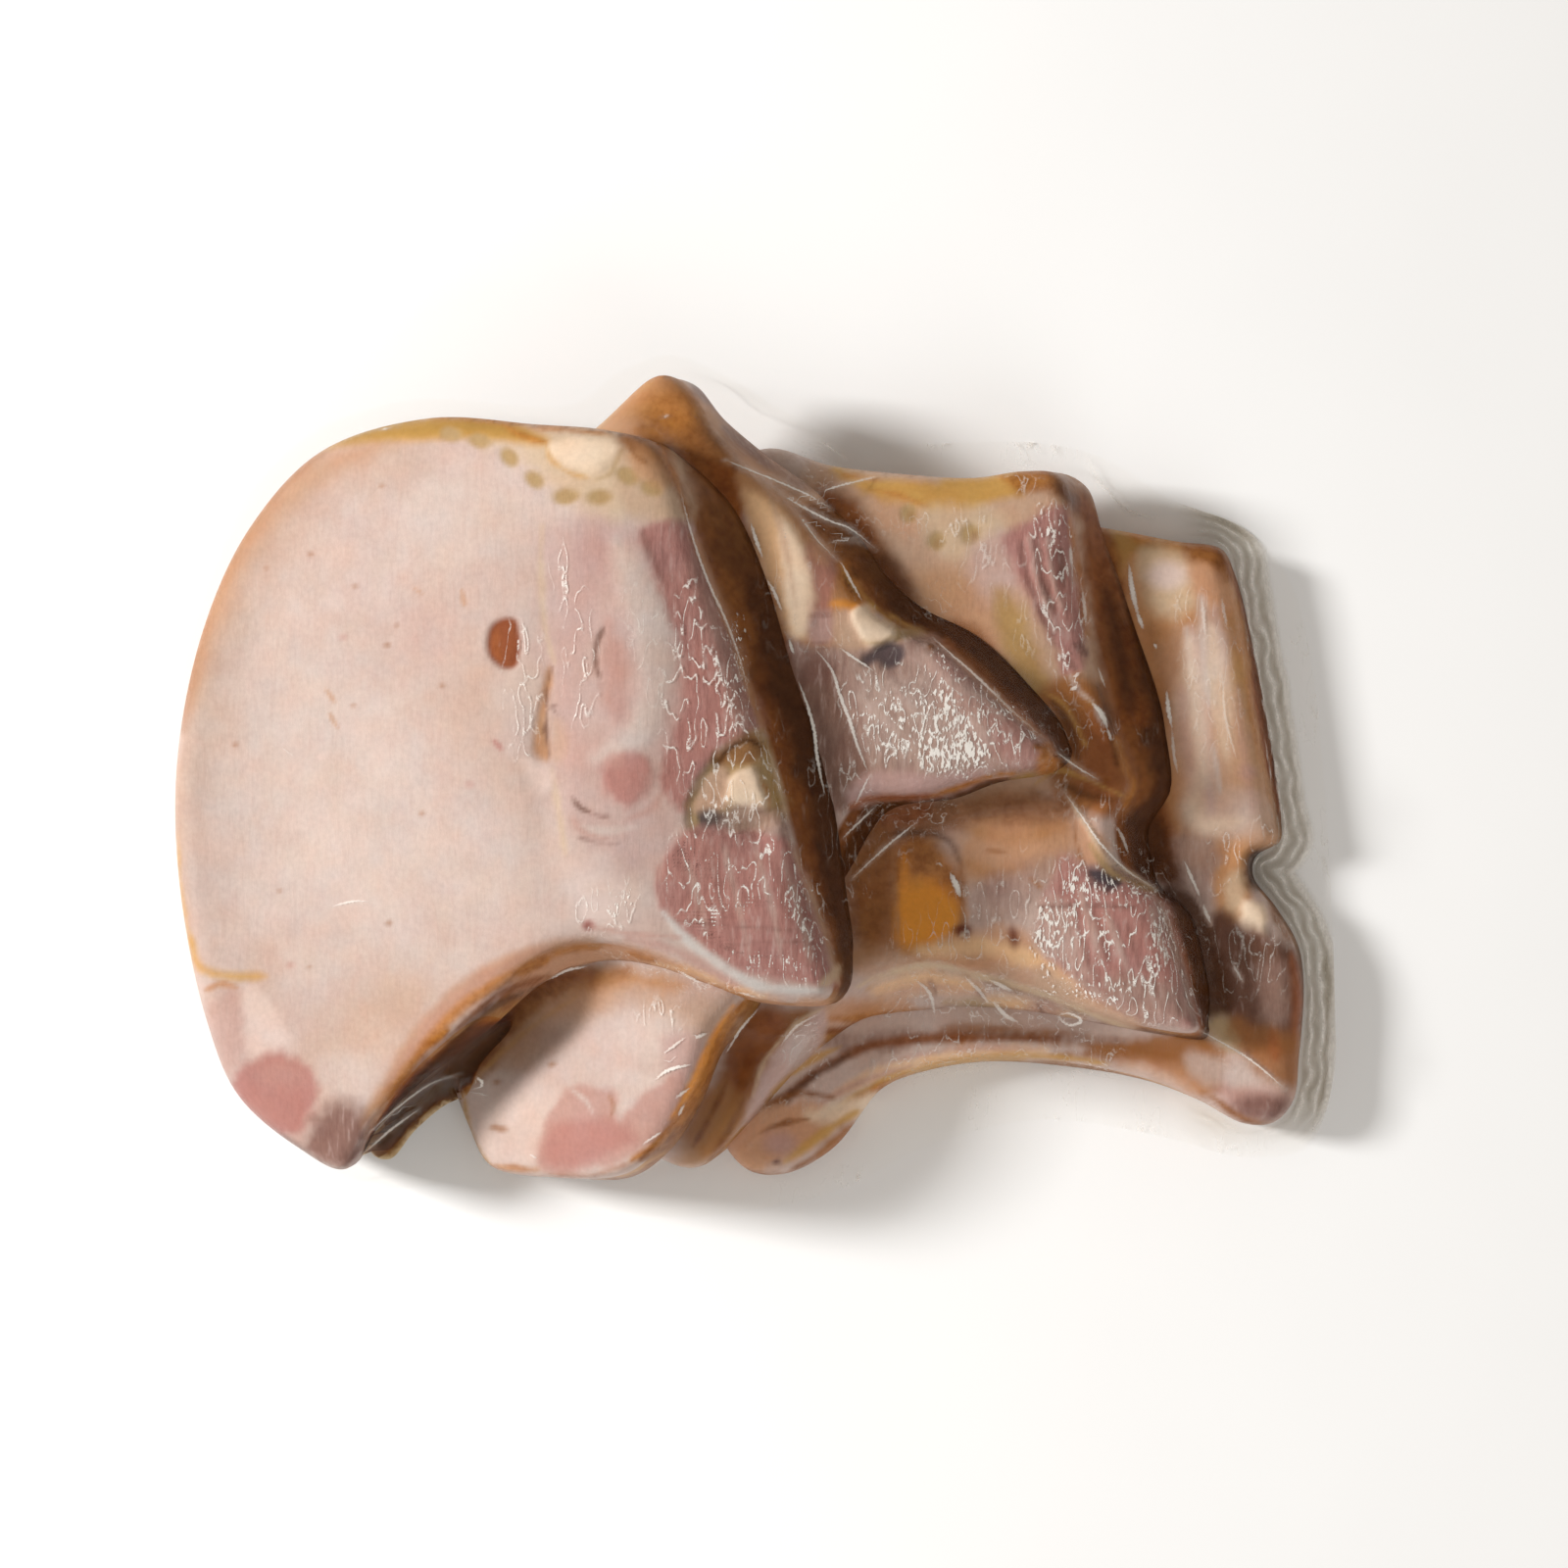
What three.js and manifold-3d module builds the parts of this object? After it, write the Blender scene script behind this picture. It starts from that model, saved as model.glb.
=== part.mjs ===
// Smoked pork chops, sealed tightly in a clear vacuum pack that lies flat.
// Millimetres. +X runs along the fan of chops, +Y to their fat edge and +Z up.
// The origin is the middle of the pack's footprint, on the surface it lies on.
import * as THREE from "three";
import { ConvexGeometry } from "three/addons/geometries/ConvexGeometry.js";
import { mergeVertices } from "three/addons/utils/BufferGeometryUtils.js";
import Module from "manifold-3d";

// Driving dimensions.
const SLICE = 13; // thickness of one chop
const STACK = 50; // height of the upper face where all the chops overlap
const LIP = 0.8; // height of the film margin pressed flat round the meat
const SPREAD = 2.5; // how far the film runs out where it comes down to the margin
const AROUND = 96; // steps round a chop
const MARGIN_STEPS = 120; // steps round the film margin
const VEIN_HOLE = { x: -46.4, y: 25.8, wide: 6, tall: 9, deep: 1.8 };

const { smoothstep } = THREE.MathUtils;

// A soft round swelling, or with a negative height a hollow, in a chop's face.
const swell = (x, y, wide, tall, height) => (px, py) =>
  height * Math.exp(-(((px - x) / wide) ** 2) - ((py - y) / tall) ** 2);

// Each chop: the middle of its face, the height of its face, its swellings, and its rim clockwise
// from the crown. The third number of a rim point is how far the side leans out from there to its
// foot, where the film pulls it down onto the chop below.
const CHOPS = [
  // The first lies on top, and its left end droops to the surface.
  {
    middle: [-45, 5],
    face: (x) => SLICE + (STACK - SLICE) * smoothstep(x, -112, -15),
    swellings: [
      swell(-72, 8, 26, 42, 1.6), // loin eye
      swell(-37, 8, 4, 22, -1.3), // seam beside the eye
      swell(-20, 26, 7, 20, 0.9), // long muscle
      swell(3, -9, 6, 5, -1.6), // spinal canal
      swell(4, -27, 12, 9, 1), // backbone
      swell(-95, -52, 10, 10, 1), // tail of the chop
    ],
    rim: [
      [-16.5, 63.4, 1.1], [-12.5, 56.1, 5.6], [-9.9, 48.3, 9.6], [-5.6, 36.1, 10.7],
      [5.2, 4.4, 10], [11.2, -18.6, 9.3], [14.5, -28.2, 7.8], [16.8, -36.4, 4.1],
      [15.2, -40.3, 2], [2.1, -40.1, 1.9], [-9.4, -35.3, 3.3], [-19.8, -31, 4.1],
      [-29, -29.6, 4.4], [-38.4, -33.1, 4.4], [-48.5, -42.5, 4.4], [-62, -54.2, 4.1],
      [-70.5, -64.3, 2.2], [-77.5, -74.7, 0.4], [-87.6, -70.8, 0.2], [-99.6, -61.2, 0.2],
      [-105.9, -47, 0.2], [-111.4, -20.1, 0.2], [-111.9, 4.8, 0.2], [-106.5, 31.1, 0.2],
      [-97, 50.7, 0.2], [-82.6, 64.7, 0.4], [-60.6, 70, 0.4], [-39.3, 67.8, 0.4],
      [-25.3, 66.2, 0.6],
    ],
  },
  // The second is turned a little.
  {
    middle: [-15, 5],
    face: (x, y) => {
      const body = SLICE + (3 * SLICE - 1 - SLICE) * smoothstep(x, -68, -18);
      const lobe = SLICE + (3 * SLICE - 1 - SLICE) * smoothstep(x, -56, -9);
      const low = smoothstep(-y, 30, 48);
      return body + (lobe - body) * low - 5 * smoothstep(y, 62, 78);
    },
    swellings: [
      swell(10, 30, 5, 22, 1.2), // fat strip
      swell(31, 24, 8, 5, -1.8), // hollow behind the cord
      swell(34, 12, 16, 8, 1.2), // backbone
      swell(-36, -62, 12, 9, 1.2), // lobe
    ],
    rim: [
      [-13.4, 77.8, 0.7], [-9.6, 74.6, 2.6], [-4.5, 65.8, 4.4], [3.1, 57.4, 5.6],
      [10.5, 50.8, 6.3], [18.1, 41.5, 7], [22.4, 34.8, 7.4], [28.3, 30, 7.4],
      [37.2, 25.9, 7.4], [47, 17.2, 8.1], [55.7, 9.3, 6.7], [58.7, 5.2, 4.1],
      [56.1, 2.6, 3.7], [44.6, 0.6, 4.4], [35.3, -2, 5.6], [20.9, -4.1, 6.3],
      [14.6, -14.8, 5.6], [-0.2, -40.6, 4.4], [-4.9, -46.3, 4.8], [-8.8, -56.5, 4.8],
      [-14.7, -66.9, 4.1], [-22.4, -74.4, 1.9], [-37.4, -76.5, 0.4], [-49.9, -75.1, 0.4],
      [-54.6, -67.1, 0.4], [-63.8, -35.2, 0.4], [-68.1, 0, 0.4], [-61, 37.1, 0.4],
      [-46.2, 57.4, 0.4], [-29.5, 67.3, 0.4], [-17.1, 78, 0.4],
    ],
  },
  // The third.
  {
    middle: [20, 5],
    face: (x, y) =>
      SLICE + (SLICE - 0.5) * smoothstep(x, -38, 7)
      - 3.5 * smoothstep(y, 50, 60) * (1 - smoothstep(x, 15, 35))
      - 3.5 * smoothstep(-y, 42, 54) * (1 - smoothstep(x, 15, 35)),
    swellings: [
      swell(28, 38, 14, 18, 0.9), // loin
      swell(56, 36, 5, 16, 0.8), // ridged bone
      swell(66, 3, 6, 12, -2), // dip before the backbone
      swell(70, -30, 12, 12, 1.2), // backbone
      swell(30, -22, 9, 9, -1.5), // pocket of juice
    ],
    rim: [
      [60.3, 60, 1.1], [63.2, 54.7, 5.6], [63.7, 40.9, 9.3], [66.4, 27.3, 10.4],
      [70.9, 10.9, 11.1], [74.3, 0, 8.9], [71.2, -7, 7.8], [72.8, -16.2, 8.5],
      [79.2, -21.9, 8.5], [83, -31.7, 8.1], [86, -42.4, 6.7], [87.5, -47.7, 3.3],
      [77.3, -46.9, 2.6], [66.6, -43.7, 4.8], [46.2, -37, 8.5], [35.8, -35.1, 9.3],
      [25.5, -37.7, 7.8], [18.5, -43.4, 5.6], [7.5, -56.8, 4.1], [-4.2, -70.5, 2.6],
      [-9.9, -75, 0.7], [-19, -72, 0.4], [-28.5, -58.7, 0.4], [-37.7, -11.3, 0.4],
      [-35.8, 18.9, 0.4], [-26.4, 41.5, 0.4], [-11.3, 56.6, 0.4], [3.8, 65.2, 0.7],
      [17, 61.8, 0.7], [43.4, 59.2, 0.7], [53.7, 60.5, 0.7],
    ],
  },
  // The fourth lies flat on the surface.
  {
    middle: [45, -5],
    face: () => SLICE,
    swellings: [
      swell(87, 36, 9, 10, 1), // fat corner
      swell(90, 5, 8, 22, 0.6), // meat
      swell(96, -14, 6, 5, -2), // spinal canal
      swell(104, -38, 5, 20, 0.8), // backbone
    ],
    rim: [
      [93.9, 46, 0.9], [95.6, 40.3, 2.2], [98.7, 22.8, 3], [103.4, -6.7, 3],
      [104, -11.1, 2.2], [99.6, -14, 1.9], [99, -17.8, 1.9], [103.4, -24, 2.2],
      [107.7, -31.1, 2.2], [109.2, -38.4, 1.9], [108.8, -52.7, 1.5], [107.7, -62.3, 1.1],
      [103.8, -66.6, 0.7], [97.7, -66.7, 0.4], [90, -62.5, 0.7], [79.9, -58.3, 1.1],
      [65.1, -55, 1.5], [47.8, -53.7, 1.5], [35.2, -55.8, 1.5], [27.5, -59.1, 1.5],
      [17.1, -71.7, 1.1], [7.5, -76.7, 0.6], [-0.1, -75.6, 0.4], [-7.4, -63.3, 0.4],
      [-11.6, -9.6, 0.4], [-8.8, 17.3, 0.4], [1.8, 36.4, 0.4], [19.1, 48, 0.4],
      [42.1, 52.7, 0.4], [61.3, 51.8, 0.6], [84.3, 47.8, 0.7],
    ],
  },
];

// Outer edge of the film margin, clockwise from the left.
const MARGIN = [
  [-117.4, 0], [-113.5, 25.4], [-107.2, 44.9], [-97.9, 60.1], [-84.2, 71.2], [-66.6, 76.5],
  [-34.4, 75.7], [-26, 81.6], [-15.9, 85.5], [-4.2, 81.2], [7.5, 74.2], [21.2, 68.4],
  [58.3, 67.9], [71, 64.8], [83.7, 57], [99.3, 50.7], [107.9, 41], [112.6, 23.4],
  [116.1, -15.6], [117.2, -45], [117.2, -56.6], [112, -71.8], [99.3, -74.2], [79.8, -69.5],
  [58.3, -66.8], [36.8, -71.8], [17.3, -81.2], [-0.3, -85.1], [-18.8, -85.9], [-54.9, -79.6],
  [-80.3, -80.8], [-93.9, -74.6], [-107.2, -60.9], [-111.5, -44.9], [-116.2, -19.5],
];

// Places where the film is stretched straight from one chop to the next, with air under it.
const WEBS = [
  // from the peak of the second chop down to the crown of the third
  [[-8, 73, 24], [4, 57, 33], [16, 45, 36], [14, 62, 19], [40, 50, 24.5], [4, 71, 2], [22, 64, 4]],
  // from the wing of the second chop onto the third
  [[20, 42, 36], [38, 27, 36.5], [48, 17, 36.5], [36, 44, 24.5], [58, 22, 24.5], [24, 50, 24.5]],
  [[57, 5, 34], [46, 16, 36], [52, 3, 34], [70, 10, 24.5], [68, -2, 23], [62, -8, 24]],
  // across the pocket between the top chop and the third
  [[13, -24, 46], [16, -36, 40], [20, -6, 36], [28, -16, 24], [30, -34, 24], [22, -38, 24]],
  // from the third chop's lower corner to the tip of the fourth
  [[85, -40, 23], [87, -47, 20], [97, -44, 12.5], [98, -58, 12], [84, -56, 12]],
];

const wasm = await Module();
wasm.setup();

// A closed geometry as a solid that can be joined and cut.
function solid(geometry) {
  geometry.deleteAttribute("normal");
  geometry.deleteAttribute("uv");
  const closed = mergeVertices(geometry, 1e-4);
  return new wasm.Manifold(
    new wasm.Mesh({
      numProp: 3,
      vertProperties: new Float32Array(closed.attributes.position.array),
      triVerts: new Uint32Array(closed.index.array),
    }),
  );
}

// A smooth closed line through hand-set points, as evenly spaced steps.
function loop(points, steps) {
  const corners = points.map(([x, y, z = 0]) => new THREE.Vector3(x, y, z));
  const line = new THREE.CatmullRomCurve3(corners, true, "centripetal");
  return line.getSpacedPoints(steps);
}

// Stations of a chop's skin from the middle of its face to the middle of its underside. A face
// station is a share of the way out to the rim. A shoulder station is inside the rim by "inset"
// and below the face by "drop". A side station leans out by a share of the rim point's lean.
const STATIONS = [
  ...[0, 0.18, 0.36, 0.54, 0.72, 0.86].map((share) => ({ share })),
  { inset: 4, drop: 0.4 },
  { inset: 1.8, drop: 1.1 },
  { inset: 0.5, drop: 2.4 },
  { lean: 0.06, drop: 4 },
  { lean: 0.5, drop: 8 },
  { lean: 1, drop: SLICE - 1 },
  { lean: 1, level: 4 },
  { lean: 1, out: SPREAD, level: LIP },
  { lean: 1, out: SPREAD, level: 0 },
  { share: 0, level: 0 },
];

// A chop is a ball whose rings are moved onto its stations. Its sides go down to the surface that
// the pack lies on, because the chops below fill the room under it.
function chopSolid({ middle, face, swellings, rim }) {
  const ball = new THREE.SphereGeometry(1, AROUND, STATIONS.length - 1);
  const edge = loop(rim, AROUND);
  const faceHeight = (x, y) => swellings.reduce((sum, lift) => sum + lift(x, y), face(x, y));
  const [midX, midY] = middle;
  const place = ball.attributes.position;
  for (let i = 0; i < place.count; i += 1) {
    const ring = Math.floor(i / (AROUND + 1));
    const step = AROUND - (i % (AROUND + 1)); // the ball's rings run the other way round
    const { share, inset = 0, drop = 0, lean = 0, out = 0, level } = STATIONS[ring];
    const at = edge[step];
    const reach = Math.hypot(at.x - midX, at.y - midY);
    const radius = share === undefined ? reach - inset + lean * at.z + out : reach * share;
    const x = midX + ((at.x - midX) * radius) / reach;
    const y = midY + ((at.y - midY) * radius) / reach;
    const height = share === undefined ? face(at.x, at.y) - drop : faceHeight(x, y);
    const foot = Math.max(face(at.x, at.y) - (SLICE - 1), LIP + 0.1);
    place.setXYZ(i, x, y, level === undefined ? Math.max(height, LIP + 0.1) : Math.min(level, foot));
  }
  return solid(ball);
}

// The flat film margin, centred on the origin.
function marginSolid() {
  const edge = loop(MARGIN, MARGIN_STEPS).slice(0, MARGIN_STEPS);
  const shape = new THREE.Shape(edge.map(({ x, y }) => new THREE.Vector2(x, y)));
  return solid(new THREE.ExtrudeGeometry(shape, { depth: LIP, bevelEnabled: false }));
}

function webSolid(corners) {
  return solid(new ConvexGeometry(corners.map((corner) => new THREE.Vector3(...corner))));
}

// The small oval hole of a vein, near the seam of the top chop.
function veinHole() {
  const { x, y, wide, tall, deep } = VEIN_HOLE;
  const hole = new THREE.CylinderGeometry(1, 0.8, 2 * deep, 14);
  hole.rotateX(Math.PI / 2).scale(wide / 2, tall / 2, 1).translate(x, y, CHOPS[0].face(x));
  return solid(hole);
}

const pack = [...CHOPS.map(chopSolid), ...WEBS.map(webSolid)]
  .reduce((whole, piece) => whole.add(piece), marginSolid())
  .subtract(veinHole());

const { vertProperties, triVerts } = pack.getMesh();
const skin = new THREE.BufferGeometry();
skin.setAttribute("position", new THREE.BufferAttribute(vertProperties, 3));
skin.setIndex(new THREE.BufferAttribute(triVerts, 1));
skin.computeVertexNormals();
skin.computeBoundingBox();
const centre = skin.boundingBox.getCenter(new THREE.Vector3());
skin.translate(-centre.x, -centre.y, 0);

const sealedPack = new THREE.Mesh(
  skin,
  new THREE.MeshStandardMaterial({ color: 0xcfae9f, roughness: 0.25, metalness: 0 }),
);
sealedPack.name = "sealed_pack";

const group = new THREE.Group();
group.add(sealedPack);

export default group;
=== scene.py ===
"""Smoked pork chops in a clear vacuum pack: the four chops, the juice between them and the film.

Sizes and places are in millimetres here, in the frame's axes, and each mesh is put into metres last.
Marks on the meat and on the film are placed in the picture plane: the level plane at height LEVEL, as
seen from EYE, so that each lies where the eye sees it, whatever the height of the surface there.
"""

import itertools
import math

import bmesh
import bpy
import numpy as np
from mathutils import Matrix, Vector, kdtree


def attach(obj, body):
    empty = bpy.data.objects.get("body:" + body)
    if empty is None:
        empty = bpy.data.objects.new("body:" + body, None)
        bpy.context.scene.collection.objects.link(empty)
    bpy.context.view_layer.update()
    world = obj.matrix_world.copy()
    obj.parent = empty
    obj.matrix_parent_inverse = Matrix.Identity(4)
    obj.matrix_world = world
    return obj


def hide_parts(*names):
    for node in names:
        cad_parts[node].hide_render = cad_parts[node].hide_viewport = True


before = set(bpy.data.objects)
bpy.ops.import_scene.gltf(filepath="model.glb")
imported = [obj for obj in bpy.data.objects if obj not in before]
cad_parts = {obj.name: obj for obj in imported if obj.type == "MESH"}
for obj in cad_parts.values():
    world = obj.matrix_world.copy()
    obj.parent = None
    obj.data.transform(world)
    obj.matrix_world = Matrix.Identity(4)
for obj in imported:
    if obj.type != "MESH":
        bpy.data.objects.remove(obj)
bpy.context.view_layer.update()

MM = 0.001
SLICE = 13.0  # thickness of one chop
STACK = 50.0  # height of the upper face where all the chops overlap
LIP = 0.8  # height of the film margin
EDGE = 0.12  # height of its very edge
SHOULDER = 4.0  # how far a chop's face rounds down at its rim
CHOP_CELL = 0.55  # spacing of the points on a chop's face
FILM_CELL = 0.7  # spacing of the points on the film
JUICE_CELL = 0.9
RIM_STEPS = 420
SIDE_DROPS = np.linspace(SHOULDER, SLICE - 1, 9)[1:]  # rings down a chop's side, from its face
UNDERSIDE_SHARES = (0.975, 0.9, 0.78, 0.6, 0.4, 0.2, 0.04)
FLOOR_GAP = 0.4  # how far the meat stays above the surface
NOTHING = -50.0  # height where there is no meat or film
FILM_REACH = (122, 91)  # half-sizes of the raster for the film
FILM_GAP = 0.3  # how far the film lies off the meat
FILM_ROUNDS = 260
PULL_ON_MEAT = 0.3  # how sharply the film may bend over a hollow, per mm
PULL_BESIDE = 2.5  # the same beside the meat
JUICE_GAP = 0.05
BLUR = 1.3  # how soft the edges of all the marks are
GLINT_REACH = 1.8  # how far from a glint the film knows about it, mm
RIPPLE = 2.2  # from one ripple of the film to the next
RIPPLE_HEIGHT = 0.35
BAND_WIDTH = 20.0  # beside the lowest chop, where the film has ripples
PUDDLE_FADE = 4.0  # how far a puddle thins out to its edge

EYE = (7.5, 0.0, 750.0)  # where the picture is taken from
LEVEL = 25.0  # height at which a picture-plane millimetre is a true one
PICTURE_WIDTH = 301.9  # millimetres across the picture at that height


def smoothstep(value, low, high):
    t = np.clip((value - low) / (high - low), 0.0, 1.0)
    return t * t * (3.0 - 2.0 * t)


def first_height(x, y):
    return SLICE + (STACK - SLICE) * smoothstep(x, -112, -15)


def second_height(x, y):
    rise = 2 * SLICE - 1
    body = SLICE + rise * smoothstep(x, -68, -18)
    lobe = SLICE + rise * smoothstep(x, -56, -9)
    return body + (lobe - body) * smoothstep(-y, 30, 48) - 5 * smoothstep(y, 62, 78)


def third_height(x, y):
    left = 1 - smoothstep(x, 15, 35)
    ends = smoothstep(y, 50, 60) + smoothstep(-y, 42, 54)
    return SLICE + (SLICE - 0.5) * smoothstep(x, -38, 7) - 3.5 * ends * left


def fourth_height(x, y):
    return SLICE + 0.0 * x


# The rims clockwise from the crown: x, y and how far the side leans out to its foot.
FIRST_RIM = [
    (-16.5, 63.4, 1.1), (-12.5, 56.1, 5.6), (-9.9, 48.3, 9.6), (-5.6, 36.1, 10.7),
    (5.2, 4.4, 10), (11.2, -18.6, 9.3), (14.5, -28.2, 7.8), (16.8, -36.4, 4.1),
    (15.2, -40.3, 2), (2.1, -40.1, 1.9), (-9.4, -35.3, 3.3), (-19.8, -31, 4.1),
    (-29, -29.6, 4.4), (-38.4, -33.1, 4.4), (-48.5, -42.5, 4.4), (-62, -54.2, 4.1),
    (-70.5, -64.3, 2.2), (-77.5, -74.7, 0.4), (-87.6, -70.8, 0.2), (-99.6, -61.2, 0.2),
    (-105.9, -47, 0.2), (-111.4, -20.1, 0.2), (-111.9, 4.8, 0.2), (-106.5, 31.1, 0.2),
    (-97, 50.7, 0.2), (-82.6, 64.7, 0.4), (-60.6, 70, 0.4), (-39.3, 67.8, 0.4),
    (-25.3, 66.2, 0.6),
]
SECOND_RIM = [
    (-13.4, 77.8, 0.7), (-9.6, 74.6, 2.6), (-4.5, 65.8, 4.4), (3.1, 57.4, 5.6),
    (10.5, 50.8, 6.3), (18.1, 41.5, 7), (22.4, 34.8, 7.4), (28.3, 30, 7.4),
    (37.2, 25.9, 7.4), (47, 17.2, 8.1), (55.7, 9.3, 6.7), (58.7, 5.2, 4.1),
    (56.1, 2.6, 3.7), (44.6, 0.6, 4.4), (35.3, -2, 5.6), (20.9, -4.1, 6.3),
    (14.6, -14.8, 5.6), (-0.2, -40.6, 4.4), (-4.9, -46.3, 4.8), (-8.8, -56.5, 4.8),
    (-14.7, -66.9, 4.1), (-22.4, -74.4, 1.9), (-37.4, -76.5, 0.4), (-49.9, -75.1, 0.4),
    (-54.6, -67.1, 0.4), (-63.8, -35.2, 0.4), (-68.1, 0, 0.4), (-61, 37.1, 0.4),
    (-46.2, 57.4, 0.4), (-29.5, 67.3, 0.4), (-17.1, 78, 0.4),
]
THIRD_RIM = [
    (60.3, 60, 1.1), (63.2, 54.7, 5.6), (63.7, 40.9, 9.3), (66.4, 27.3, 10.4),
    (70.9, 10.9, 11.1), (74.3, 0, 8.9), (71.2, -7, 7.8), (72.8, -16.2, 8.5),
    (79.2, -21.9, 8.5), (83, -31.7, 8.1), (86, -42.4, 6.7), (87.5, -47.7, 3.3),
    (77.3, -46.9, 2.6), (66.6, -43.7, 4.8), (46.2, -37, 8.5), (35.8, -35.1, 9.3),
    (25.5, -37.7, 7.8), (18.5, -43.4, 5.6), (7.5, -56.8, 4.1), (-4.2, -70.5, 2.6),
    (-9.9, -75, 0.7), (-19, -72, 0.4), (-28.5, -58.7, 0.4), (-37.7, -11.3, 0.4),
    (-35.8, 18.9, 0.4), (-26.4, 41.5, 0.4), (-11.3, 56.6, 0.4), (3.8, 65.2, 0.7),
    (17, 61.8, 0.7), (43.4, 59.2, 0.7), (53.7, 60.5, 0.7),
]
FOURTH_RIM = [
    (93.9, 46, 0.9), (95.6, 40.3, 2.2), (98.7, 22.8, 3), (103.4, -6.7, 3),
    (104, -11.1, 2.2), (99.6, -14, 1.9), (99, -17.8, 1.9), (103.4, -24, 2.2),
    (107.7, -31.1, 2.2), (109.2, -38.4, 1.9), (108.8, -52.7, 1.5), (107.7, -62.3, 1.1),
    (103.8, -66.6, 0.7), (97.7, -66.7, 0.4), (90, -62.5, 0.7), (79.9, -58.3, 1.1),
    (65.1, -55, 1.5), (47.8, -53.7, 1.5), (35.2, -55.8, 1.5), (27.5, -59.1, 1.5),
    (17.1, -71.7, 1.1), (7.5, -76.7, 0.6), (-0.1, -75.6, 0.4), (-7.4, -63.3, 0.4),
    (-11.6, -9.6, 0.4), (-8.8, 17.3, 0.4), (1.8, 36.4, 0.4), (19.1, 48, 0.4),
    (42.1, 52.7, 0.4), (61.3, 51.8, 0.6), (84.3, 47.8, 0.7),
]
# The film margin's outer edge, clockwise from the left.
MARGIN = [
    (-117.4, 0), (-113.5, 25.4), (-107.2, 44.9), (-97.9, 60.1), (-84.2, 71.2), (-66.6, 76.5),
    (-34.4, 75.7), (-26, 81.6), (-15.9, 85.5), (-4.2, 81.2), (7.5, 74.2), (21.2, 68.4),
    (58.3, 67.9), (71, 64.8), (83.7, 57), (99.3, 50.7), (107.9, 41), (112.6, 23.4),
    (116.1, -15.6), (117.2, -45), (117.2, -56.6), (112, -71.8), (99.3, -74.2), (79.8, -69.5),
    (58.3, -66.8), (36.8, -71.8), (17.3, -81.2), (-0.3, -85.1), (-18.8, -85.9), (-54.9, -79.6),
    (-80.3, -80.8), (-93.9, -74.6), (-107.2, -60.9), (-111.5, -44.9), (-116.2, -19.5),
]


# ---------------------------------------------------------------- lines, distances and noise


def smooth_line(points, steps, closed=True):
    """A smooth line through given points, in even steps (a centripetal spline)."""
    p = np.array(points, float)
    if closed:
        before, after, last = np.roll(p, 1, 0), np.roll(p, -1, 0), np.roll(p, -2, 0)
        spans = zip(before, p, after, last)
    else:
        padded = np.vstack([2 * p[0] - p[1], p, 2 * p[-1] - p[-2]])
        spans = zip(padded[:-3], padded[1:-2], padded[2:-1], padded[3:])
    t = np.linspace(0, 1, 14, endpoint=False)[:, None]
    pieces = []
    for a, b, c, d in spans:
        ab, bc, cd = (max(np.linalg.norm(q - r), 1e-6) ** 0.5 for q, r in ((b, a), (c, b), (d, c)))
        start = ((b - a) / ab - (c - a) / (ab + bc) + (c - b) / bc) * bc
        end = ((c - b) / bc - (d - b) / (bc + cd) + (d - c) / cd) * bc
        pieces.append(
            (2 * t**3 - 3 * t**2 + 1) * b
            + (t**3 - 2 * t**2 + t) * start
            + (3 * t**2 - 2 * t**3) * c
            + (t**3 - t**2) * end
        )
    line = np.vstack(pieces + [p[:1] if closed else p[-1:]])
    along = np.concatenate([[0], np.cumsum(np.linalg.norm(np.diff(line, axis=0), axis=1))])
    even = np.linspace(0, along[-1], steps + (not closed), endpoint=not closed)
    return np.column_stack([np.interp(even, along, column) for column in line.T])


def nearest(points, line, closed=True):
    """The distance of points to a line, the nearest place on it (its index and the share beyond it),
    and for a closed line the distance with a minus sign inside it."""
    tree = kdtree.KDTree(len(line))
    for index, (x, y) in enumerate(line[:, :2]):
        tree.insert((x, y, 0), index)
    tree.balance()
    corner = np.array([tree.find((x, y, 0))[1] for x, y in points], int)
    last = len(line) if closed else len(line) - 1
    ends = np.roll(line, -1, 0)[:, :2]
    found = []
    for first in (corner - 1, corner):
        first = first % last if closed else np.clip(first, 0, last - 1)
        start = line[first, :2]
        ahead = ends[first] - start
        offset = points - start
        t = np.clip((offset * ahead).sum(1) / np.maximum((ahead**2).sum(1), 1e-9), 0, 1)
        gap = offset - t[:, None] * ahead
        side = (ahead[:, 0] * gap[:, 1] - ahead[:, 1] * gap[:, 0]) / np.hypot(*ahead.T)
        found.append((np.hypot(*gap.T), first + t, side))
    (near, near_place, near_side), (far, far_place, far_side) = found
    away, place = np.minimum(near, far), np.where(near <= far, near_place, far_place)
    side = np.where(near < far - 1e-6, near_side, far_side + near_side * (near < far + 1e-6))
    turns = np.sign((line[:, 0] * ends[:, 1] - ends[:, 0] * line[:, 1]).sum()) if closed else 1
    return np.where(side * turns > 0, -away, away), place


def at_place(line, place):
    """The values of a closed line at places given by nearest()."""
    index = np.floor(place).astype(int) % len(line)
    share = (place - np.floor(place))[:, None]
    return line[index] * (1 - share) + line[(index + 1) % len(line)] * share


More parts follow.
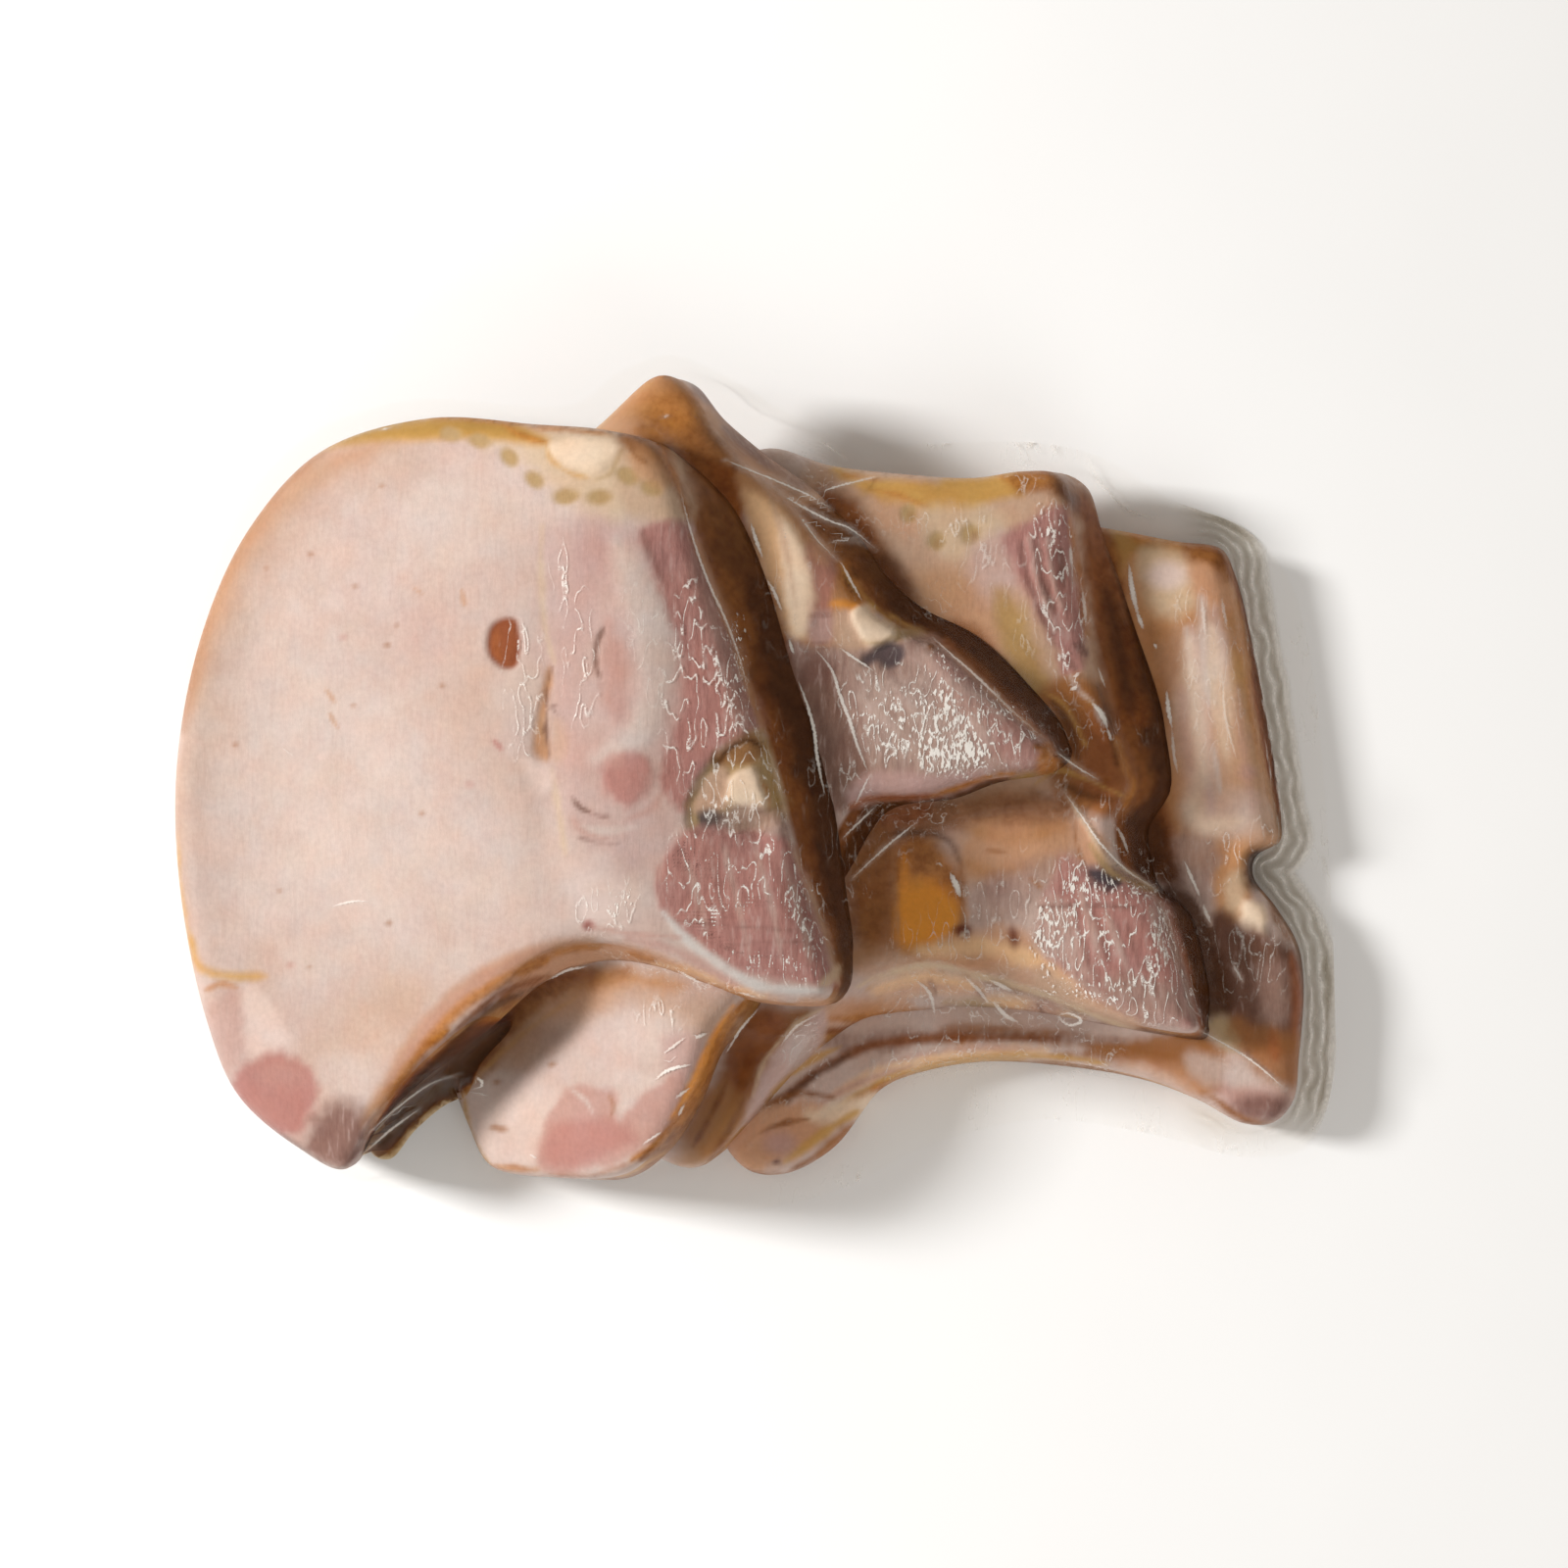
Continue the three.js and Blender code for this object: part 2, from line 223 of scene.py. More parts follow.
def mottle(x, y, size, seed):
    """Soft noise from -1 to 1 with blotches about as large as size."""
    lattice = np.random.default_rng(seed).uniform(-1, 1, (64, 64))
    u, v = x / size + 17.3, y / size + 5.7
    i, j = np.floor(u).astype(int), np.floor(v).astype(int)
    s, t = u - i, v - j
    s, t = s * s * (3 - 2 * s), t * t * (3 - 2 * t)
    i, j = i % 64, j % 64
    k, m = (i + 1) % 64, (j + 1) % 64
    low = lattice[i, j] * (1 - s) + lattice[k, j] * s
    high = lattice[i, m] * (1 - s) + lattice[k, m] * s
    return low * (1 - t) + high * t


# ---------------------------------------------------------------- chops


# How far a face swells or, with a minus sign, dips: middle x and y, half-width, half-height, mm.
SWELLINGS = {
    "first_chop": [
        (-72, 8, 26, 42, 1.6), (-37, 8, 4, 22, -1.3), (-20, 26, 7, 20, 0.9),
        (3, -9, 6, 5, -1.6), (4, -27, 12, 9, 1), (-95, -52, 10, 10, 1),
    ],
    "second_chop": [
        (10, 30, 5, 22, 1.2), (31, 24, 8, 5, -1.8), (34, 12, 16, 8, 1.2), (-36, -62, 12, 9, 1.2),
    ],
    "third_chop": [
        (28, 38, 14, 18, 0.9), (56, 36, 5, 16, 0.8), (66, 3, 6, 12, -2), (70, -30, 12, 12, 1.2),
        (30, -22, 9, 9, -1.5),
    ],
    "fourth_chop": [
        (87, 36, 9, 10, 1), (90, 5, 8, 22, 0.6), (96, -14, 6, 5, -2), (104, -38, 5, 20, 0.8),
    ],
}


class Chop:
    """The outline and height of one chop."""

    def __init__(self, name, rim, middle, level):
        self.name = name
        self.rim = smooth_line(rim, RIM_STEPS)
        self.middle = np.array(middle, float)
        self.level = level

    def face(self, x, y, inset):
        """The height of the face at points that lie an inset inside the rim."""
        swelling = sum(
            height * np.exp(-(((x - at_x) / wide) ** 2) - ((y - at_y) / tall) ** 2)
            for at_x, at_y, wide, tall, height in SWELLINGS[self.name]
        )
        return self.level(x, y) + swelling * smoothstep(inset, 0, 6) - shoulder(inset)

    def skin(self, x, y):
        """The height of the chop's outside over each point, and far below the surface beside it."""
        away, place = nearest(np.column_stack([x, y]), self.rim)
        rim = at_place(self.rim, place)
        inside = self.face(x, y, -away)
        lean = np.maximum(rim[:, 2], 0.3)
        side = self.level(rim[:, 0], rim[:, 1]) - SHOULDER - (SLICE - 1 - SHOULDER) * away / lean
        return np.where(away < 0, inside, np.where(away < lean, side, NOTHING))


def shoulder(inset):
    """How far a face lies below its level at a distance inside the rim."""
    t = np.clip(1 - inset / (SHOULDER + 0.6), 0, 1)
    return SHOULDER * (1 - np.sqrt(np.clip(1 - t * t, 0, 1)))


CHOPS = [
    Chop("first_chop", FIRST_RIM, (-45, 5), first_height),
    Chop("second_chop", SECOND_RIM, (-15, 5), second_height),
    Chop("third_chop", THIRD_RIM, (20, 5), third_height),
    Chop("fourth_chop", FOURTH_RIM, (45, -5), fourth_height),
]


def places(bm):
    return np.array([v.co for v in bm.verts])


def trimmed_grid(bm, outline, cell):
    """A fine grid cut to a closed outline, with its edge points pulled onto that outline."""
    low, high = outline[:, :2].min(0) - cell, outline[:, :2].max(0) + cell
    columns, rows = np.ceil((high - low) / cell).astype(int)
    bmesh.ops.create_grid(bm, x_segments=int(columns), y_segments=int(rows), size=0.5)
    bmesh.ops.scale(bm, vec=Vector((columns * cell, rows * cell, 1)), verts=bm.verts)
    bmesh.ops.translate(bm, vec=Vector((*(low + high) / 2, 0)), verts=bm.verts)
    away, _ = nearest(places(bm)[:, :2], outline)
    outside = [v for v, d in zip(list(bm.verts), away) if d > 0.45 * cell]
    bmesh.ops.delete(bm, geom=outside, context="VERTS")
    edge = [v for v in bm.verts if v.is_boundary or not v.link_faces]
    while spare := [v for v in edge if sum(e.is_boundary for e in v.link_edges) != 2]:
        bmesh.ops.delete(bm, geom=spare, context="VERTS")
        edge = [v for v in bm.verts if v.is_boundary or not v.link_faces]
    spots = np.array([v.co for v in edge])[:, :2]
    onto = at_place(outline, nearest(spots, outline)[1])
    for vert, (x, y) in zip(edge, onto[:, :2]):
        vert.co.x, vert.co.y = x, y


def next_ring(bm, edges):
    """Extrudes an open edge and gives the new points and the new open edge."""
    made = bmesh.ops.extrude_edge_only(bm, edges=edges)["geom"]
    verts = [g for g in made if isinstance(g, bmesh.types.BMVert)]
    edges = [g for g in made if isinstance(g, bmesh.types.BMEdge) and g.is_boundary]
    return verts, edges


def close_underside(bm, edges, middle, height):
    """Closes an open edge with rings that shrink to a point, at the height given for each place."""
    shares = (1.0,) + UNDERSIDE_SHARES
    for before, share in zip(shares, shares[1:]):
        verts, edges = next_ring(bm, edges)
        spots = np.array([v.co for v in verts])[:, :2]
        goal = middle + (spots - middle) * share / before
        for vert, (x, y), z in zip(verts, goal, height(goal[:, 0], goal[:, 1])):
            vert.co = Vector((x, y, z))
    centre = sum((v.co for v in verts), Vector()) / len(verts)
    bmesh.ops.pointmerge(bm, verts=verts, merge_co=centre)


def build_chop(chop):
    """A chop as one closed skin: its face, its leaning side and its underside."""
    bm = bmesh.new()
    drop = bm.verts.layers.float.new("drop")  # how far a point of the side lies below the face
    trimmed_grid(bm, chop.rim, CHOP_CELL)
    spots = places(bm)
    away, _ = nearest(spots[:, :2], chop.rim)
    for vert, z in zip(bm.verts, chop.face(spots[:, 0], spots[:, 1], -np.minimum(away, 0))):
        vert.co.z = z
    edges = [e for e in bm.edges if e.is_boundary]
    before = SHOULDER
    for fall in SIDE_DROPS:
        verts, edges = next_ring(bm, edges)
        spots = np.array([v.co for v in verts])
        lean = at_place(chop.rim, nearest(spots[:, :2], chop.rim)[1])[:, 2]
        outward = spots[:, :2] - chop.middle
        outward /= np.linalg.norm(outward, axis=1)[:, None]
        step = (fall - before) / (SLICE - 1 - SHOULDER)
        for vert, (out_x, out_y), reach in zip(verts, outward, lean * step):
            vert.co.x += out_x * reach
            vert.co.y += out_y * reach
            vert.co.z = max(vert.co.z - (fall - before), FLOOR_GAP)
            vert[drop] = fall
        before = fall
    close_underside(
        bm, edges, chop.middle, lambda x, y: np.maximum(chop.level(x, y) - SLICE, FLOOR_GAP)
    )
    return bm


def finished_object(name, bm):
    """The object of a bmesh in millimetres, put into metres, with smooth faces that look outwards."""
    bmesh.ops.recalc_face_normals(bm, faces=bm.faces)
    bmesh.ops.scale(bm, vec=Vector((MM, MM, MM)), verts=bm.verts)
    for face in bm.faces:
        face.smooth = True
    mesh = bpy.data.meshes.new(name)
    bm.to_mesh(mesh)
    bm.free()
    piece = bpy.data.objects.new(name, mesh)
    bpy.context.scene.collection.objects.link(piece)
    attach(piece, "root")
    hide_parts("sealed_pack")
    return piece


def write_colours(piece, name, values):
    """Stores three numbers for each point of a piece, for its material to read."""
    layer = piece.data.attributes.new(name, "FLOAT_COLOR", "POINT")
    filled = np.column_stack([values, np.ones(len(values))])
    layer.data.foreach_set("color", filled.astype(np.float32).ravel())


# ---------------------------------------------------------------- paint


def linear(tone):
    """A tone given as on a screen, 0 to 255, as the share of light that it sends back."""
    value = np.array(tone) / 255
    return np.where(value <= 0.04045, value / 12.92, ((value + 0.055) / 1.055) ** 2.4)


def picture_place(x, y, z):
    """Where the camera sees points, as millimetres in the picture plane."""
    nearer = (EYE[2] - LEVEL) / (EYE[2] - z)
    return EYE[0] + (x - EYE[0]) * nearer, EYE[1] + (y - EYE[1]) * nearer


class Coat:
    """Marks laid over the points of a surface, one after another, in the picture plane."""

    def __init__(self, spots, channels):
        self.u, self.v = picture_place(*spots.T)
        self.values = np.zeros((len(spots), channels))
        self.lift = np.zeros(len(spots))
        self.seed = 0

    def rows_near(self, points, reach):
        low, high = np.min(points, 0) - reach, np.max(points, 0) + reach
        inside = (self.u > low[0]) & (self.u < high[0]) & (self.v > low[1]) & (self.v < high[1])
        return np.nonzero(inside)[0]

    def wobble(self, rows, ragged):
        """Uneven shifts for the edge of the next mark."""
        self.seed += 1
        fine = mottle(self.u[rows], self.v[rows], 1.1, self.seed + 500)
        return ragged * (0.7 * mottle(self.u[rows], self.v[rows], 3.1, self.seed) + 0.4 * fine)

    def lay(self, rows, cover, value, share, lift):
        """Mixes a value in where the cover is 1, and lifts the surface there."""
        self.values[rows] += (value - self.values[rows]) * (cover * share)[:, None]
        self.lift[rows] += lift * cover

    def patch(self, value, outline, soft=1.2, share=1.0, lift=0.0, ragged=0.8):
        """A closed shape with an edge as soft as given, in mm."""
        soft = BLUR + soft
        line = smooth_line(outline, 9 * len(outline))
        rows = self.rows_near(line, soft + ragged)
        spots = np.column_stack([self.u[rows], self.v[rows]])
        away = nearest(spots, line)[0] + self.wobble(rows, ragged)
        self.lay(rows, 1 - smoothstep(away, -soft / 2, soft / 2), value, share, lift)

    def stroke(self, value, points, wide, soft=0.5, share=1.0, lift=0.0, ragged=0.35):
        """A line that tapers to its ends."""
        soft = BLUR / 4 + soft
        line = smooth_line(points, 9 * len(points), closed=False)
        rows = self.rows_near(line, wide / 2 + soft + ragged)
        spots = np.column_stack([self.u[rows], self.v[rows]])
        away, place = nearest(spots, line, closed=False)
        along = np.clip(place / (len(line) - 1), 0, 1)
        half = wide / 2 * (0.25 + 0.75 * np.sqrt(np.sin(math.pi * along)))
        away = np.abs(away) - half + self.wobble(rows, ragged)
        self.lay(rows, 1 - smoothstep(away, -soft / 2, soft / 2), value, share, lift)

    def oval(self, value, centre, radii, soft=0.6, share=1.0, lift=0.0, turn=0.0, ragged=0.3):
        """A rounded spot, turned anticlockwise by an angle in degrees."""
        soft = BLUR / 3 + soft
        rows = self.rows_near([centre], max(radii) + soft + ragged)
        u, v = self.u[rows] - centre[0], self.v[rows] - centre[1]
        c, s = math.cos(math.radians(turn)), math.sin(math.radians(turn))
        far = np.hypot((u * c + v * s) / radii[0], (v * c - u * s) / radii[1])
        away = (far - 1) * min(radii) + self.wobble(rows, ragged)
        self.lay(rows, 1 - smoothstep(away, -soft / 2, soft / 2), value, share, lift)

    def cloud(self, value, size, share, low=0.0, high=0.9):
        """Soft blotches all over."""
        self.seed += 1
        cover = smoothstep(mottle(self.u, self.v, size, self.seed), low, high)
        self.lay(np.arange(len(self.u)), cover, value, share, 0.0)


OUTLINE = smooth_line(MARGIN, RIM_STEPS)


# ---------------------------------------------------------------- the meat's tones and marks

# As they look on a screen, 0 to 255.
TONES = {
    "loin": (211, 190, 183),
    "pale loin": (216, 200, 194),
    "tan loin": (202, 172, 154),
    "pink": (205, 177, 172),
    "mauve pink": (198, 164, 160),
    "rose": (197, 156, 147),
    "red muscle": (186, 132, 126),
    "tan": (205, 172, 148),
    "warm tan": (196, 146, 104),
    "brown tan": (164, 110, 66),
    "yellow fat": (208, 162, 92),
    "olive fat": (176, 138, 72),
    "cream fat": (218, 194, 166),
    "white fat": (228, 207, 200),
    "olive spot": (188, 160, 118),
    "rind": (186, 134, 82),
    "orange smoke": (198, 132, 62),
    "rust smoke": (172, 102, 60),
    "brown smoke": (152, 98, 50),
    # Smoked rind, and painted shade in the bands, gaps and hollows between the chops.
    "dark smoke and shade": (146, 84, 34),
    # Painted shade mixed with brown juice and smoke: the darkest brown, for the gaps, hollows and bands
    # that lie in shade.
    "deep brown shade": (84, 48, 22),
    "vein": (150, 86, 56),
    "blood": (110, 48, 30),
    "purple bone": (186, 138, 132),
    "mauve bone": (176, 148, 138),
    "grey bone": (206, 184, 175),
    "dark bone": (134, 98, 90),
    "brown bone": (112, 76, 60),
    "cartilage": (216, 212, 211),
    "marrow": (244, 222, 198),
    "slate": (84, 74, 80),
    "amber": (250, 168, 66),
    "peach": (212, 164, 132),
    # Painted light: a pale warm tone laid where the meat lies in shade, lighter than the meat there.
    "honey painted light": (246, 204, 160),
}
LIGHT = (1.27, 1.31, 1.38)  # how much the light adds to a tone
# Painted light: each chop's tones made lighter or darker as a whole, to make up for how much light
# reaches it.
PAINTED_LIGHT_SHARES = {"first_chop": 0.93, "second_chop": 1.0, "third_chop": 1.04, "fourth_chop": 1.14}
BONES = ("purple bone", "mauve bone", "grey bone", "dark bone", "brown bone")
FATS = ("yellow fat", "olive fat", "cream fat", "white fat", "cartilage", "marrow", "amber")
SMOKES = ("orange smoke", "rust smoke", "brown smoke", "dark smoke and shade", "deep brown shade")

# What a mark puts on the meat: its colour, and whether it is bone, fat or smoked rind.
DYES = {
    name: np.array([*linear(tone) / LIGHT, name in BONES, name in FATS, name in SMOKES], float)
    for name, tone in TONES.items()
}


class Meat(Coat):
    """The marks on one chop."""

    def __init__(self, bm, chop):
        self.spots_3d = places(bm)
        super().__init__(self.spots_3d, 6)
        self.values[:] = DYES["loin"]
        self.cloud("pale loin", 13, 0.6)
        self.cloud("tan loin", 9, 0.22)
        drop = bm.verts.layers.float["drop"]
        self.smoke_sides(np.array([v[drop] for v in bm.verts]), chop)

    def smoke_sides(self, drop, chop):
        """The smoked rind round a slice. The side that the next chop lies against is brown with juice and
        painted shade, darkest towards its foot.
        """
        rows = np.nonzero(drop > 0)[0]
        x, y, z = self.spots_3d[rows].T
        depth = smoothstep(drop[rows], SHOULDER, SLICE)
        around = mottle(x + z, y - z, 7, 71) + 0.6 * mottle(x, y + z, 2.5, 72)
        self.lay(rows, np.ones(len(rows)), "rind", 1.0, 0.0)
        self.lay(rows, smoothstep(around + depth, -0.2, 1.0), "brown smoke", 0.7, 0.0)
        self.lay(rows, smoothstep(-around, -0.1, 0.9), "yellow fat", 0.5, 0.0)
        away, place = nearest(np.column_stack([x, y]), chop.rim)
        lean = at_place(chop.rim, place)[:, 2]
        # Painted shade with brown juice on the side that faces the next chop: dark brown over it, lighter
        # brown further up the pack, and the deepest brown towards its foot.
        soaked_and_shaded = smoothstep(lean, 1.5, 3.5) * smoothstep(x - chop.middle[0], 10, 30)
        self.lay(rows, soaked_and_shaded, "dark smoke and shade", 0.9, 0.0)
        self.lay(rows, soaked_and_shaded * smoothstep(y, 15, 50), "brown smoke", 0.85, 0.0)
        deep = smoothstep(depth + 0.2 * around, 0.0, 0.5) * smoothstep(60 - y, 0, 30)
        self.lay(rows, soaked_and_shaded * deep, "deep brown shade", 0.9, 0.0)
        clean = smoothstep(-x, 66, 90) * (1 - smoothstep(depth, 0.15, 0.5)) * (chop is CHOPS[0])
        self.lay(rows, clean, "tan loin", 0.9, 0.0)
        # Painted shade: the first chop's left side, which faces the lamp, is painted darker brown so that
        # it does not come out too bright.
        shade_on_lamp_side = smoothstep(-x, 40, 60) * smoothstep(depth, 0.04, 0.2) * (chop is CHOPS[0])
        self.lay(rows, shade_on_lamp_side, "brown smoke", 0.8, 0.0)

    def vary_tones_and_paint_light(self, share):
        """Slightly uneven tones all over, and painted light: the whole chop made lighter or darker by a
        share.
        """
        u, v = self.u, self.v
        self.values[:, :3] *= share
        broad = 0.035 * mottle(u, v, 11, 81) + 0.03 * mottle(u, v, 4.3, 82) + 0.02 * mottle(u, v, 1.7, 83)
        warm = 0.03 * mottle(u, v, 7, 84) + 0.03 * mottle(u, v, 2.6, 85)
        self.values[:, :3] *= 1 + np.column_stack([broad + warm / 3, broad - warm / 3, broad - warm])

    def lay(self, rows, cover, tone, share, lift):
        super().lay(rows, cover, DYES[tone], share, lift)

    def spots(self, value, centres, radii, **how):
        for centre in centres:
            self.oval(value, centre, radii, **how)

    def strokes(self, value, lines, wide, **how):
        for line in lines:
            self.stroke(value, line, wide, **how)


def mark_first(meat):
    mark_first_loin(meat)
    mark_first_crown(meat)
    mark_first_muscles(meat)
    mark_first_bones(meat)
    mark_first_cavity(meat)
    mark_first_tail(meat)


def mark_first_loin(meat):
    """The pale eye of the loin, its tan edge, its specks and the vein."""
    meat.patch("tan loin", [(-109.5, -7.5), (-108.3, 18.9), (-102.9, 37.7), (-94, 53.8), (-81.2, 65.7),
        (-63.3, 70.2), (-64.2, 62.3), (-77.4, 56.6), (-88.7, 45.3), (-96.3, 30.2), (-103.1, 15.1),
        (-106.5, -5.7)],
               soft=13.2, share=0.7, ragged=2)
    meat.stroke("warm tan", [(-108, 18.9), (-103.4, 35.5), (-94.4, 52.5), (-81.2, 65.7)], 3, soft=2.6,
        share=0.55)
    meat.stroke("brown tan", [(-108.7, 11.3), (-104.6, 33.6), (-98.5, 46), (-89.9, 57.7),
        (-79.7, 66.4)], 4.5, soft=4.2,
                share=0.8)
    meat.stroke("olive fat", [(-108.7, 15.1), (-104.6, 33.6), (-98.5, 46), (-91.7, 56.6)], 1.1,
        soft=1.1, share=0.7)
    meat.stroke("warm tan", [(-106.5, 15.1), (-101.6, 34), (-94.8, 47.9), (-82.7, 59.6), (-66.1, 66.8)],
        4.9, soft=5.7,
                share=0.5)
    meat.stroke("tan loin", [(-109.3, 3.8), (-109.1, -15.1), (-106.1, -35.8)], 2.6, soft=3, share=0.7)
    meat.stroke("yellow fat", [(-109.3, -9.4), (-108.7, -20.8), (-105.7, -34.9)], 1.1, soft=0.9,
        share=0.6)
    meat.oval("pale loin", (-57.4, 50), (9.4, 8.7), soft=8.3, share=0.9)
    meat.oval("pale loin", (-83.4, 0), (20.8, 28.3), soft=17, share=0.7)
    meat.oval("pale loin", (-54.8, -15.1), (15.1, 11.3), soft=11.3, share=0.6)
    meat.oval("mauve pink", (-64.2, 30.2), (11.3, 7.5), soft=11.3, share=0.25)
    meat.oval("tan loin", (-52.9, 15.1), (6.4, 11.3), soft=9.4, share=0.3)
    meat.spots("brown tan", [(-92.3, 41.5), (-83.6, 44.2), (-70, 57.4), (-75.1, 38.1), (-67, 30.6),
        (-68.9, 26.8), (-89.7, -20.6), (-83.8, -35.3), (-68.5, -26.8), (-98.2, 7.5), (-58.2, 18.9),
        (-75.5, 15.1), (-62.3, -5.7)],
               (0.5, 0.4), soft=0.6, share=0.55)
    meat.spots("rose", [(-80.4, -54.3), (-87.6, -34.9), (-77.4, 28.3), (-52.9, 0)], (0.8, 0.6),
        soft=0.8, share=0.6)
    meat.strokes("warm tan", [[(-80.8, 18.3), (-78.9, 15.7)], [(-80.2, 13.8), (-78.3, 10.6)],
                 [(-54.6, 37.5), (-54, 34.3)], [(-64.2, 38.1), (-62.1, 36.6)]], 0.8, share=0.55)
    meat.stroke("red muscle", [(-48.5, 8.7), (-46.8, 6.6)], 0.9, share=0.8)
    meat.oval("white fat", (-81.6, 5.3), (0.8, 0.8), share=0.8)
    meat.patch("vein", [(-49.7, 27.5), (-48.7, 30.6), (-46.5, 31.9), (-44.2, 31.7), (-43.4, 29.4),
        (-43.4, 24.9), (-44.4, 22.5), (-46.8, 22.3), (-48.9, 24.2)], soft=0, lift=-0.7, ragged=0.2)
    meat.stroke("rust smoke", [(-47.8, 29.4), (-48, 26.4), (-47.2, 23.8)], 1.3, soft=1.1, share=0.6)
    meat.stroke("blood", [(-44.2, 30.2), (-43.8, 26.4), (-44.8, 23)], 0.8, soft=0.8, share=0.4)


def mark_first_crown(meat):
    """The yellow fat along the top with its row of olive glands, and the smoked crown."""
    meat.patch("cream fat", [(-52.9, 66.8), (-45.3, 64.9), (-39.3, 58.1), (-30.2, 52.5), (-20.8, 50.9),
        (-11.9, 50.2), (-10.8, 57), (-14.4, 63.8), (-22.7, 67.9), (-37.8, 68.7)], soft=4.9, share=0.85,
        ragged=1.2)
    meat.patch("tan", [(-22.7, 63), (-13.3, 61.1), (-10.6, 52.8), (-13.3, 49.8), (-20.8, 51.3),
        (-24.6, 56.6)],
               soft=3.8, share=0.6)
    meat.stroke("yellow fat", [(-94, 56.6), (-87.2, 64.2), (-78.3, 67.7), (-69.9, 68.7), (-61.9, 68.7),
        (-52.5, 68.7), (-45, 67.7), (-38.5, 66)], 5.3, soft=2.3)
    meat.stroke("olive fat", [(-83.1, 65.7), (-71.7, 67.9), (-58.5, 69.1), (-49.1, 68.7),
        (-41.6, 67.2)], 3.8, soft=2.6,
                share=0.75)
    meat.stroke("orange smoke", [(-99.7, 49.1), (-89.5, 62.6), (-78.3, 69.8), (-68, 71.1),
        (-54.8, 71.1), (-43.4, 69.8), (-30.2, 69.1)], 1.7, soft=1.5, share=0.75)
    meat.spots("olive spot", [(-56.7, 67.4), (-51.2, 66)], (2.1, 1.3), soft=0.8, turn=-12, lift=-0.2)
    meat.spots("olive spot", [(-45.5, 63), (-40.6, 58.7)], (2.1, 1.5), soft=0.8, turn=-40, lift=-0.2)
    meat.spots("olive spot", [(-34.6, 55.5), (-28, 55.3)], (2.5, 1.5), soft=0.8, lift=-0.2)
    meat.spots("olive spot", [(-22.7, 59.4), (-18, 57)], (2.3, 1.5), soft=0.8, turn=-25, lift=-0.2)
    meat.strokes("orange smoke", [[(-47.4, 70), (-43.6, 67.4), (-38.3, 65.7)], [(-41.6, 68.5),
        (-34, 68.3), (-25.5, 67.2)],
                 [(-30.2, 67.9), (-22.7, 68.3), (-17.4, 66.8)]], 1.1, soft=0.9, share=0.7)
    meat.patch("marrow", [(-37.8, 64.9), (-34.8, 66), (-29.5, 66.4), (-24.6, 66.4), (-23.4, 64.9),
        (-26.1, 62.6), (-27.2, 60.4), (-30.2, 59.4), (-32.9, 60.8), (-35.9, 61.9), (-37.4, 63)],
        soft=1.1, share=0.9, lift=0.3, ragged=1)
    meat.stroke("yellow fat", [(-38.3, 65.3), (-37.4, 62.6), (-34, 60), (-30.2, 58.9)], 0.8, soft=0.8,
        share=0.7)
    meat.stroke("olive spot", [(-23.4, 64.9), (-24.6, 62.3), (-26.1, 59.6), (-29.1, 58.5)], 0.8,
        soft=0.9, share=0.7)
    meat.patch("brown tan", [(-24.6, 67.2), (-20.8, 68.7), (-16.7, 69.1), (-14.4, 65.7), (-14.8, 62.3),
        (-18.5, 61.9), (-22.7, 63.8)], soft=1.9, share=0.9)
    meat.patch("warm tan", [(-23.4, 63.8), (-15.1, 63), (-13.3, 57.4), (-16.7, 56.6), (-20.8, 59.2)],
        soft=1.9,
               share=0.7)
    meat.oval("brown smoke", (-18.5, 67.9), (3, 1.5), soft=1.5, share=0.8)
    meat.stroke("brown smoke", [(-22.7, 66.8), (-21.6, 63.8), (-18.9, 61.5)], 0.8, soft=0.8, share=0.6)
    meat.stroke("brown smoke", [(-16.7, 65.7), (-13.3, 58.1), (-10.2, 50.2)], 1.7, soft=0.9, share=0.8)
    meat.stroke("orange smoke", [(-15.9, 64.5), (-12.7, 57.2), (-10.6, 51.3)], 0.8, soft=0.6, share=0.8,
        lift=0.3)


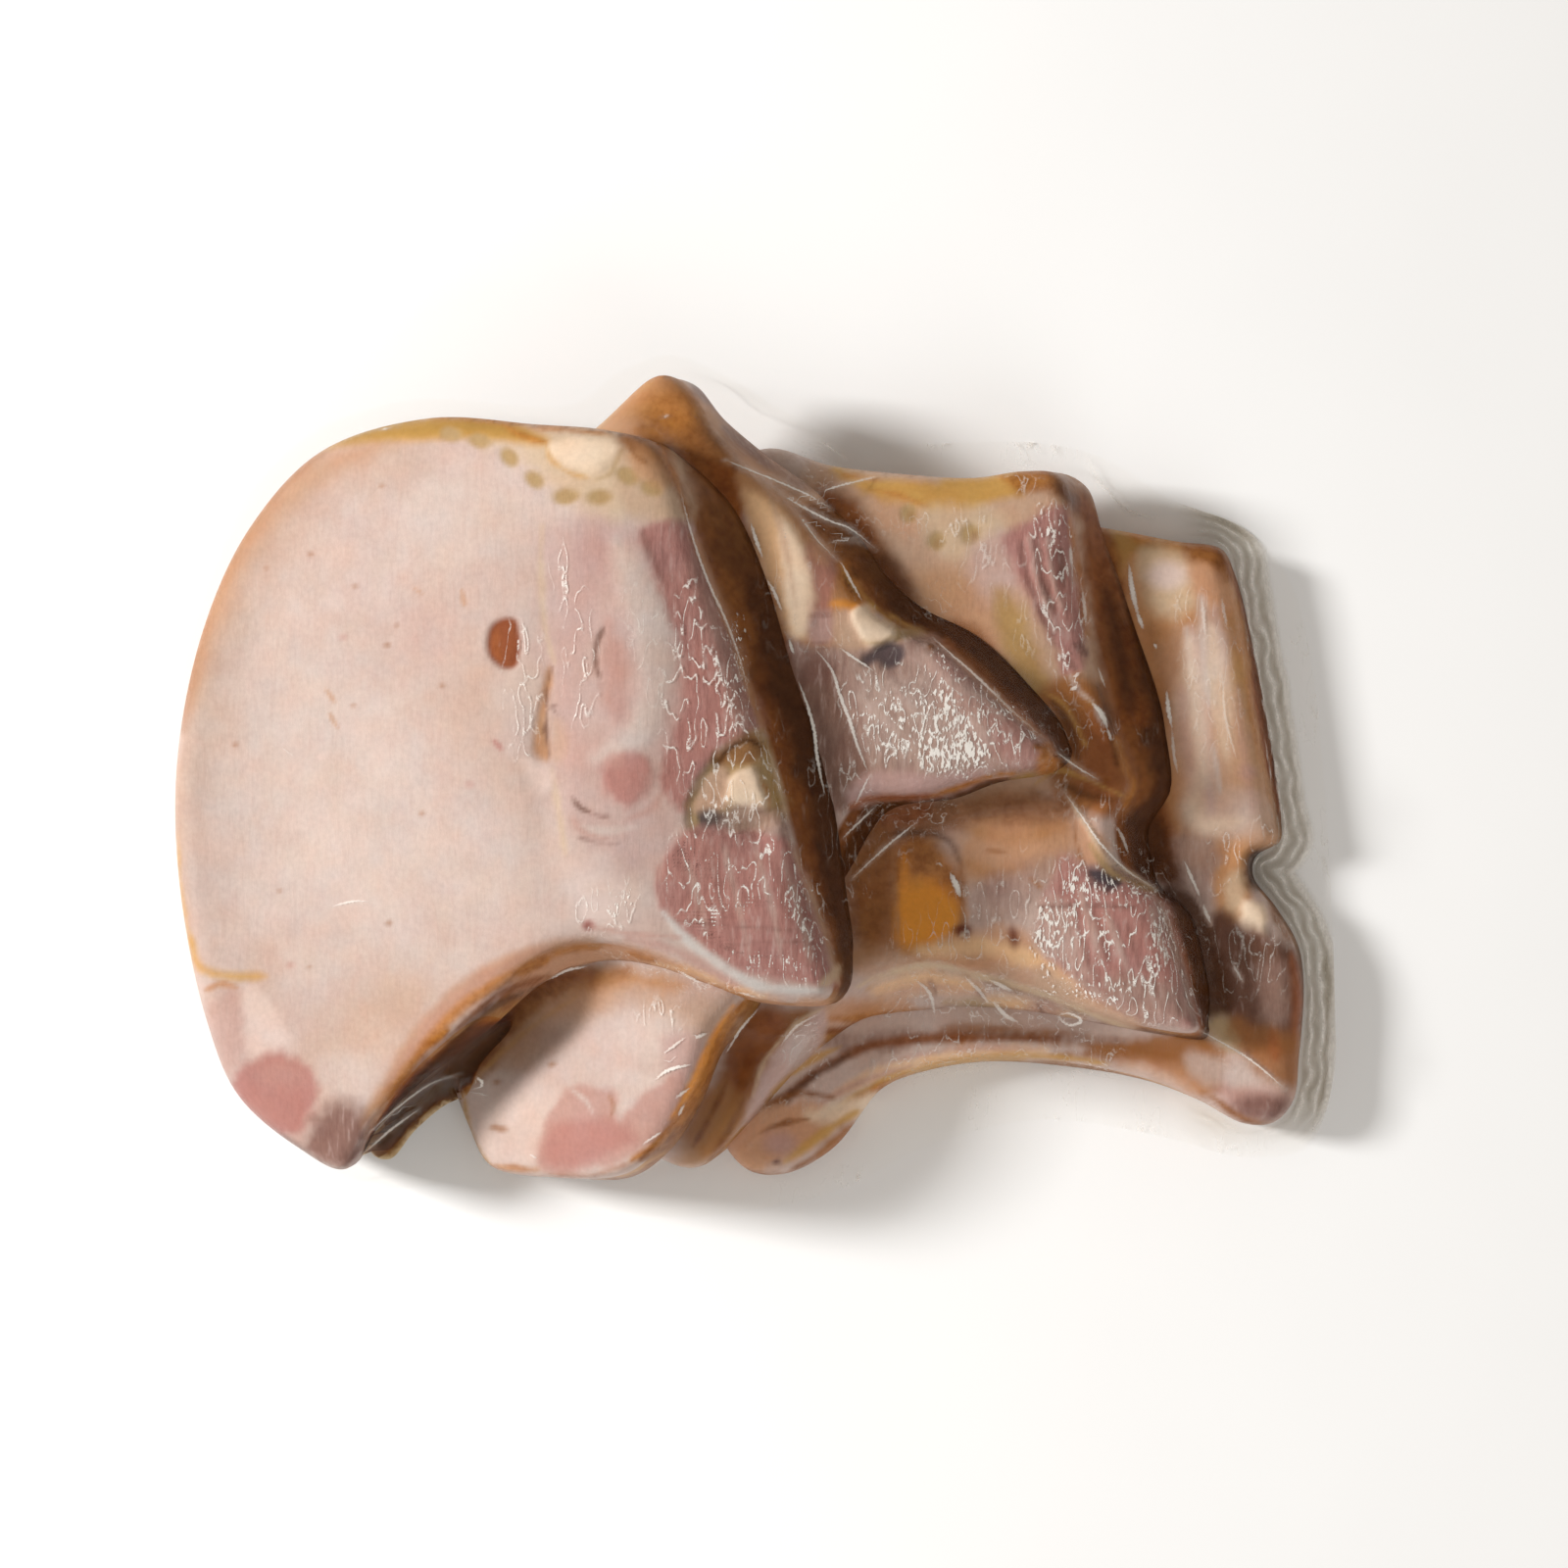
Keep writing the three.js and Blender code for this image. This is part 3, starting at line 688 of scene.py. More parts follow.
def mark_first_muscles(meat):
    """The long muscles beside the bone, with their seams."""
    meat.patch("pink", [(-37.4, 50.2), (-28.3, 49.4), (-18.9, 49.8), (-13.3, 49.1), (-13.3, 37.7),
        (-11, 26.4), (-11.4, 12.3), (-15.1, 0), (-12.1, -6), (-15.1, -14), (-28.3, -13.6),
        (-34.8, -4.9), (-37.4, 3.4), (-38.5, 22.6), (-39.1, 37.7)],
               soft=4.5, share=0.75, ragged=1.5)
    meat.oval("mauve pink", (-29.1, 44.2), (4.5, 6.4), soft=5.7, share=0.75)
    meat.oval("mauve pink", (-31.7, 35.8), (2.6, 7.5), soft=4.5, share=0.5, turn=-10)
    meat.oval("mauve pink", (-34.4, 18.9), (2.6, 11.3), soft=4.9, share=0.4)
    meat.oval("rose", (-30.6, 5.7), (4.9, 4.5), soft=5.7, share=0.35)
    meat.patch("pale loin", [(-25, 47.5), (-19.7, 42.6), (-15.1, 33.4), (-14.4, 18.9), (-18.5, 8.3),
        (-25.7, 4.5), (-30.2, 4.5), (-22.7, 11.3), (-20.4, 20.8), (-21.6, 30.2), (-25, 39.2)], soft=2.6,
        share=0.85, lift=0.25)
    meat.patch("rose", [(-26.8, 31.7), (-23.4, 26.4), (-21.9, 18.9), (-23.4, 12.5), (-26.5, 14),
        (-27.6, 18.9), (-27.6, 26.4)],
               soft=2.3, share=0.8)
    meat.stroke("brown bone", [(-27.2, 30.2), (-28.5, 26.8), (-28.7, 23.4), (-28, 20.4)], 0.8, soft=0.6,
        share=0.7,
                lift=-0.2)
    meat.stroke("dark bone", [(-28.3, 20), (-28, 18.1), (-27.6, 16.6)], 0.5, soft=0.6, share=0.4)
    meat.stroke("cream fat", [(-39.1, 49.8), (-39.3, 41.5), (-38.5, 30.2), (-36.7, 23.4)], 1.1,
        soft=1.1, share=0.6)
    meat.patch("warm tan", [(-37.6, 22.6), (-39.3, 15.8), (-40.6, 7.2), (-39.3, 4.2), (-37.8, 4.5),
        (-38.2, 10.4), (-38.2, 15.3), (-37, 20.8)], soft=0.6, share=0.85, lift=-0.35, ragged=0.4)
    meat.stroke("brown bone", [(-37.2, 22.3), (-38.2, 18.1), (-38.3, 15.1)], 0.6, soft=0.6, share=0.6,
        lift=-0.2)
    meat.stroke("brown bone", [(-38.3, 14.3), (-38.2, 9.1), (-37.4, 4.2)], 0.7, soft=0.6, share=0.75,
        lift=-0.2)
    meat.strokes("brown bone", [[(-37.8, 14.7), (-36.3, 15.1)], [(-36.7, 14), (-34.8, 12.8)]], 0.5,
        soft=0.6,
                 share=0.6)
    meat.patch("tan", [(-37.2, 13.2), (-35.1, 12.1), (-34.6, 6), (-36.7, 4.2)], soft=1.5, share=0.6)
    meat.stroke("cream fat", [(-37.4, 3), (-35.9, -4.9), (-34.6, -13.6)], 1.3, soft=1.1, share=0.6)
    meat.patch("white fat", [(-42.9, 4.5), (-38.5, 4.5), (-37, 0.8), (-38.3, -2.6), (-40.4, -1.1)],
        soft=1.1, lift=0.2)
    meat.oval("red muscle", (-22.7, 1.5), (4.5, 5.1), soft=2.3, share=0.85, lift=0.3, ragged=0.9)
    meat.oval("purple bone", (-20.4, 0), (2.3, 3), soft=2.3, share=0.5)
    meat.oval("rose", (-25.3, 4.5), (1.9, 1.5), soft=2.3, share=0.6)
    meat.stroke("brown bone", [(-33.4, -2.6), (-31.7, -4.5), (-29.9, -5.5)], 0.9, soft=0.6, share=0.8,
        lift=-0.2)
    meat.stroke("dark bone", [(-29.9, -5.5), (-28, -6.2), (-26.1, -6.2)], 0.7, soft=0.6, share=0.6)
    meat.strokes("rose", [[(-33.3, -6.8), (-30.2, -9.4), (-26.1, -10.6)], [(-22.7, -6.8), (-18.2, -4.9),
        (-15.9, -1.9)]],
                 1.3, soft=1.3, share=0.6)
    meat.stroke("dark bone", [(-31.9, -10.2), (-28.3, -11.3), (-24.2, -11.5)], 0.5, soft=0.6, share=0.5)
    meat.stroke("pale loin", [(-32.1, -7.9), (-27.6, -9.1), (-20.8, -8.3)], 1.3, soft=1.1, share=0.8)
    meat.patch("white fat", [(-34, -15.1), (-29.9, -13.6), (-23.8, -15.8), (-20.4, -19.2),
        (-21.2, -24.5), (-26.5, -26.8), (-31, -26.4), (-33.6, -21.1)], soft=5.7, share=0.8, lift=0.2,
        ragged=1.5)
    meat.oval("white fat", (-28, -23.8), (3, 2.6), soft=2.6, share=0.8)
    meat.oval("pink", (-21.2, -15.1), (5.7, 3), soft=4.5, share=0.6)


def mark_first_bones(meat):
    """The sawn spine: a long process, the canal with its cord, and the body with its cartilage."""
    meat.patch("purple bone", [(-20.8, 49.4), (-15.9, 50.6), (-10.4, 49.8), (-6.3, 38.5), (-3.1, 30.2),
        (-0.2, 20.8), (3, 9.8), (-1.6, 8.3), (-5.1, 5.7), (-9.1, 0.4), (-11.6, -5.3), (-14, -3),
        (-16.3, 0.8), (-15.9, 4.5), (-14, 9.1), (-12.7, 13), (-12.1, 18.9), (-12.9, 26.4),
        (-14.8, 33.2), (-18.2, 41.5)], soft=1.3, ragged=1)
    meat.patch("mauve bone", [(-9.9, 45.3), (-5.7, 35.5), (-2.3, 26.4), (1.1, 11.3), (-1.6, 10.2),
        (-4.2, 20.8), (-8.3, 32.1)], soft=3, share=0.6)
    meat.patch("red muscle", [(-13.3, 18.9), (-9.9, 20.8), (-8.3, 11.3), (-10.6, 1.9), (-13.6, -1.1),
        (-14.8, 3.8)],
               soft=3.8, share=0.35)
    meat.stroke("dark bone", [(-20, 48.7), (-18.2, 44.2), (-15.9, 39.6)], 1.7, soft=1.5, share=0.6)
    meat.strokes("dark bone", [[(-16.7, 46.8), (-12.9, 35.8), (-10.6, 22.6)], [(-11.4, 37.7),
        (-8.3, 26.4), (-6.8, 15.1)],
                 [(-5.7, 28.3), (-2.3, 15.1)]], 0.8, soft=1.1, share=0.3)
    meat.stroke("warm tan", [(-10.2, 47.9), (-6.1, 38.5), (-2.7, 29.8), (0.3, 20), (3.3, 10.2)], 1.3,
        soft=0.8,
                share=0.85)
    meat.patch("olive spot", [(-11.4, -3.4), (-9.1, 0.8), (-5.3, 5.7), (-1.2, 8.9), (3, 9.8),
        (5.6, 1.9), (7.5, -6), (3.7, -9.1), (-4.2, -9.8), (-9.9, -8.3)], soft=1.1, lift=-1.0)
    meat.patch("tan", [(-9.9, -4.9), (-8.3, 0), (-4.6, 3.8), (-3.1, 1.9), (-3.1, -2.3), (-4.2, -5.3)],
        soft=1.1)
    # Painted shade in the hollow of the canal.
    meat.patch("dark smoke and shade", [(-6.8, 4.2), (-3.1, 8.1), (1.8, 9.4), (3.7, 6.8), (1.8, 4.2), (-1.9, 3.8)],
               soft=1.1, share=0.6)
    meat.stroke("deep brown shade", [(-6.1, 2.6), (-3.1, 6.8), (1.1, 8.3), (3.7, 6.8)], 0.8, soft=0.6,
        share=0.85)
    meat.patch("marrow", [(-3.1, 1.1), (-1.6, 2.5), (1.5, 3), (2.6, 0.9), (4.3, -3.4), (3.3, -5.1),
        (0, -5.1), (-2.5, -4.2)], soft=0.8, lift=1.1)
    meat.stroke("orange smoke", [(2.6, 1.5), (4.5, -2.3), (4.5, -4.9)], 0.8, soft=0.6, share=0.7)
    meat.stroke("olive fat", [(3.5, 8.7), (5.6, 1.9), (7.7, -6.4)], 2.1, soft=0.9, share=0.7)
    meat.stroke("cream fat", [(4.5, 7.2), (6.4, 0), (8.3, -7.2)], 0.7, soft=0.6, share=0.8, lift=0.3)
    meat.patch("slate", [(-9.1, -6), (-6.8, -5.3), (-3.8, -6), (-3.8, -9.4), (-8.3, -9.4)], soft=0.9,
        share=0.9)
    meat.patch("mauve bone", [(-4.2, -5.3), (7.1, -5.3), (7.9, -10.6), (-3.8, -9.4)], soft=1.5, share=0.8)
    meat.patch("purple bone", [(-16.3, -16.6), (-14, -11.7), (-10.6, -8.7), (-3.8, -8.7), (7.9, -10.6),
        (10, -13.6), (12.6, -22.3), (15, -29.1), (16.6, -33.8), (17.3, -38.5), (5.6, -37.7),
        (-3.8, -34.7), (-9.1, -30.6), (-13.6, -26.4), (-16.5, -22.3)], soft=0.9, ragged=0.7, lift=0.3)
    meat.strokes("dark bone", [[(-13.3, -11.7), (-11.4, -18.9), (-9.1, -26.4)], [(-7.2, -10.9),
        (-4.6, -22.6), (-2.3, -32.1)],
                 [(4.9, -12.5), (7.5, -22.6), (9.8, -34)], [(10.5, -18.9), (13.2, -30.2)]], 1.1, soft=1.5,
                 share=0.35)
    meat.strokes("grey bone", [[(-4.2, -11.3), (-1.9, -20.8), (0.7, -32.1)], [(1.8, -11.7),
        (4.9, -22.6), (7.1, -34.3)],
                 [(7.5, -15.1), (10.5, -24.5), (12.8, -34.7)], [(-11, -15.1), (-7.2, -28.3)]], 1.1,
                     soft=1.1, share=0.6)
    meat.strokes("dark bone", [[(-15.9, -26), (-3.8, -27.2), (10.3, -28.3)], [(-3.4, -31.3),
        (7.5, -30.2), (15, -31.3)]],
                 0.4, soft=0.6, share=0.5)
    meat.stroke("purple bone", [(-16.7, -15.8), (-17, -19.8), (-15.9, -23.8)], 1.1, soft=0.8, share=0.9)
    meat.stroke("tan", [(8.6, -10.9), (12.4, -20.4), (15.6, -29.1), (18.1, -38.5)], 1.3, soft=0.8,
        share=0.8)
    meat.stroke("cartilage", [(-15.9, -24.5), (-12.1, -29.1), (-8.3, -32.1), (-3.4, -35.8),
        (1.5, -38.5), (7.5, -39.6), (15, -39.8)], 1.7, soft=0.8, share=0.85, lift=0.2)
    meat.stroke("cream fat", [(14.7, -38.5), (16.9, -37), (18.1, -35.1)], 2.3, soft=1.1, share=0.8)


def mark_first_cavity(meat):
    """The orange edge of the belly side, from the backbone to the tail."""
    meat.patch("peach", [(-45.3, -39.6), (-39.5, -34.2), (-33.8, -31.3), (-28.7, -30.9), (-22.5, -31.3),
        (-13.3, -34), (-6.5, -37.2), (-0.8, -39.8), (5.6, -41.7), (16.6, -41.5), (16.2, -43.8),
        (3.7, -43.4), (-5.7, -40.8), (-11.7, -38.3), (-18.5, -36.2), (-25.5, -35.5), (-31.7, -35.8),
        (-37.8, -38.1), (-43.4, -41.5)], soft=1.1)
    # Painted light: a lighter warm line along the cavity edge, which lies in shade.
    meat.stroke("honey painted light", [(-18.2, -34.7), (-11.4, -35.8), (-3.8, -38.9), (3.7, -41.1)], 1.5, soft=1.1,
        share=0.7)
    meat.stroke("warm tan", [(-74, -66), (-67.6, -56.2), (-62.3, -47.9), (-55.1, -40.8), (-48, -35.8),
        (-39.3, -32.5), (-29.5, -30.2)], 3.4, soft=2.3, share=0.8)
    meat.stroke("orange smoke", [(-72.9, -67.9), (-66.1, -57.4), (-60.8, -49.1), (-54, -42.3),
        (-46.8, -37.4), (-38.5, -34)], 1.3, soft=1.1, share=0.8)
    meat.strokes("brown smoke", [[(-68.3, -60.4), (-64.2, -54), (-59.3, -48.3)], [(-52.9, -42.3),
        (-45.3, -37.7)]],
                 1.1, soft=0.9, share=0.7)
    meat.stroke("rose", [(-22.7, -29.8), (-13.3, -32.1), (-6.8, -35.8), (-1.6, -38.9)], 1.9, soft=1.5,
        share=0.7)
    meat.strokes("orange smoke", [[(-36.7, -32.8), (-32.1, -31.5), (-28, -31.7)], [(-22.7, -32.5),
        (-17.4, -34)]],
                 1.3, soft=0.9, share=0.85)
    meat.stroke("cream fat", [(-38.5, -37.7), (-31.7, -35.5), (-25, -35.3), (-18.2, -36),
        (-11.4, -38.3), (-3.8, -41.1), (5.6, -43.2)], 0.7, soft=0.6, share=0.9, lift=0.4)
    # Painted shade below the cavity edge.
    meat.stroke("dark smoke and shade", [(-37.8, -39.6), (-31, -37.4), (-22.7, -37), (-14.4, -38.9),
        (-3.8, -42.6)], 1.1,
                soft=1.1, share=0.7)
    meat.strokes("orange smoke", [[(-11.4, -37), (-5.7, -39.2), (0.7, -41.1)]], 0.8, soft=0.8, share=0.6)
    meat.oval("red muscle", (-30.2, -27.2), (1.3, 1.1), soft=0.8, share=0.95)
    meat.oval("blood", (-30.2, -27.4), (0.6, 0.6), soft=0.6, share=0.6)
    meat.stroke("rose", [(-29.9, -27.5), (-22.5, -28.7), (-12.3, -29.6)], 0.8, soft=0.8, share=0.7)


def mark_first_tail(meat):
    """The narrow end at the lower left, with its small muscles and its smoked edge."""
    meat.oval("tan", (-69.9, -45.3), (13.2, 7.5), soft=11.3, share=0.4, turn=30, ragged=2)
    meat.patch("rose", [(-103.4, -42.3), (-98.2, -40), (-96.3, -43.4), (-97, -52.8), (-99.7, -56.6),
        (-103.1, -49.8)],
               soft=2.6, share=0.55, ragged=1.2)
    meat.patch("white fat", [(-96.7, -38.5), (-92.5, -40), (-88.3, -49.4), (-94, -52.5)], soft=1.5,
        share=0.75)
    meat.patch("red muscle", [(-97, -54.7), (-89.5, -51.5), (-83.4, -56.2), (-82.7, -61.9),
        (-85.7, -67.9), (-89.9, -67.9), (-98.5, -61.1)], soft=1.9, share=0.95, ragged=1.2)
    meat.oval("rose", (-89.5, -55.8), (4.9, 2.6), soft=3.8, share=0.4)
    meat.patch("dark bone", [(-81.2, -62.3), (-76.5, -60), (-73.6, -63.8), (-72.5, -70.2),
        (-76.3, -74.3), (-81.2, -73.2), (-85.3, -70.6)], soft=2.6, share=0.85, ragged=1.2)
    meat.patch("pale loin", [(-81.9, -53.2), (-72.1, -52.1), (-71, -58.5), (-79.3, -61.1)], soft=3.8,
        share=0.6)
    meat.stroke("dark bone", [(-91.4, -67.2), (-88, -68.7), (-84.2, -70.9)], 1.3, soft=1.1, share=0.7)
    meat.stroke("yellow fat", [(-106.8, -29.8), (-105, -35.1), (-99.3, -37), (-92.5, -37)], 1.9,
        soft=1.5, share=0.8)
    meat.strokes("orange smoke", [[(-103.8, -39.6), (-100.8, -38.5), (-97.8, -39.2)], [(-102.3, -54.3),
        (-100, -58.5), (-95.9, -63.8)]], 1.1, soft=0.9, share=0.6)
    meat.stroke("rose", [(-37.8, -31.3), (-45.3, -34.7), (-52.9, -39.2), (-58.9, -44.5), (-64.2, -51.3),
        (-68.7, -58.1)],
                3.4, soft=2.6, share=0.5)
    meat.stroke("orange smoke", [(-35.5, -31.7), (-41, -34.7), (-48, -38.5), (-54.4, -43),
        (-58.9, -47.5), (-63.1, -52.5), (-67.2, -57.7), (-70.6, -62.6)], 2.5, soft=1.3, share=0.6)
    meat.strokes("orange smoke", [[(-43.8, -36.6), (-40.4, -34.7), (-37.8, -33.6)], [(-61.2, -50.6),
        (-57, -47.2)],
                 [(-68.3, -60.8), (-65.7, -57.4), (-62.3, -55.1)]], 1.9, soft=0.9)
    # Painted shade under the cavity edge of the tail.
    meat.strokes("dark smoke and shade", [[(-37.8, -37), (-45.3, -39.6), (-52.1, -44.2), (-58.2, -50.2)],
        [(-58.5, -50.2), (-66.1, -58.5), (-73.3, -70.2)]], 1.3, soft=0.9, share=0.85)
    meat.stroke("deep brown shade", [(-38.5, -38.5), (-49.1, -43.4), (-58.5, -52.5), (-67.2, -61.5),
        (-72.9, -70.2)], 1.5,
                soft=1.1, share=0.8)


def mark_second(meat):
    mark_second_wing(meat)
    mark_second_bone(meat)
    mark_second_lobe(meat)


def mark_second_wing(meat):
    """What shows above and beside the top chop: the crown, the band of painted shade beside its edge and
    the fat strip.
    """
    meat.patch("warm tan", [(-31, 67.9), (-22.7, 76.2), (-15.9, 80), (-10.2, 79.6), (-1.9, 73.6),
        (7.5, 65.7), (16.9, 56.6), (7.5, 52.8), (0, 56.6), (-11.4, 62.3)], soft=1.9)
    meat.patch("brown smoke", [(-20.8, 69.4), (-11.4, 70.9), (-3.4, 65.7), (0, 58.5), (-7.6, 56.6),
        (-15.1, 61.1)],
               soft=3.4, share=0.8)
    meat.oval("orange smoke", (-13.6, 72.1), (6.4, 4.2), soft=4.2, share=0.7)
    meat.stroke("yellow fat", [(-29.1, 68.7), (-23.4, 75.1), (-18.2, 78.1)], 1.9, soft=1.5, share=0.7)
    meat.stroke("orange smoke", [(-24.6, 73.2), (-18.2, 78.1), (-13.3, 78.9)], 0.9, soft=0.8, share=0.8)
    meat.strokes("dark bone", [[(-11.4, 78.5), (-8.7, 75.8), (-5, 72.1)], [(-4.2, 68.7), (0.7, 64.5),
        (5.6, 60.4)]],
                 2.1, soft=1.5, share=0.8)
    meat.patch("mauve bone", [(-7.6, 75.5), (-3.1, 73.2), (5.6, 65.7), (14.3, 57.7), (10.3, 55.8),
        (4.9, 60.8), (-3.1, 67.9)], soft=1.5, share=0.7)
    meat.stroke("olive fat", [(-5.3, 75.8), (-1.6, 73.6), (3, 67.2), (8.6, 63), (16.2, 61.1)], 1.7,
        soft=1.1,
                share=0.9)
    # Painted shade: the dark band beside the top chop's edge, brown at its upper end and darkest in its
    # lower part.
    meat.patch("dark smoke and shade", [(-18.2, 62.3), (-2.3, 60.4), (0.7, 49.8), (3.3, 42.3), (7.1, 33.6),
        (8.6, 27.5), (13, 12.3), (15.6, -2.3), (17.3, -11.7), (5.6, -11.3), (-3.8, 15.1),
        (-11.4, 39.6)], soft=1.7)
    meat.stroke("brown smoke", [(-11.4, 67.9), (-7.2, 56.6), (-3.1, 43.4), (1.1, 30.2)], 4.5, soft=3.8,
        share=0.7)
    meat.stroke("olive fat", [(2.2, 39.6), (5.2, 32.1), (6.7, 26.4)], 1.5, soft=1.5, share=0.35)
    meat.patch("deep brown shade", [(-3.4, 35.8), (5.6, 30.2), (8.6, 24.5), (13, 11.3), (15.6, -2.3),
        (16.9, -11.3), (7.5, -11.3), (1.8, 15.1)], soft=2.6, share=0.85)
    meat.patch("rust smoke", [(5.2, 2.6), (7.9, 3.8), (9.8, 0), (9, -4.5), (6.4, -3)], soft=1.9,
               share=0.6)
    meat.patch("warm tan", [(-1.6, 59.6), (3, 59.6), (6.9, 55.8), (10.9, 52.1), (13.9, 47.9),
        (16.9, 45.3), (20.3, 40), (22.6, 36.6), (22.6, 26.4), (16.9, 25.7), (9.8, 27.2), (7.1, 33.6),
        (3.5, 42.3), (0.9, 50.2)], soft=1.1, ragged=0.7)
    # Painted light: this strip lies in the top chop's shadow and is painted lighter.
    meat.patch("honey painted light", [(0.3, 56.6), (5.6, 54.7), (9.8, 45.3), (12.4, 30.2), (9, 28.3), (5.6, 37.7),
        (2.6, 45.3)], soft=2.3, share=0.9)
    meat.patch("marrow", [(7.1, 51.7), (9.8, 49.1), (12.8, 43), (13.7, 35.5), (12, 29.1), (9.4, 28.3),
        (7.5, 37)], soft=1.3, share=0.9, lift=0.3)
    meat.stroke("tan", [(4.5, 56.6), (7.9, 45.3), (9.8, 34)], 0.9, soft=1.1, share=0.7)
    meat.patch("red muscle", [(12, 46), (15, 45.3), (18.3, 41.9), (17.3, 37.4), (16.2, 32.8),
        (13, 31.3), (13.5, 37.7)], soft=1.1, share=0.75)
    meat.patch("peach", [(12.4, 47.9), (15.4, 46), (16.2, 42.3), (13.5, 43)], soft=1.5, share=0.8)
    meat.patch("mauve pink", [(12.2, 32.1), (17.7, 32.5), (18.1, 27.9), (13.5, 27.2)], soft=0.9,
        share=0.9)
    meat.strokes("dark bone", [[(12.4, 32.5), (18.4, 32.5)], [(12.8, 27), (18.8, 26.8)], [(13.2, 26),
        (18.4, 25.8)]], 0.5, soft=0.4, share=0.7)
    meat.patch("orange smoke", [(17.7, 43.2), (20, 43), (22.2, 38.5), (23.7, 35.1), (21.5, 34),
        (19.2, 36.6), (17.7, 40)], soft=1.1, share=0.85)
    meat.stroke("amber", [(16.9, 34.7), (20.3, 34.3), (24.5, 33.2)], 2.3, soft=1.5, share=0.8)
    # Painted shade in the small pit by the edge.
    meat.strokes("deep brown shade", [[(19.2, 40), (21.1, 37)], [(20, 41.9), (21.5, 39.6)]], 0.9, soft=0.8,
                 share=0.7)
    meat.stroke("yellow fat", [(18.1, 43.2), (19.6, 40), (22.6, 36.2), (27.5, 32.5), (33.5, 29.2)], 0.8,
        soft=0.6,
                share=0.9, lift=0.4)
    meat.patch("tan", [(17.5, 32.8), (20.3, 33.6), (23.3, 28.3), (24.9, 26), (22.6, 24.9),
        (18.1, 25.7)], soft=1.1)
    meat.patch("olive spot", [(26.4, 31.3), (30.5, 30.2), (35.4, 28.7), (32, 27.2), (28.6, 27.5)],
        soft=0.9)
    meat.patch("marrow", [(20.5, 33.2), (23.3, 34.5), (25.4, 32.1), (28.6, 30.2), (29.2, 28.7),
        (27.1, 27.2), (24.9, 26.2), (22.4, 28.1), (20.9, 30.9)], soft=0, lift=1.0, ragged=0.3)
    meat.stroke("olive spot", [(28.6, 28.7), (26.4, 27.2), (22.6, 27.5)], 0.9, soft=0.8, share=0.7)


def mark_second_bone(meat):
    """The sawn backbone of the second chop, with its dark vein."""
    meat.patch("mauve bone", [(8.6, 27.5), (13.2, 26.4), (18.8, 25.7), (24.5, 25.7), (29, 27.2),
        (32.8, 28.7), (36.2, 28.5), (38.8, 25.7), (44.7, 20.4), (51.8, 13.6), (58.1, 8.3), (60, 3.8),
        (56.9, 1.3), (46, 0.9), (36.9, -2.3), (26.4, -3), (16.9, -5.3), (15.6, -2.3), (13, 12.3),
        (10.1, 20.4)],
               soft=0.9, ragged=0.7, lift=0.2)
    meat.patch("purple bone", [(37.7, 25.7), (45.2, 18.9), (54.7, 10.6), (58.4, 5.7), (52.8, 3),
        (45.2, 7.5), (37.7, 17)], soft=4.2, share=0.65)
    meat.patch("grey bone", [(22.6, 18.9), (37.7, 20.8), (47.1, 13.2), (45.2, 3.8), (32, 3.8),
        (24.5, 9.4)],
               soft=6.4, share=0.5)
    meat.patch("brown bone", [(10, 20.8), (13.9, 25.3), (16.9, 21.5), (20.3, 12.1), (23.7, 2.3),
        (21.1, -4.5), (16.7, -5.3), (15.4, 0), (13.2, 10.6)], soft=1.7, share=0.62)
    meat.patch("dark bone", [(8.6, 27.2), (14.3, 25.7), (16.9, 21.9), (12.8, 18.9), (9.8, 21.9)],
        soft=2.3,
               share=0.6)
    meat.patch("mauve pink", [(21.8, 1.5), (28.3, 2.6), (37.7, 1.5), (47.5, 3), (46, 0.8), (36.9, -2.3),
        (26.4, -2.8), (20, -4.2)], soft=1.3, share=0.85)
    meat.patch("slate", [(24.5, 26), (26.4, 27.2), (29, 27.2), (30.5, 25.7), (29.4, 23), (27.1, 22.3),
        (25.6, 23.4), (23.3, 23), (22.6, 24.2)], soft=0.4, share=0.9, lift=-0.4, ragged=0.5)
    meat.strokes("grey bone", [[(21.7, 17.4), (27.3, 12.1), (33.2, 7.2)], [(27.9, 20.8), (30.9, 15.8),
        (33.9, 13.2)],
                 [(34.7, 24.9), (40.7, 18.9), (47.1, 15.8), (49.8, 12.5)], [(43.3, 13.2), (47.1, 7.5)]],
                 1.7, soft=1.5, share=0.5, lift=0.15)
    meat.strokes("dark bone", [[(26.4, 15.1), (32, 10.6)], [(42.2, 10.9), (45.2, 7.2)], [(33.9, 18.9),
        (38.4, 14)], [(20, 18.9), (22.6, 10.6)]], 0.9, soft=1.1, share=0.4)
    meat.stroke("peach", [(37.7, 27.2), (44.7, 20.8), (52, 13.6), (57.7, 8.7)], 0.9, soft=0.8, share=0.8)
    meat.spots("brown smoke", [(35.8, 26.4), (56.2, 7.2), (49.2, 1.9), (40.3, -1.1)], (0.6, 0.5),
        soft=0.6)
    meat.stroke("rust smoke", [(20, -4.5), (23.3, -3), (28.6, -2.6), (33.9, -2.5), (37.7, -2.3)], 1.3,
        soft=0.8,
                share=0.9)
    meat.stroke("orange smoke", [(35.8, -2.3), (40.7, -0.8), (46, 1.1), (52, 2.1)], 0.9, soft=0.8)
    meat.patch("olive fat", [(50.9, 1.5), (56.9, 1.9), (58.1, -1.1), (53.5, -2.6), (50.9, -1.1)],
        soft=1.1)
    meat.patch("orange smoke", [(56.2, 2.6), (57.7, 7.5), (60, 5.3), (60.3, 1.5), (57.7, 0.4)],
               soft=1.1, share=0.9)


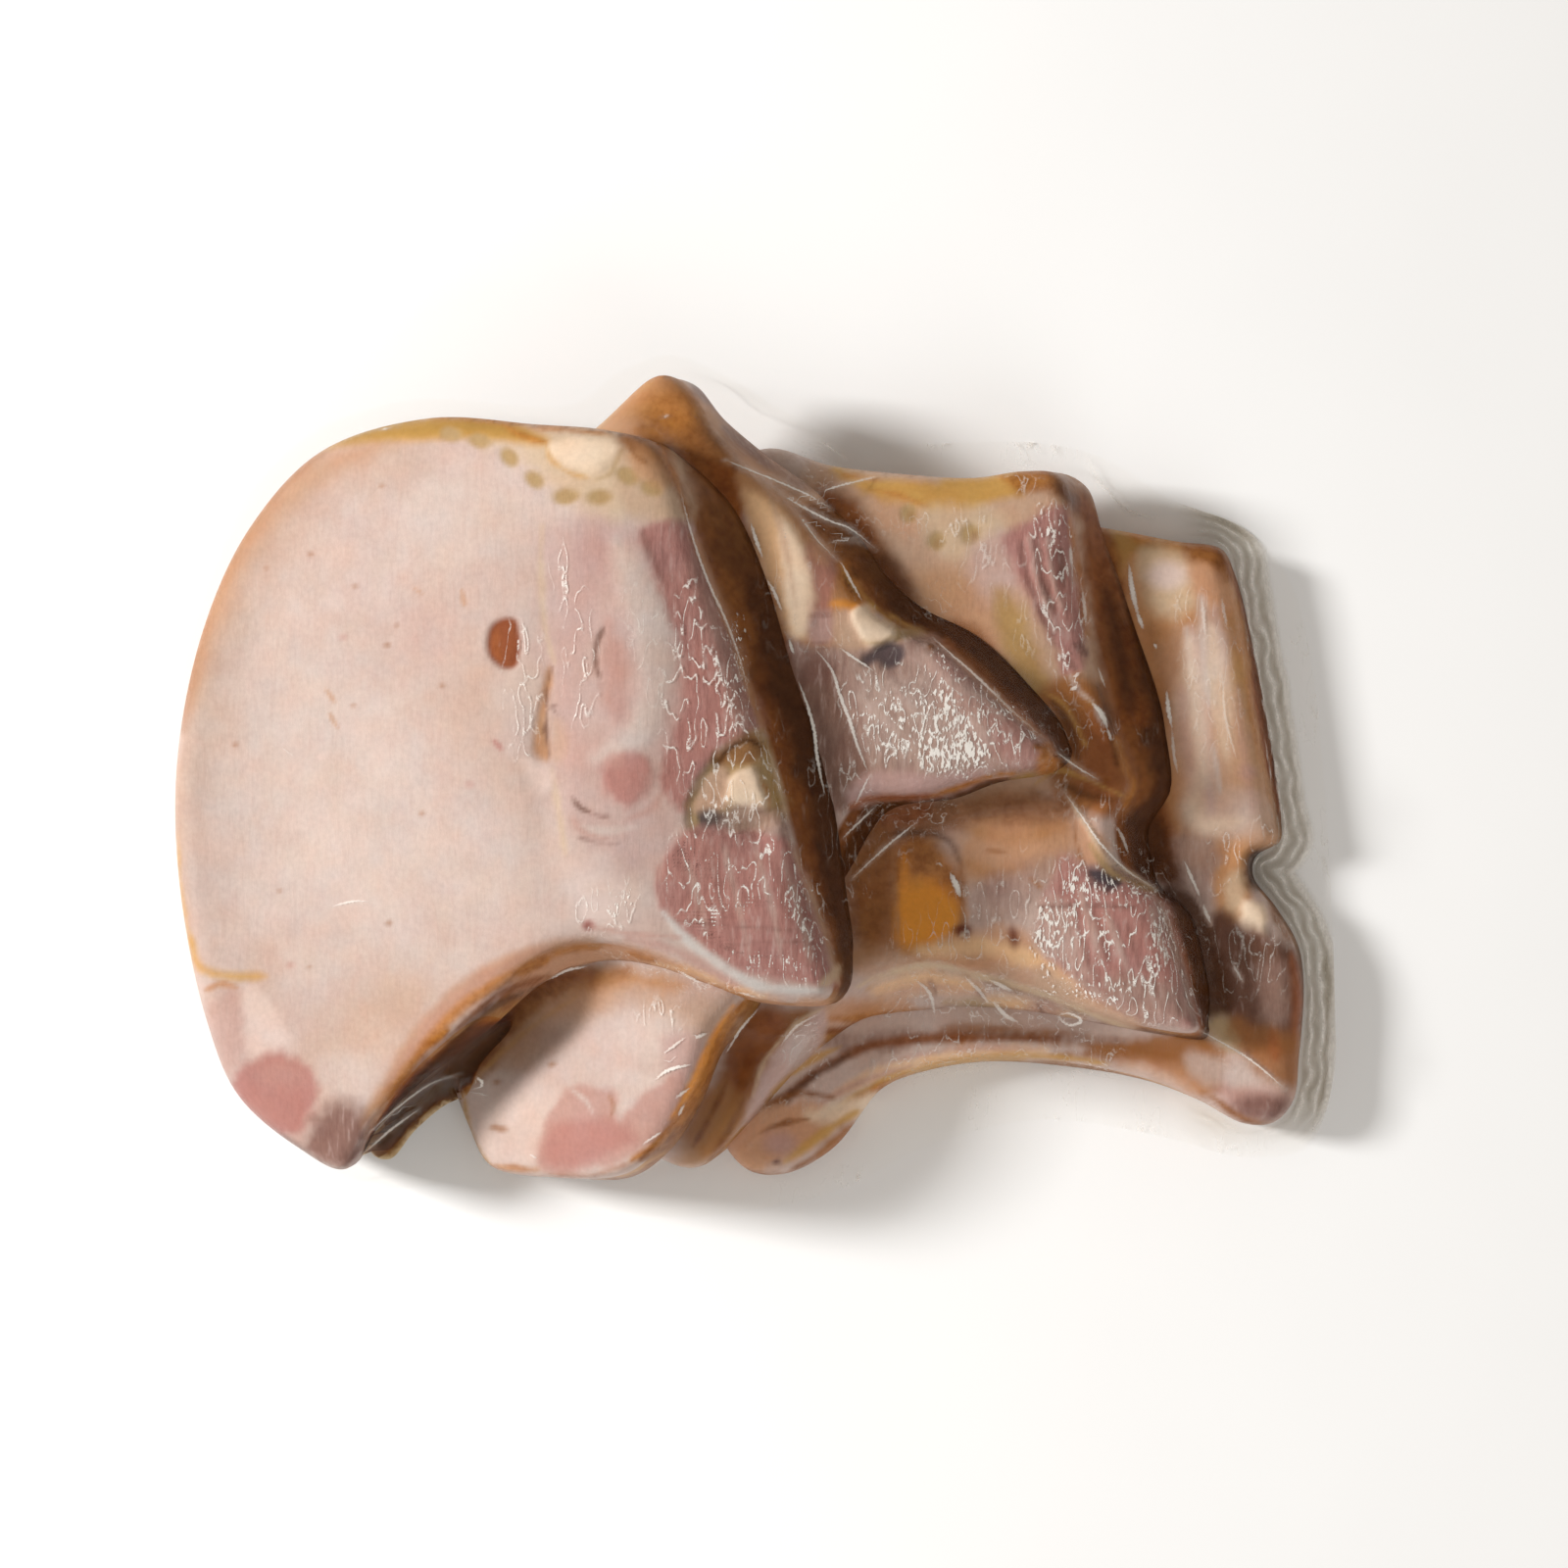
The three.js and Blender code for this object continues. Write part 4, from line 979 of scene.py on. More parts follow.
def mark_second_lobe(meat):
    """The second chop's rounded tail, below the first."""
    meat.patch("tan loin", [(-40.6, -39.6), (-30.2, -37), (-20.8, -37.7), (-11.4, -40.4), (-1.9, -42.6),
        (-5.7, -49.1), (-22.7, -43.4), (-37.8, -46), (-49.1, -54.7)], soft=5.7, share=0.9, ragged=1)
    meat.patch("warm tan", [(-45.3, -41.1), (-37.8, -37.7), (-22.7, -35.8), (-11.4, -38.5),
        (-13.3, -40), (-26.5, -39.2), (-37.8, -42.3), (-49.1, -49.1)], soft=2.6, share=0.9)
    # Painted shade: a brown band along the lobe just below the top chop's edge.
    meat.patch("brown smoke", [(-60.4, -59.6), (-54.8, -50.9), (-45.3, -42.3), (-36.7, -36.2),
        (-22.7, -35.8), (-26.5, -38.5), (-35.5, -41.1), (-44.6, -49.1), (-52.9, -58.5)], soft=2.3,
        share=0.95)
    meat.stroke("dark smoke and shade", [(-56.7, -54), (-48, -45.3), (-38.5, -38.1), (-30.2, -36.6)], 3, soft=2.6,
                share=0.85)
    meat.stroke("yellow fat", [(-54, -59.2), (-49.1, -54), (-41.6, -47.2), (-32.1, -40.8)], 0.9,
        soft=0.9, share=0.6)
    # Painted light: warmer paint where the top chop's shadow falls on the lobe.
    meat.oval("warm tan", (-36.7, -46.4), (14.3, 4.2), soft=4.5, share=0.6, turn=38)
    meat.oval("pale loin", (-18.9, -47.9), (7.5, 4.2), soft=4.5, share=0.8)
    meat.oval("loin", (-30.2, -50.9), (9.4, 5.7), soft=5.7, share=0.7)
    meat.patch("white fat", [(-52.9, -58.5), (-49.1, -56.2), (-40, -56.6), (-35.5, -59.2), (-37.8, -66),
        (-40, -73.2), (-47.6, -73.6), (-51.7, -67.9)], soft=1.9, share=0.5)
    meat.patch("rose", [(-35.7, -60), (-32.5, -58.1), (-28, -58.3), (-23.8, -59.2), (-25.3, -64.2),
        (-20.8, -60.8), (-15.9, -56.6), (-11.4, -55.1), (-11.4, -59.6), (-14.8, -66.8), (-18.9, -69.8),
        (-25, -72.8), (-37.8, -74.7), (-40.2, -72.5), (-38.9, -66)], soft=0.9, share=0.85)
    meat.patch("red muscle", [(-37.8, -66), (-30.2, -64.5), (-22.7, -66), (-20.8, -68.7),
        (-28.3, -72.5), (-38.5, -73.6)], soft=2.3, share=0.75)
    meat.patch("pale loin", [(-25.3, -55.5), (-19.7, -55.1), (-15.9, -55.8), (-20.4, -60),
        (-24.2, -64.5), (-24.6, -60.4)], soft=1.5, share=0.85)
    meat.patch("mauve pink", [(-15.9, -49.1), (-8.3, -48.7), (-7.6, -52.1), (-11.4, -56.2),
        (-15.1, -55.5)],
               soft=2.6, share=0.6)
    meat.stroke("pale loin", [(-33.3, -58.9), (-30.6, -61.1), (-29.1, -63.8)], 0.6, soft=0.6, share=0.8)
    meat.stroke("brown tan", [(-26.1, -60), (-25.3, -62.3), (-26.1, -64.5)], 0.5, soft=0.6, share=0.6)
    meat.spots("brown tan", [(-37.2, -54), (-47.8, -57.4), (-46.8, -66.4), (-48.3, -66)], (0.8, 0.6),
        soft=0.6,
               share=0.7)
    meat.stroke("yellow fat", [(-54, -60.4), (-53.6, -64.9), (-51.7, -70.6), (-49.1, -73.6)], 1.3,
        soft=1.1, share=0.8)
    meat.stroke("orange smoke", [(-49.5, -73.6), (-44.6, -74), (-40, -74.2)], 1.1, soft=0.9, share=0.7)
    meat.stroke("rust smoke", [(-37.8, -75.1), (-30.2, -75.5), (-22.7, -73.2)], 0.9, soft=0.9, share=0.5)
    meat.stroke("orange smoke", [(0.7, -41.1), (-3.4, -46), (-6.5, -51.7), (-8.3, -57.4), (-11.4, -63),
        (-15.5, -68.3), (-21.9, -72.5)], 2.6, soft=1.1)
    meat.stroke("brown smoke", [(1.5, -42.3), (-2.7, -47.5), (-5.3, -52.8), (-7.6, -58.9),
        (-10.6, -64.5), (-15.9, -70.2)], 0.9, soft=0.8, share=0.8)
    meat.stroke("amber", [(-2.3, -42.6), (-6.1, -48.7), (-8.7, -54.7), (-11.4, -60), (-14.4, -64.5)],
        1.3, soft=0.9,
                share=0.9)
    meat.stroke("brown smoke", [(-13.3, -66.4), (-15.9, -69.8), (-20.4, -72.8)], 1.5, soft=0.8, share=0.9)
    meat.stroke("olive fat", [(3.3, -43), (-0.8, -48.7), (-4.2, -55.1), (-7.6, -62.3)], 0.9, soft=0.8,
        share=0.8)


def mark_third(meat):
    mark_third_loin(meat)
    mark_third_middle(meat)
    mark_third_bone(meat)
    mark_third_belly(meat)


def mark_third_loin(meat):
    """The third chop above the second: yellow fat, glands, pale meat and the ridged bone."""
    meat.patch("tan", [(13.2, 62.3), (67.9, 62.3), (69.8, 18.9), (64.1, 0), (26.4, 0), (11.3, 37.7)],
               soft=3.8, ragged=1)
    meat.patch("yellow fat", [(16.9, 61.1), (24.5, 59.2), (33.9, 58.5), (45.2, 59.2), (52.8, 60.4),
        (53.9, 56.2), (48.3, 54.3), (42.2, 52.5), (34.7, 52.5), (27.9, 54), (21.8, 56.6)], soft=1.5)
    meat.strokes("orange smoke", [[(23.3, 57), (28.6, 55.8), (35, 53.6)], [(18.8, 59.6), (26.4, 58.5)],
                 [(49, 59.6), (52.8, 57.4)]], 1.1, soft=0.9, share=0.6)
    meat.patch("brown smoke", [(51.7, 59.6), (56.6, 60.8), (61.5, 60.4), (64.9, 56.6), (67.5, 51.7),
        (64.1, 50.9), (61.1, 55.1), (56.6, 56.6), (52.8, 55.8)], soft=1.5, share=0.85)
    meat.oval("orange smoke", (55, 58.5), (3.8, 1.9), soft=1.9, share=0.6)
    meat.stroke("brown bone", [(60.3, 57.7), (63.3, 54.3), (66.4, 51.3)], 2.5, soft=1.5, share=0.8)
    meat.patch("peach", [(23.3, 54.3), (32, 54), (34.7, 50.9), (33.9, 47.9), (26.4, 49.8)], soft=2.3,
        share=0.5)
    meat.patch("cream fat", [(33.9, 52.1), (47.1, 52.8), (50.9, 50.9), (47.1, 45.3), (37.7, 44.2)],
        soft=2.6,
               share=0.8)
    meat.spots("olive spot", [(31.5, 52.1), (36.9, 46.8), (43.5, 48.1)], (1.7, 1.9), soft=0.9, lift=-0.2)
    meat.spots("brown tan", [(32, 51.7), (37.1, 46.4), (44.1, 47.7)], (0.9, 1.1), soft=0.9, share=0.35)
    meat.patch("pink", [(43.3, 45.3), (50.5, 49.1), (53.5, 45.3), (52, 35.8), (45.2, 34)], soft=3,
               share=0.8)
    meat.patch("warm tan", [(32, 39.6), (41.5, 41.5), (47.1, 34), (49, 22.6), (41.5, 26.4), (33.9, 32.1)],
               soft=4.9, share=0.6)
    meat.patch("peach", [(41.5, 37.7), (47.1, 35.8), (48.6, 26.4), (45.2, 26.4)], soft=3, share=0.4)
    meat.patch("olive fat", [(48.3, 37.7), (52, 35.8), (56.6, 25.7), (59.6, 15.1), (57.7, 11.3),
        (53.5, 18.9), (49.4, 26.4)], soft=2.3, share=0.75)
    meat.patch("purple bone", [(49.6, 46.8), (52.8, 49.8), (56.6, 52.1), (61.1, 53.6), (63, 49.1),
        (63.7, 43), (64.9, 37.7), (65.6, 30.2), (64.9, 22.6), (61.8, 20.8), (59.2, 27.2), (55, 34.7),
        (52, 40.8)], soft=1.3, ragged=0.7)
    meat.strokes("dark bone", [[(53.2, 46.8), (54.3, 40.8), (57.7, 32.1), (59.6, 28.3)], [(56.2, 47.2),
        (57.7, 39.6), (60.3, 32.1)], [(60.7, 45.3), (61.5, 37.7)]], 1.3, soft=0.9, share=0.75,
                 lift=-0.3)
    meat.strokes("grey bone", [[(54.7, 47.5), (56.2, 39.6), (59.6, 29.4)], [(58.1, 47.5), (59.2, 39.6),
        (61.5, 32.8)], [(62.6, 45.3), (63.3, 37.7)]], 0.9, soft=0.8, share=0.6, lift=0.3)
    meat.stroke("orange smoke", [(62.6, 50.9), (63.7, 43), (65.2, 33.6), (66, 28.3)], 1.1, soft=0.8,
                share=0.7)
    # Painted shade: the dark wedges beside the second chop's edge.
    meat.patch("dark smoke and shade", [(14.3, 56.6), (21.1, 54.3), (25.6, 47.5), (31.3, 38.5), (33.2, 31.7),
        (29.4, 30.2), (22.6, 35.8), (16.9, 45.3)], soft=3, share=0.95)
    meat.patch("deep brown shade", [(21.5, 44.2), (27.5, 44.2), (31.3, 39.2), (31.7, 34.7), (25.6, 34.3),
        (21.8, 37.7)],
               soft=3, share=0.55)
    meat.stroke("orange smoke", [(24.9, 33.6), (29, 32.5), (32.8, 33.6)], 1.9, soft=1.5, share=0.9)
    # Painted shade: the dark wedge below the second chop's edge.
    meat.patch("dark smoke and shade", [(34.7, 30.2), (39.2, 30.9), (44.5, 29.8), (49.8, 23.4), (54.7, 16.2),
        (62.2, 8.3), (59.6, 2.6), (52.8, 7.5), (43.3, 18.9)], soft=2.3, share=0.95)
    meat.stroke("olive fat", [(50.9, 22.6), (54.3, 17), (58.1, 15.1), (61.5, 10.2)], 1.9, soft=1.5,
                share=0.7, lift=0.3)


def mark_third_middle(meat):
    """The brown fold right of the second chop's tip, and the hollow below it with amber juice."""
    # Painted shade: the dark band along the third chop's right edge, where it meets the fourth.
    meat.patch("dark smoke and shade", [(64.9, 56.6), (68.6, 50.9), (72.4, 37.7), (75.4, 22.6), (77.3, 11.3),
        (72.4, 11.3), (68.6, 20.8), (66.7, 30.2), (65.2, 41.5)], soft=1.5, share=0.95)
    meat.stroke("deep brown shade", [(69.4, 37.7), (72, 26.4), (74.3, 13.2)], 3.4, soft=2.3, share=0.8)
    meat.patch("brown tan", [(56.6, 17.7), (64.1, 20.8), (69, 18.9), (71.7, 10.2), (74.7, 0),
        (72.4, -5.7), (64.1, -5.7), (58.4, 1.9)], soft=2.6)
    meat.patch("rust smoke", [(62.2, 11.3), (69.8, 13.2), (73.5, 1.9), (71.7, -4.9), (66, -3)],
               soft=4.2, share=0.6)
    meat.patch("brown smoke", [(56.6, 11.3), (62.2, 15.8), (66, 13.2), (64.1, 1.9), (59.2, 0)],
               soft=3.8, share=0.5)
    meat.strokes("deep brown shade", [[(59.2, 15.8), (62.6, 10.6), (64.1, 4.5)], [(67.9, 18.9), (70.5, 11.3),
        (71.7, 3.8)], [(61.1, 0), (66, -2.3), (70.9, -3)]], 1.7, soft=1.5, share=0.7)
    meat.strokes("yellow fat", [[(55.8, 0), (60, 2.6), (66, 0.8), (72.8, -2.3)], [(57.7, 17.7),
        (61.5, 15.1), (65.6, 7.5)], [(64.9, 17.7), (68.3, 14)]], 0.8, soft=0.8, share=0.8)
    meat.strokes("pale loin", [[(62.6, 20.8), (64.5, 17.7), (67.1, 15.8)], [(67.5, 15.1), (69.4, 10.9)]],
                 0.9, soft=0.8, share=0.8)
    meat.stroke("orange smoke", [(71.3, 9.4), (73.5, 2.6), (74.7, -0.4), (72.8, -4.2)], 1.5, soft=1.1,
                share=0.9)
    meat.strokes("orange smoke", [[(60.3, 5.7), (64.9, 3)], [(63.3, 1.9), (69.8, 0.8)]], 0.9, soft=1.1,
                 share=0.5)
    meat.strokes("dark bone", [[(63.3, 27.2), (64.9, 24.9)], [(64.5, 27.5), (66, 24.5)], [(62.2, 24.2),
        (63.7, 21.9)]], 0.8, soft=0.6, share=0.85)
    meat.patch("brown smoke", [(16.9, -5.3), (37.7, -2.6), (56.6, -1.1), (64.1, -3.8), (60.3, -9.4),
        (41.5, -9.4), (26.4, -11.3)], soft=3.4, share=0.85)
    meat.patch("rust smoke", [(22.6, -4.2), (35.8, -3.4), (33.9, -6.8), (24.5, -8.3)], soft=2.3,
        share=0.6)
    meat.patch("brown tan", [(21.1, -12.1), (28.6, -10.6), (29.4, -18.9), (30.1, -31.3), (23.3, -32.1),
        (20.3, -24.5)],
               soft=3, share=0.9)
    meat.patch("warm tan", [(41.5, -9.4), (56.6, -7.5), (63.3, -7.5), (63.3, -17), (52.8, -18.9),
        (41.5, -18.9)],
               soft=3.8, share=0.8)
    meat.strokes("rind", [[(43.3, -8.7), (50.9, -10.6), (58.4, -9.4)], [(42.6, -15.1), (47.1, -17),
        (53.9, -15.8)]],
                 2.6, soft=2.3, share=0.5)
    meat.patch("peach", [(47.1, -8.7), (55, -8.3), (56.6, -13.6), (47.9, -15.1)], soft=3, share=0.35)
    meat.patch("mauve bone", [(45.2, -18.9), (56.6, -15.1), (63.3, -13.2), (62.2, -18.9), (55, -24.5),
        (47.1, -28.3), (43.7, -24.5)], soft=3.8, share=0.75)
    meat.oval("dark bone", (48.4, -20), (3, 2.3), soft=3.4, share=0.45)
    meat.strokes("brown tan", [[(46.6, -12.8), (50.3, -13)], [(55, -18.1), (56.9, -20)]], 0.6, soft=0.6,
                 share=0.8)
    meat.stroke("cream fat", [(34.5, -10.9), (37.7, -11.1)], 0.6, soft=0.6, share=0.5)
    meat.patch("orange smoke", [(29, -11.7), (33.9, -9.8), (40, -15.1), (41.5, -26.4), (40.3, -31.7),
        (30.1, -32.1), (29, -22.6)], soft=2.3, share=0.9)
    meat.patch("brown smoke", [(29, -11.7), (34.7, -9.8), (38.4, -12.5), (33.9, -16.2), (29.4, -17)],
        soft=2.6,
               share=0.5)
    meat.patch("amber", [(30.1, -20.4), (33.9, -18.5), (38.1, -19.2), (40.7, -21.9), (41.5, -27.2),
        (40, -30.9), (34.7, -31.7), (30.5, -31.3)], soft=3, share=0.95, ragged=0.8)
    meat.stroke("amber", [(30.5, -12.8), (30.9, -20.8), (31.3, -30.6)], 2.3, soft=1.9, share=0.6)
    meat.stroke("deep brown shade", [(28.6, -9.8), (33.9, -9.4), (39.2, -10.9), (41.5, -15.1)], 1.3, soft=1.5,
        share=0.7)
    meat.stroke("brown smoke", [(41.5, -15.8), (41.8, -21.5), (41.1, -29.8), (35.8, -32.5)], 1.1,
        soft=1.5, share=0.7)
    meat.stroke("warm tan", [(28.4, -12.5), (29, -20.8), (29.8, -31.3)], 0.9, soft=0.8, share=0.8)
    meat.patch("brown smoke", [(16.6, -6.4), (22.6, -5.3), (28.6, -9.4), (28.6, -18.9), (27.1, -28.3),
        (22.6, -34.7), (18.4, -34), (16.9, -18.9)], soft=2.6, share=0.7)
    meat.patch("peach", [(38.4, -29.4), (45.2, -27.9), (54.7, -28.3), (56.6, -34), (45.2, -35.8),
        (37.7, -34.7)],
               soft=2.6, share=0.9)
    meat.patch("warm tan", [(16.9, -32.5), (30.1, -31.3), (41.5, -32.1), (56.6, -35.8), (69.8, -41.5),
        (77.3, -47.2), (56.6, -40.8), (37.7, -35.1), (22.6, -37)], soft=2.3, share=0.6)
    # Painted light: a lighter tone along the lower edge, which lies in shade.
    meat.stroke("honey painted light", [(33.2, -32.1), (45.2, -31.3), (56.6, -34.3), (67.9, -39.6)], 3.4, soft=2.6,
        share=0.95)
    meat.oval("blood", (41.7, -28.1), (1.7, 1.1), soft=0.9, share=0.9)
    meat.oval("marrow", (42, -28.9), (0.4, 0.4), soft=0.4)
    meat.oval("blood", (51.7, -29.6), (1.1, 2.1), soft=1.1, share=0.85, turn=10)


def mark_third_bone(meat):
    """The sawn backbone of the third chop, its canal and its grey vein."""
    meat.patch("peach", [(64.1, -6.8), (67.1, -7.2), (69.8, -12.5), (69.8, -16.2), (65.6, -15.8),
        (64.1, -11.7)],
               soft=1.3, share=0.9)
    meat.stroke("brown tan", [(63.3, -6), (63.9, -11.7), (65.6, -16.6)], 0.8, soft=0.6, share=0.8)
    meat.patch("purple bone", [(56.6, -26.4), (58.4, -20.8), (61.5, -14.3), (66, -15.8), (72.4, -16.6),
        (77.3, -19.6), (81.1, -23.8), (83.7, -31.3), (85.2, -38.9), (87.1, -46.8), (79.2, -46),
        (72.8, -44.2), (67.5, -41.1), (61.8, -36.6), (57.3, -31.7)], soft=1.9, ragged=0.7, lift=0.2)
    meat.patch("grey bone", [(55.8, -24.5), (60.3, -21.9), (64.1, -28.3), (66.4, -37.7), (61.5, -35.8),
        (56.9, -31.3)], soft=2.3, share=0.6)
    meat.patch("mauve bone", [(67.9, -37.7), (79.2, -37.7), (86, -43.4), (83, -46.8), (73.5, -44.5)],
               soft=3, share=0.8)
    meat.strokes("dark bone", [[(63.3, -24.5), (66.4, -35.8)], [(67.1, -24.5), (70.5, -35.8)],
        [(73.5, -26.4), (76.2, -35.8)], [(64.1, -37.7), (69.8, -41.5)], [(77.3, -34), (80, -41.5)]], 1.1,
                 soft=1.1, share=0.55)
    meat.strokes("dark bone", [[(56.6, -23.6), (66, -23.4), (75.4, -23.8)]], 0.6, soft=0.6, share=0.7)
    meat.strokes("grey bone", [[(64.5, -20), (68.6, -34.7)], [(69.4, -24.5), (73.5, -35.8)],
        [(78.1, -23.8), (81.1, -34)], [(62.6, -36.6), (73.5, -44.2)]], 1.3, soft=1.1, share=0.6,
        lift=0.15)
    meat.patch("slate", [(65.8, -16.6), (68.3, -15.8), (72, -17), (72.8, -19.2), (69.4, -20),
        (66.4, -18.9)],
               soft=0.9, lift=-0.5)
    meat.stroke("olive spot", [(66.4, -11.7), (70.1, -16.6), (73.9, -18.5), (78.8, -20.4)], 1.5,
        soft=0.9, share=0.9)
    meat.stroke("cream fat", [(62.2, -2.3), (65.6, -7.9), (69.8, -14.3), (74.7, -17.4), (78.4, -20)], 0.8,
                soft=0.6, share=0.9, lift=0.4)
    meat.stroke("mauve bone", [(79.2, -21.5), (82.2, -30.2), (84.9, -39.6), (86.6, -46.4)], 1.7, soft=0.9,
                share=0.9)
    meat.patch("tan", [(56.9, -34.7), (61.8, -38.1), (67.9, -42.3), (75.4, -46.4), (73.5, -47.5),
        (64.1, -44.2), (55.8, -39.6)], soft=1.3, share=0.9)


def mark_third_belly(meat):
    """The third chop's thin belly edge along the bottom, and its rounded tail."""
    meat.patch("loin", [(22.2, -39.6), (30.1, -36.6), (39.2, -35.8), (47.1, -38.1), (56.6, -41.1),
        (66, -44.9), (75.4, -48.3), (66, -47.9), (49, -46.4), (32, -45.7), (15.8, -46.4)],
               soft=1.1)
    # Painted light: the belly lies in shade and is painted lighter.
    meat.strokes("honey painted light", [[(24.5, -40), (35.8, -38.1), (45.2, -39.6)], [(47.1, -41.5), (56.6, -44.2),
        (66, -46.8)]], 3.8, soft=2.6, share=0.9)
    meat.strokes("mauve pink", [[(26.4, -40.4), (35.8, -38.9), (45.2, -40.4)], [(49, -43.4),
        (56.6, -45.3), (64.1, -47.2)]], 1.5, soft=1.5, share=0.6)
    meat.patch("peach", [(15.4, -42.6), (24.5, -41.1), (32.4, -41.9), (33.9, -45.3), (22.6, -46),
        (15.4, -46.4)],
               soft=1.9, share=0.9)
    meat.patch("orange smoke", [(20, -43), (26.4, -42.3), (27.5, -44.9), (20.7, -45.7)], soft=2.3,
        share=0.45)
    meat.oval("olive spot", (46.2, -43.2), (3.4, 1.3), soft=1.5, share=0.8, turn=-18)
    meat.stroke("olive spot", [(37.7, -41.9), (42.2, -42.3), (45.2, -41.5)], 1.1, soft=0.9, share=0.6)
    meat.patch("rose", [(53.9, -42.6), (60.3, -42.6), (60.3, -46.4), (54.7, -46)], soft=2.3, share=0.7)
    meat.stroke("orange smoke", [(45.2, -44.5), (50.9, -46), (56.6, -46.8)], 1.1, soft=0.9, share=0.6)
    meat.stroke("cream fat", [(21.8, -38.9), (27.5, -36.4), (35.8, -34.9), (46.7, -37.4), (56.9, -40.4),
        (67.1, -44.5), (75.4, -47.7), (82.2, -49.4)], 1.1, soft=0.8, lift=0.4)
    meat.stroke("orange smoke", [(15.4, -45.3), (26.4, -44.9), (37.7, -44.2), (49.8, -45.7)], 1.3,
        soft=0.9,
                share=0.8)
    meat.stroke("dark smoke and shade", [(14.3, -47.5), (26.4, -46.8), (37.7, -45.8), (49.8, -47.2),
        (62.2, -48.1), (75.4, -50.2)], 1.3, soft=0.8)
    meat.strokes("dark bone", [[(35.4, -37.7), (36.9, -40.4)], [(56.2, -42.3), (57.7, -44.5)],
                 [(44.1, -38.9), (46, -41.1)]], 0.9, soft=0.8, share=0.7)
    meat.patch("rose", [(64.1, -45.3), (73.5, -47.9), (83, -49.4), (83, -50.9), (73.5, -50.2),
        (64.9, -47.9)], soft=0.9, share=0.6)
    meat.spots("dark smoke and shade", [(67.9, -46.8), (70.1, -48.3), (73.2, -49.1)], (0.8, 0.5), soft=0.6,
        share=0.8)
    meat.patch("brown tan", [(0, -44.5), (7.5, -43.4), (13.2, -43.4), (5.6, -52.8), (0, -64.2),
        (-7.6, -71.7), (-11.4, -67.9), (-4.6, -54.7)], soft=2.3)
    meat.patch("dark smoke and shade", [(-1.6, -45.3), (5.6, -43.4), (8.6, -46.4), (3.7, -52.8), (-0.8, -58.5),
        (-3.1, -54.7)], soft=2.6, share=0.9)
    meat.patch("rind", [(-8.3, -60.4), (-3.1, -58.1), (-1.6, -66), (-6.5, -72.8), (-13.3, -73.6)], soft=3,
               share=0.8)
    meat.strokes("brown smoke", [[(-3.1, -56.6), (-5.7, -62.3), (-9.9, -69.8)], [(0, -60.4),
        (-3.1, -66.8), (-6.8, -72.5)]], 1.1, soft=0.9, share=0.9)
    meat.patch("pink", [(14.7, -43.4), (11.7, -45.7), (7.5, -49.8), (3.5, -55.1), (2.2, -60),
        (-0.4, -66), (2.6, -64.5), (8.6, -56.6), (14.7, -52.5)], soft=0.9)
    meat.patch("cartilage", [(8.6, -49.4), (12.8, -47.2), (12.8, -50.9), (8.6, -54.3)], soft=2.3,
        share=0.4)
    meat.stroke("cream fat", [(14.5, -43.4), (10.9, -45.3), (6.7, -49.4), (3.3, -54.3), (1.5, -60)], 0.7,
                soft=0.6, share=0.9, lift=0.3)
    meat.stroke("yellow fat", [(14.7, -50.9), (11.3, -55.1), (7.1, -58.1), (3, -64.2)], 1.5, soft=1.1)
    meat.patch("brown smoke", [(14.7, -53.6), (22.6, -49.1), (18.8, -52.8), (7.5, -62.3), (0, -70.9),
        (-1.9, -69.8), (5.6, -59.6)], soft=1.5, share=0.9)
    meat.stroke("dark smoke and shade", [(16.2, -51.3), (10.5, -57.4), (4.9, -64.2), (0.3, -69.8)], 1.1, soft=0.9,
        share=0.8)


def mark_fourth(meat):
    mark_fourth_loin(meat)
    mark_fourth_bone(meat)
    mark_fourth_belly(meat)


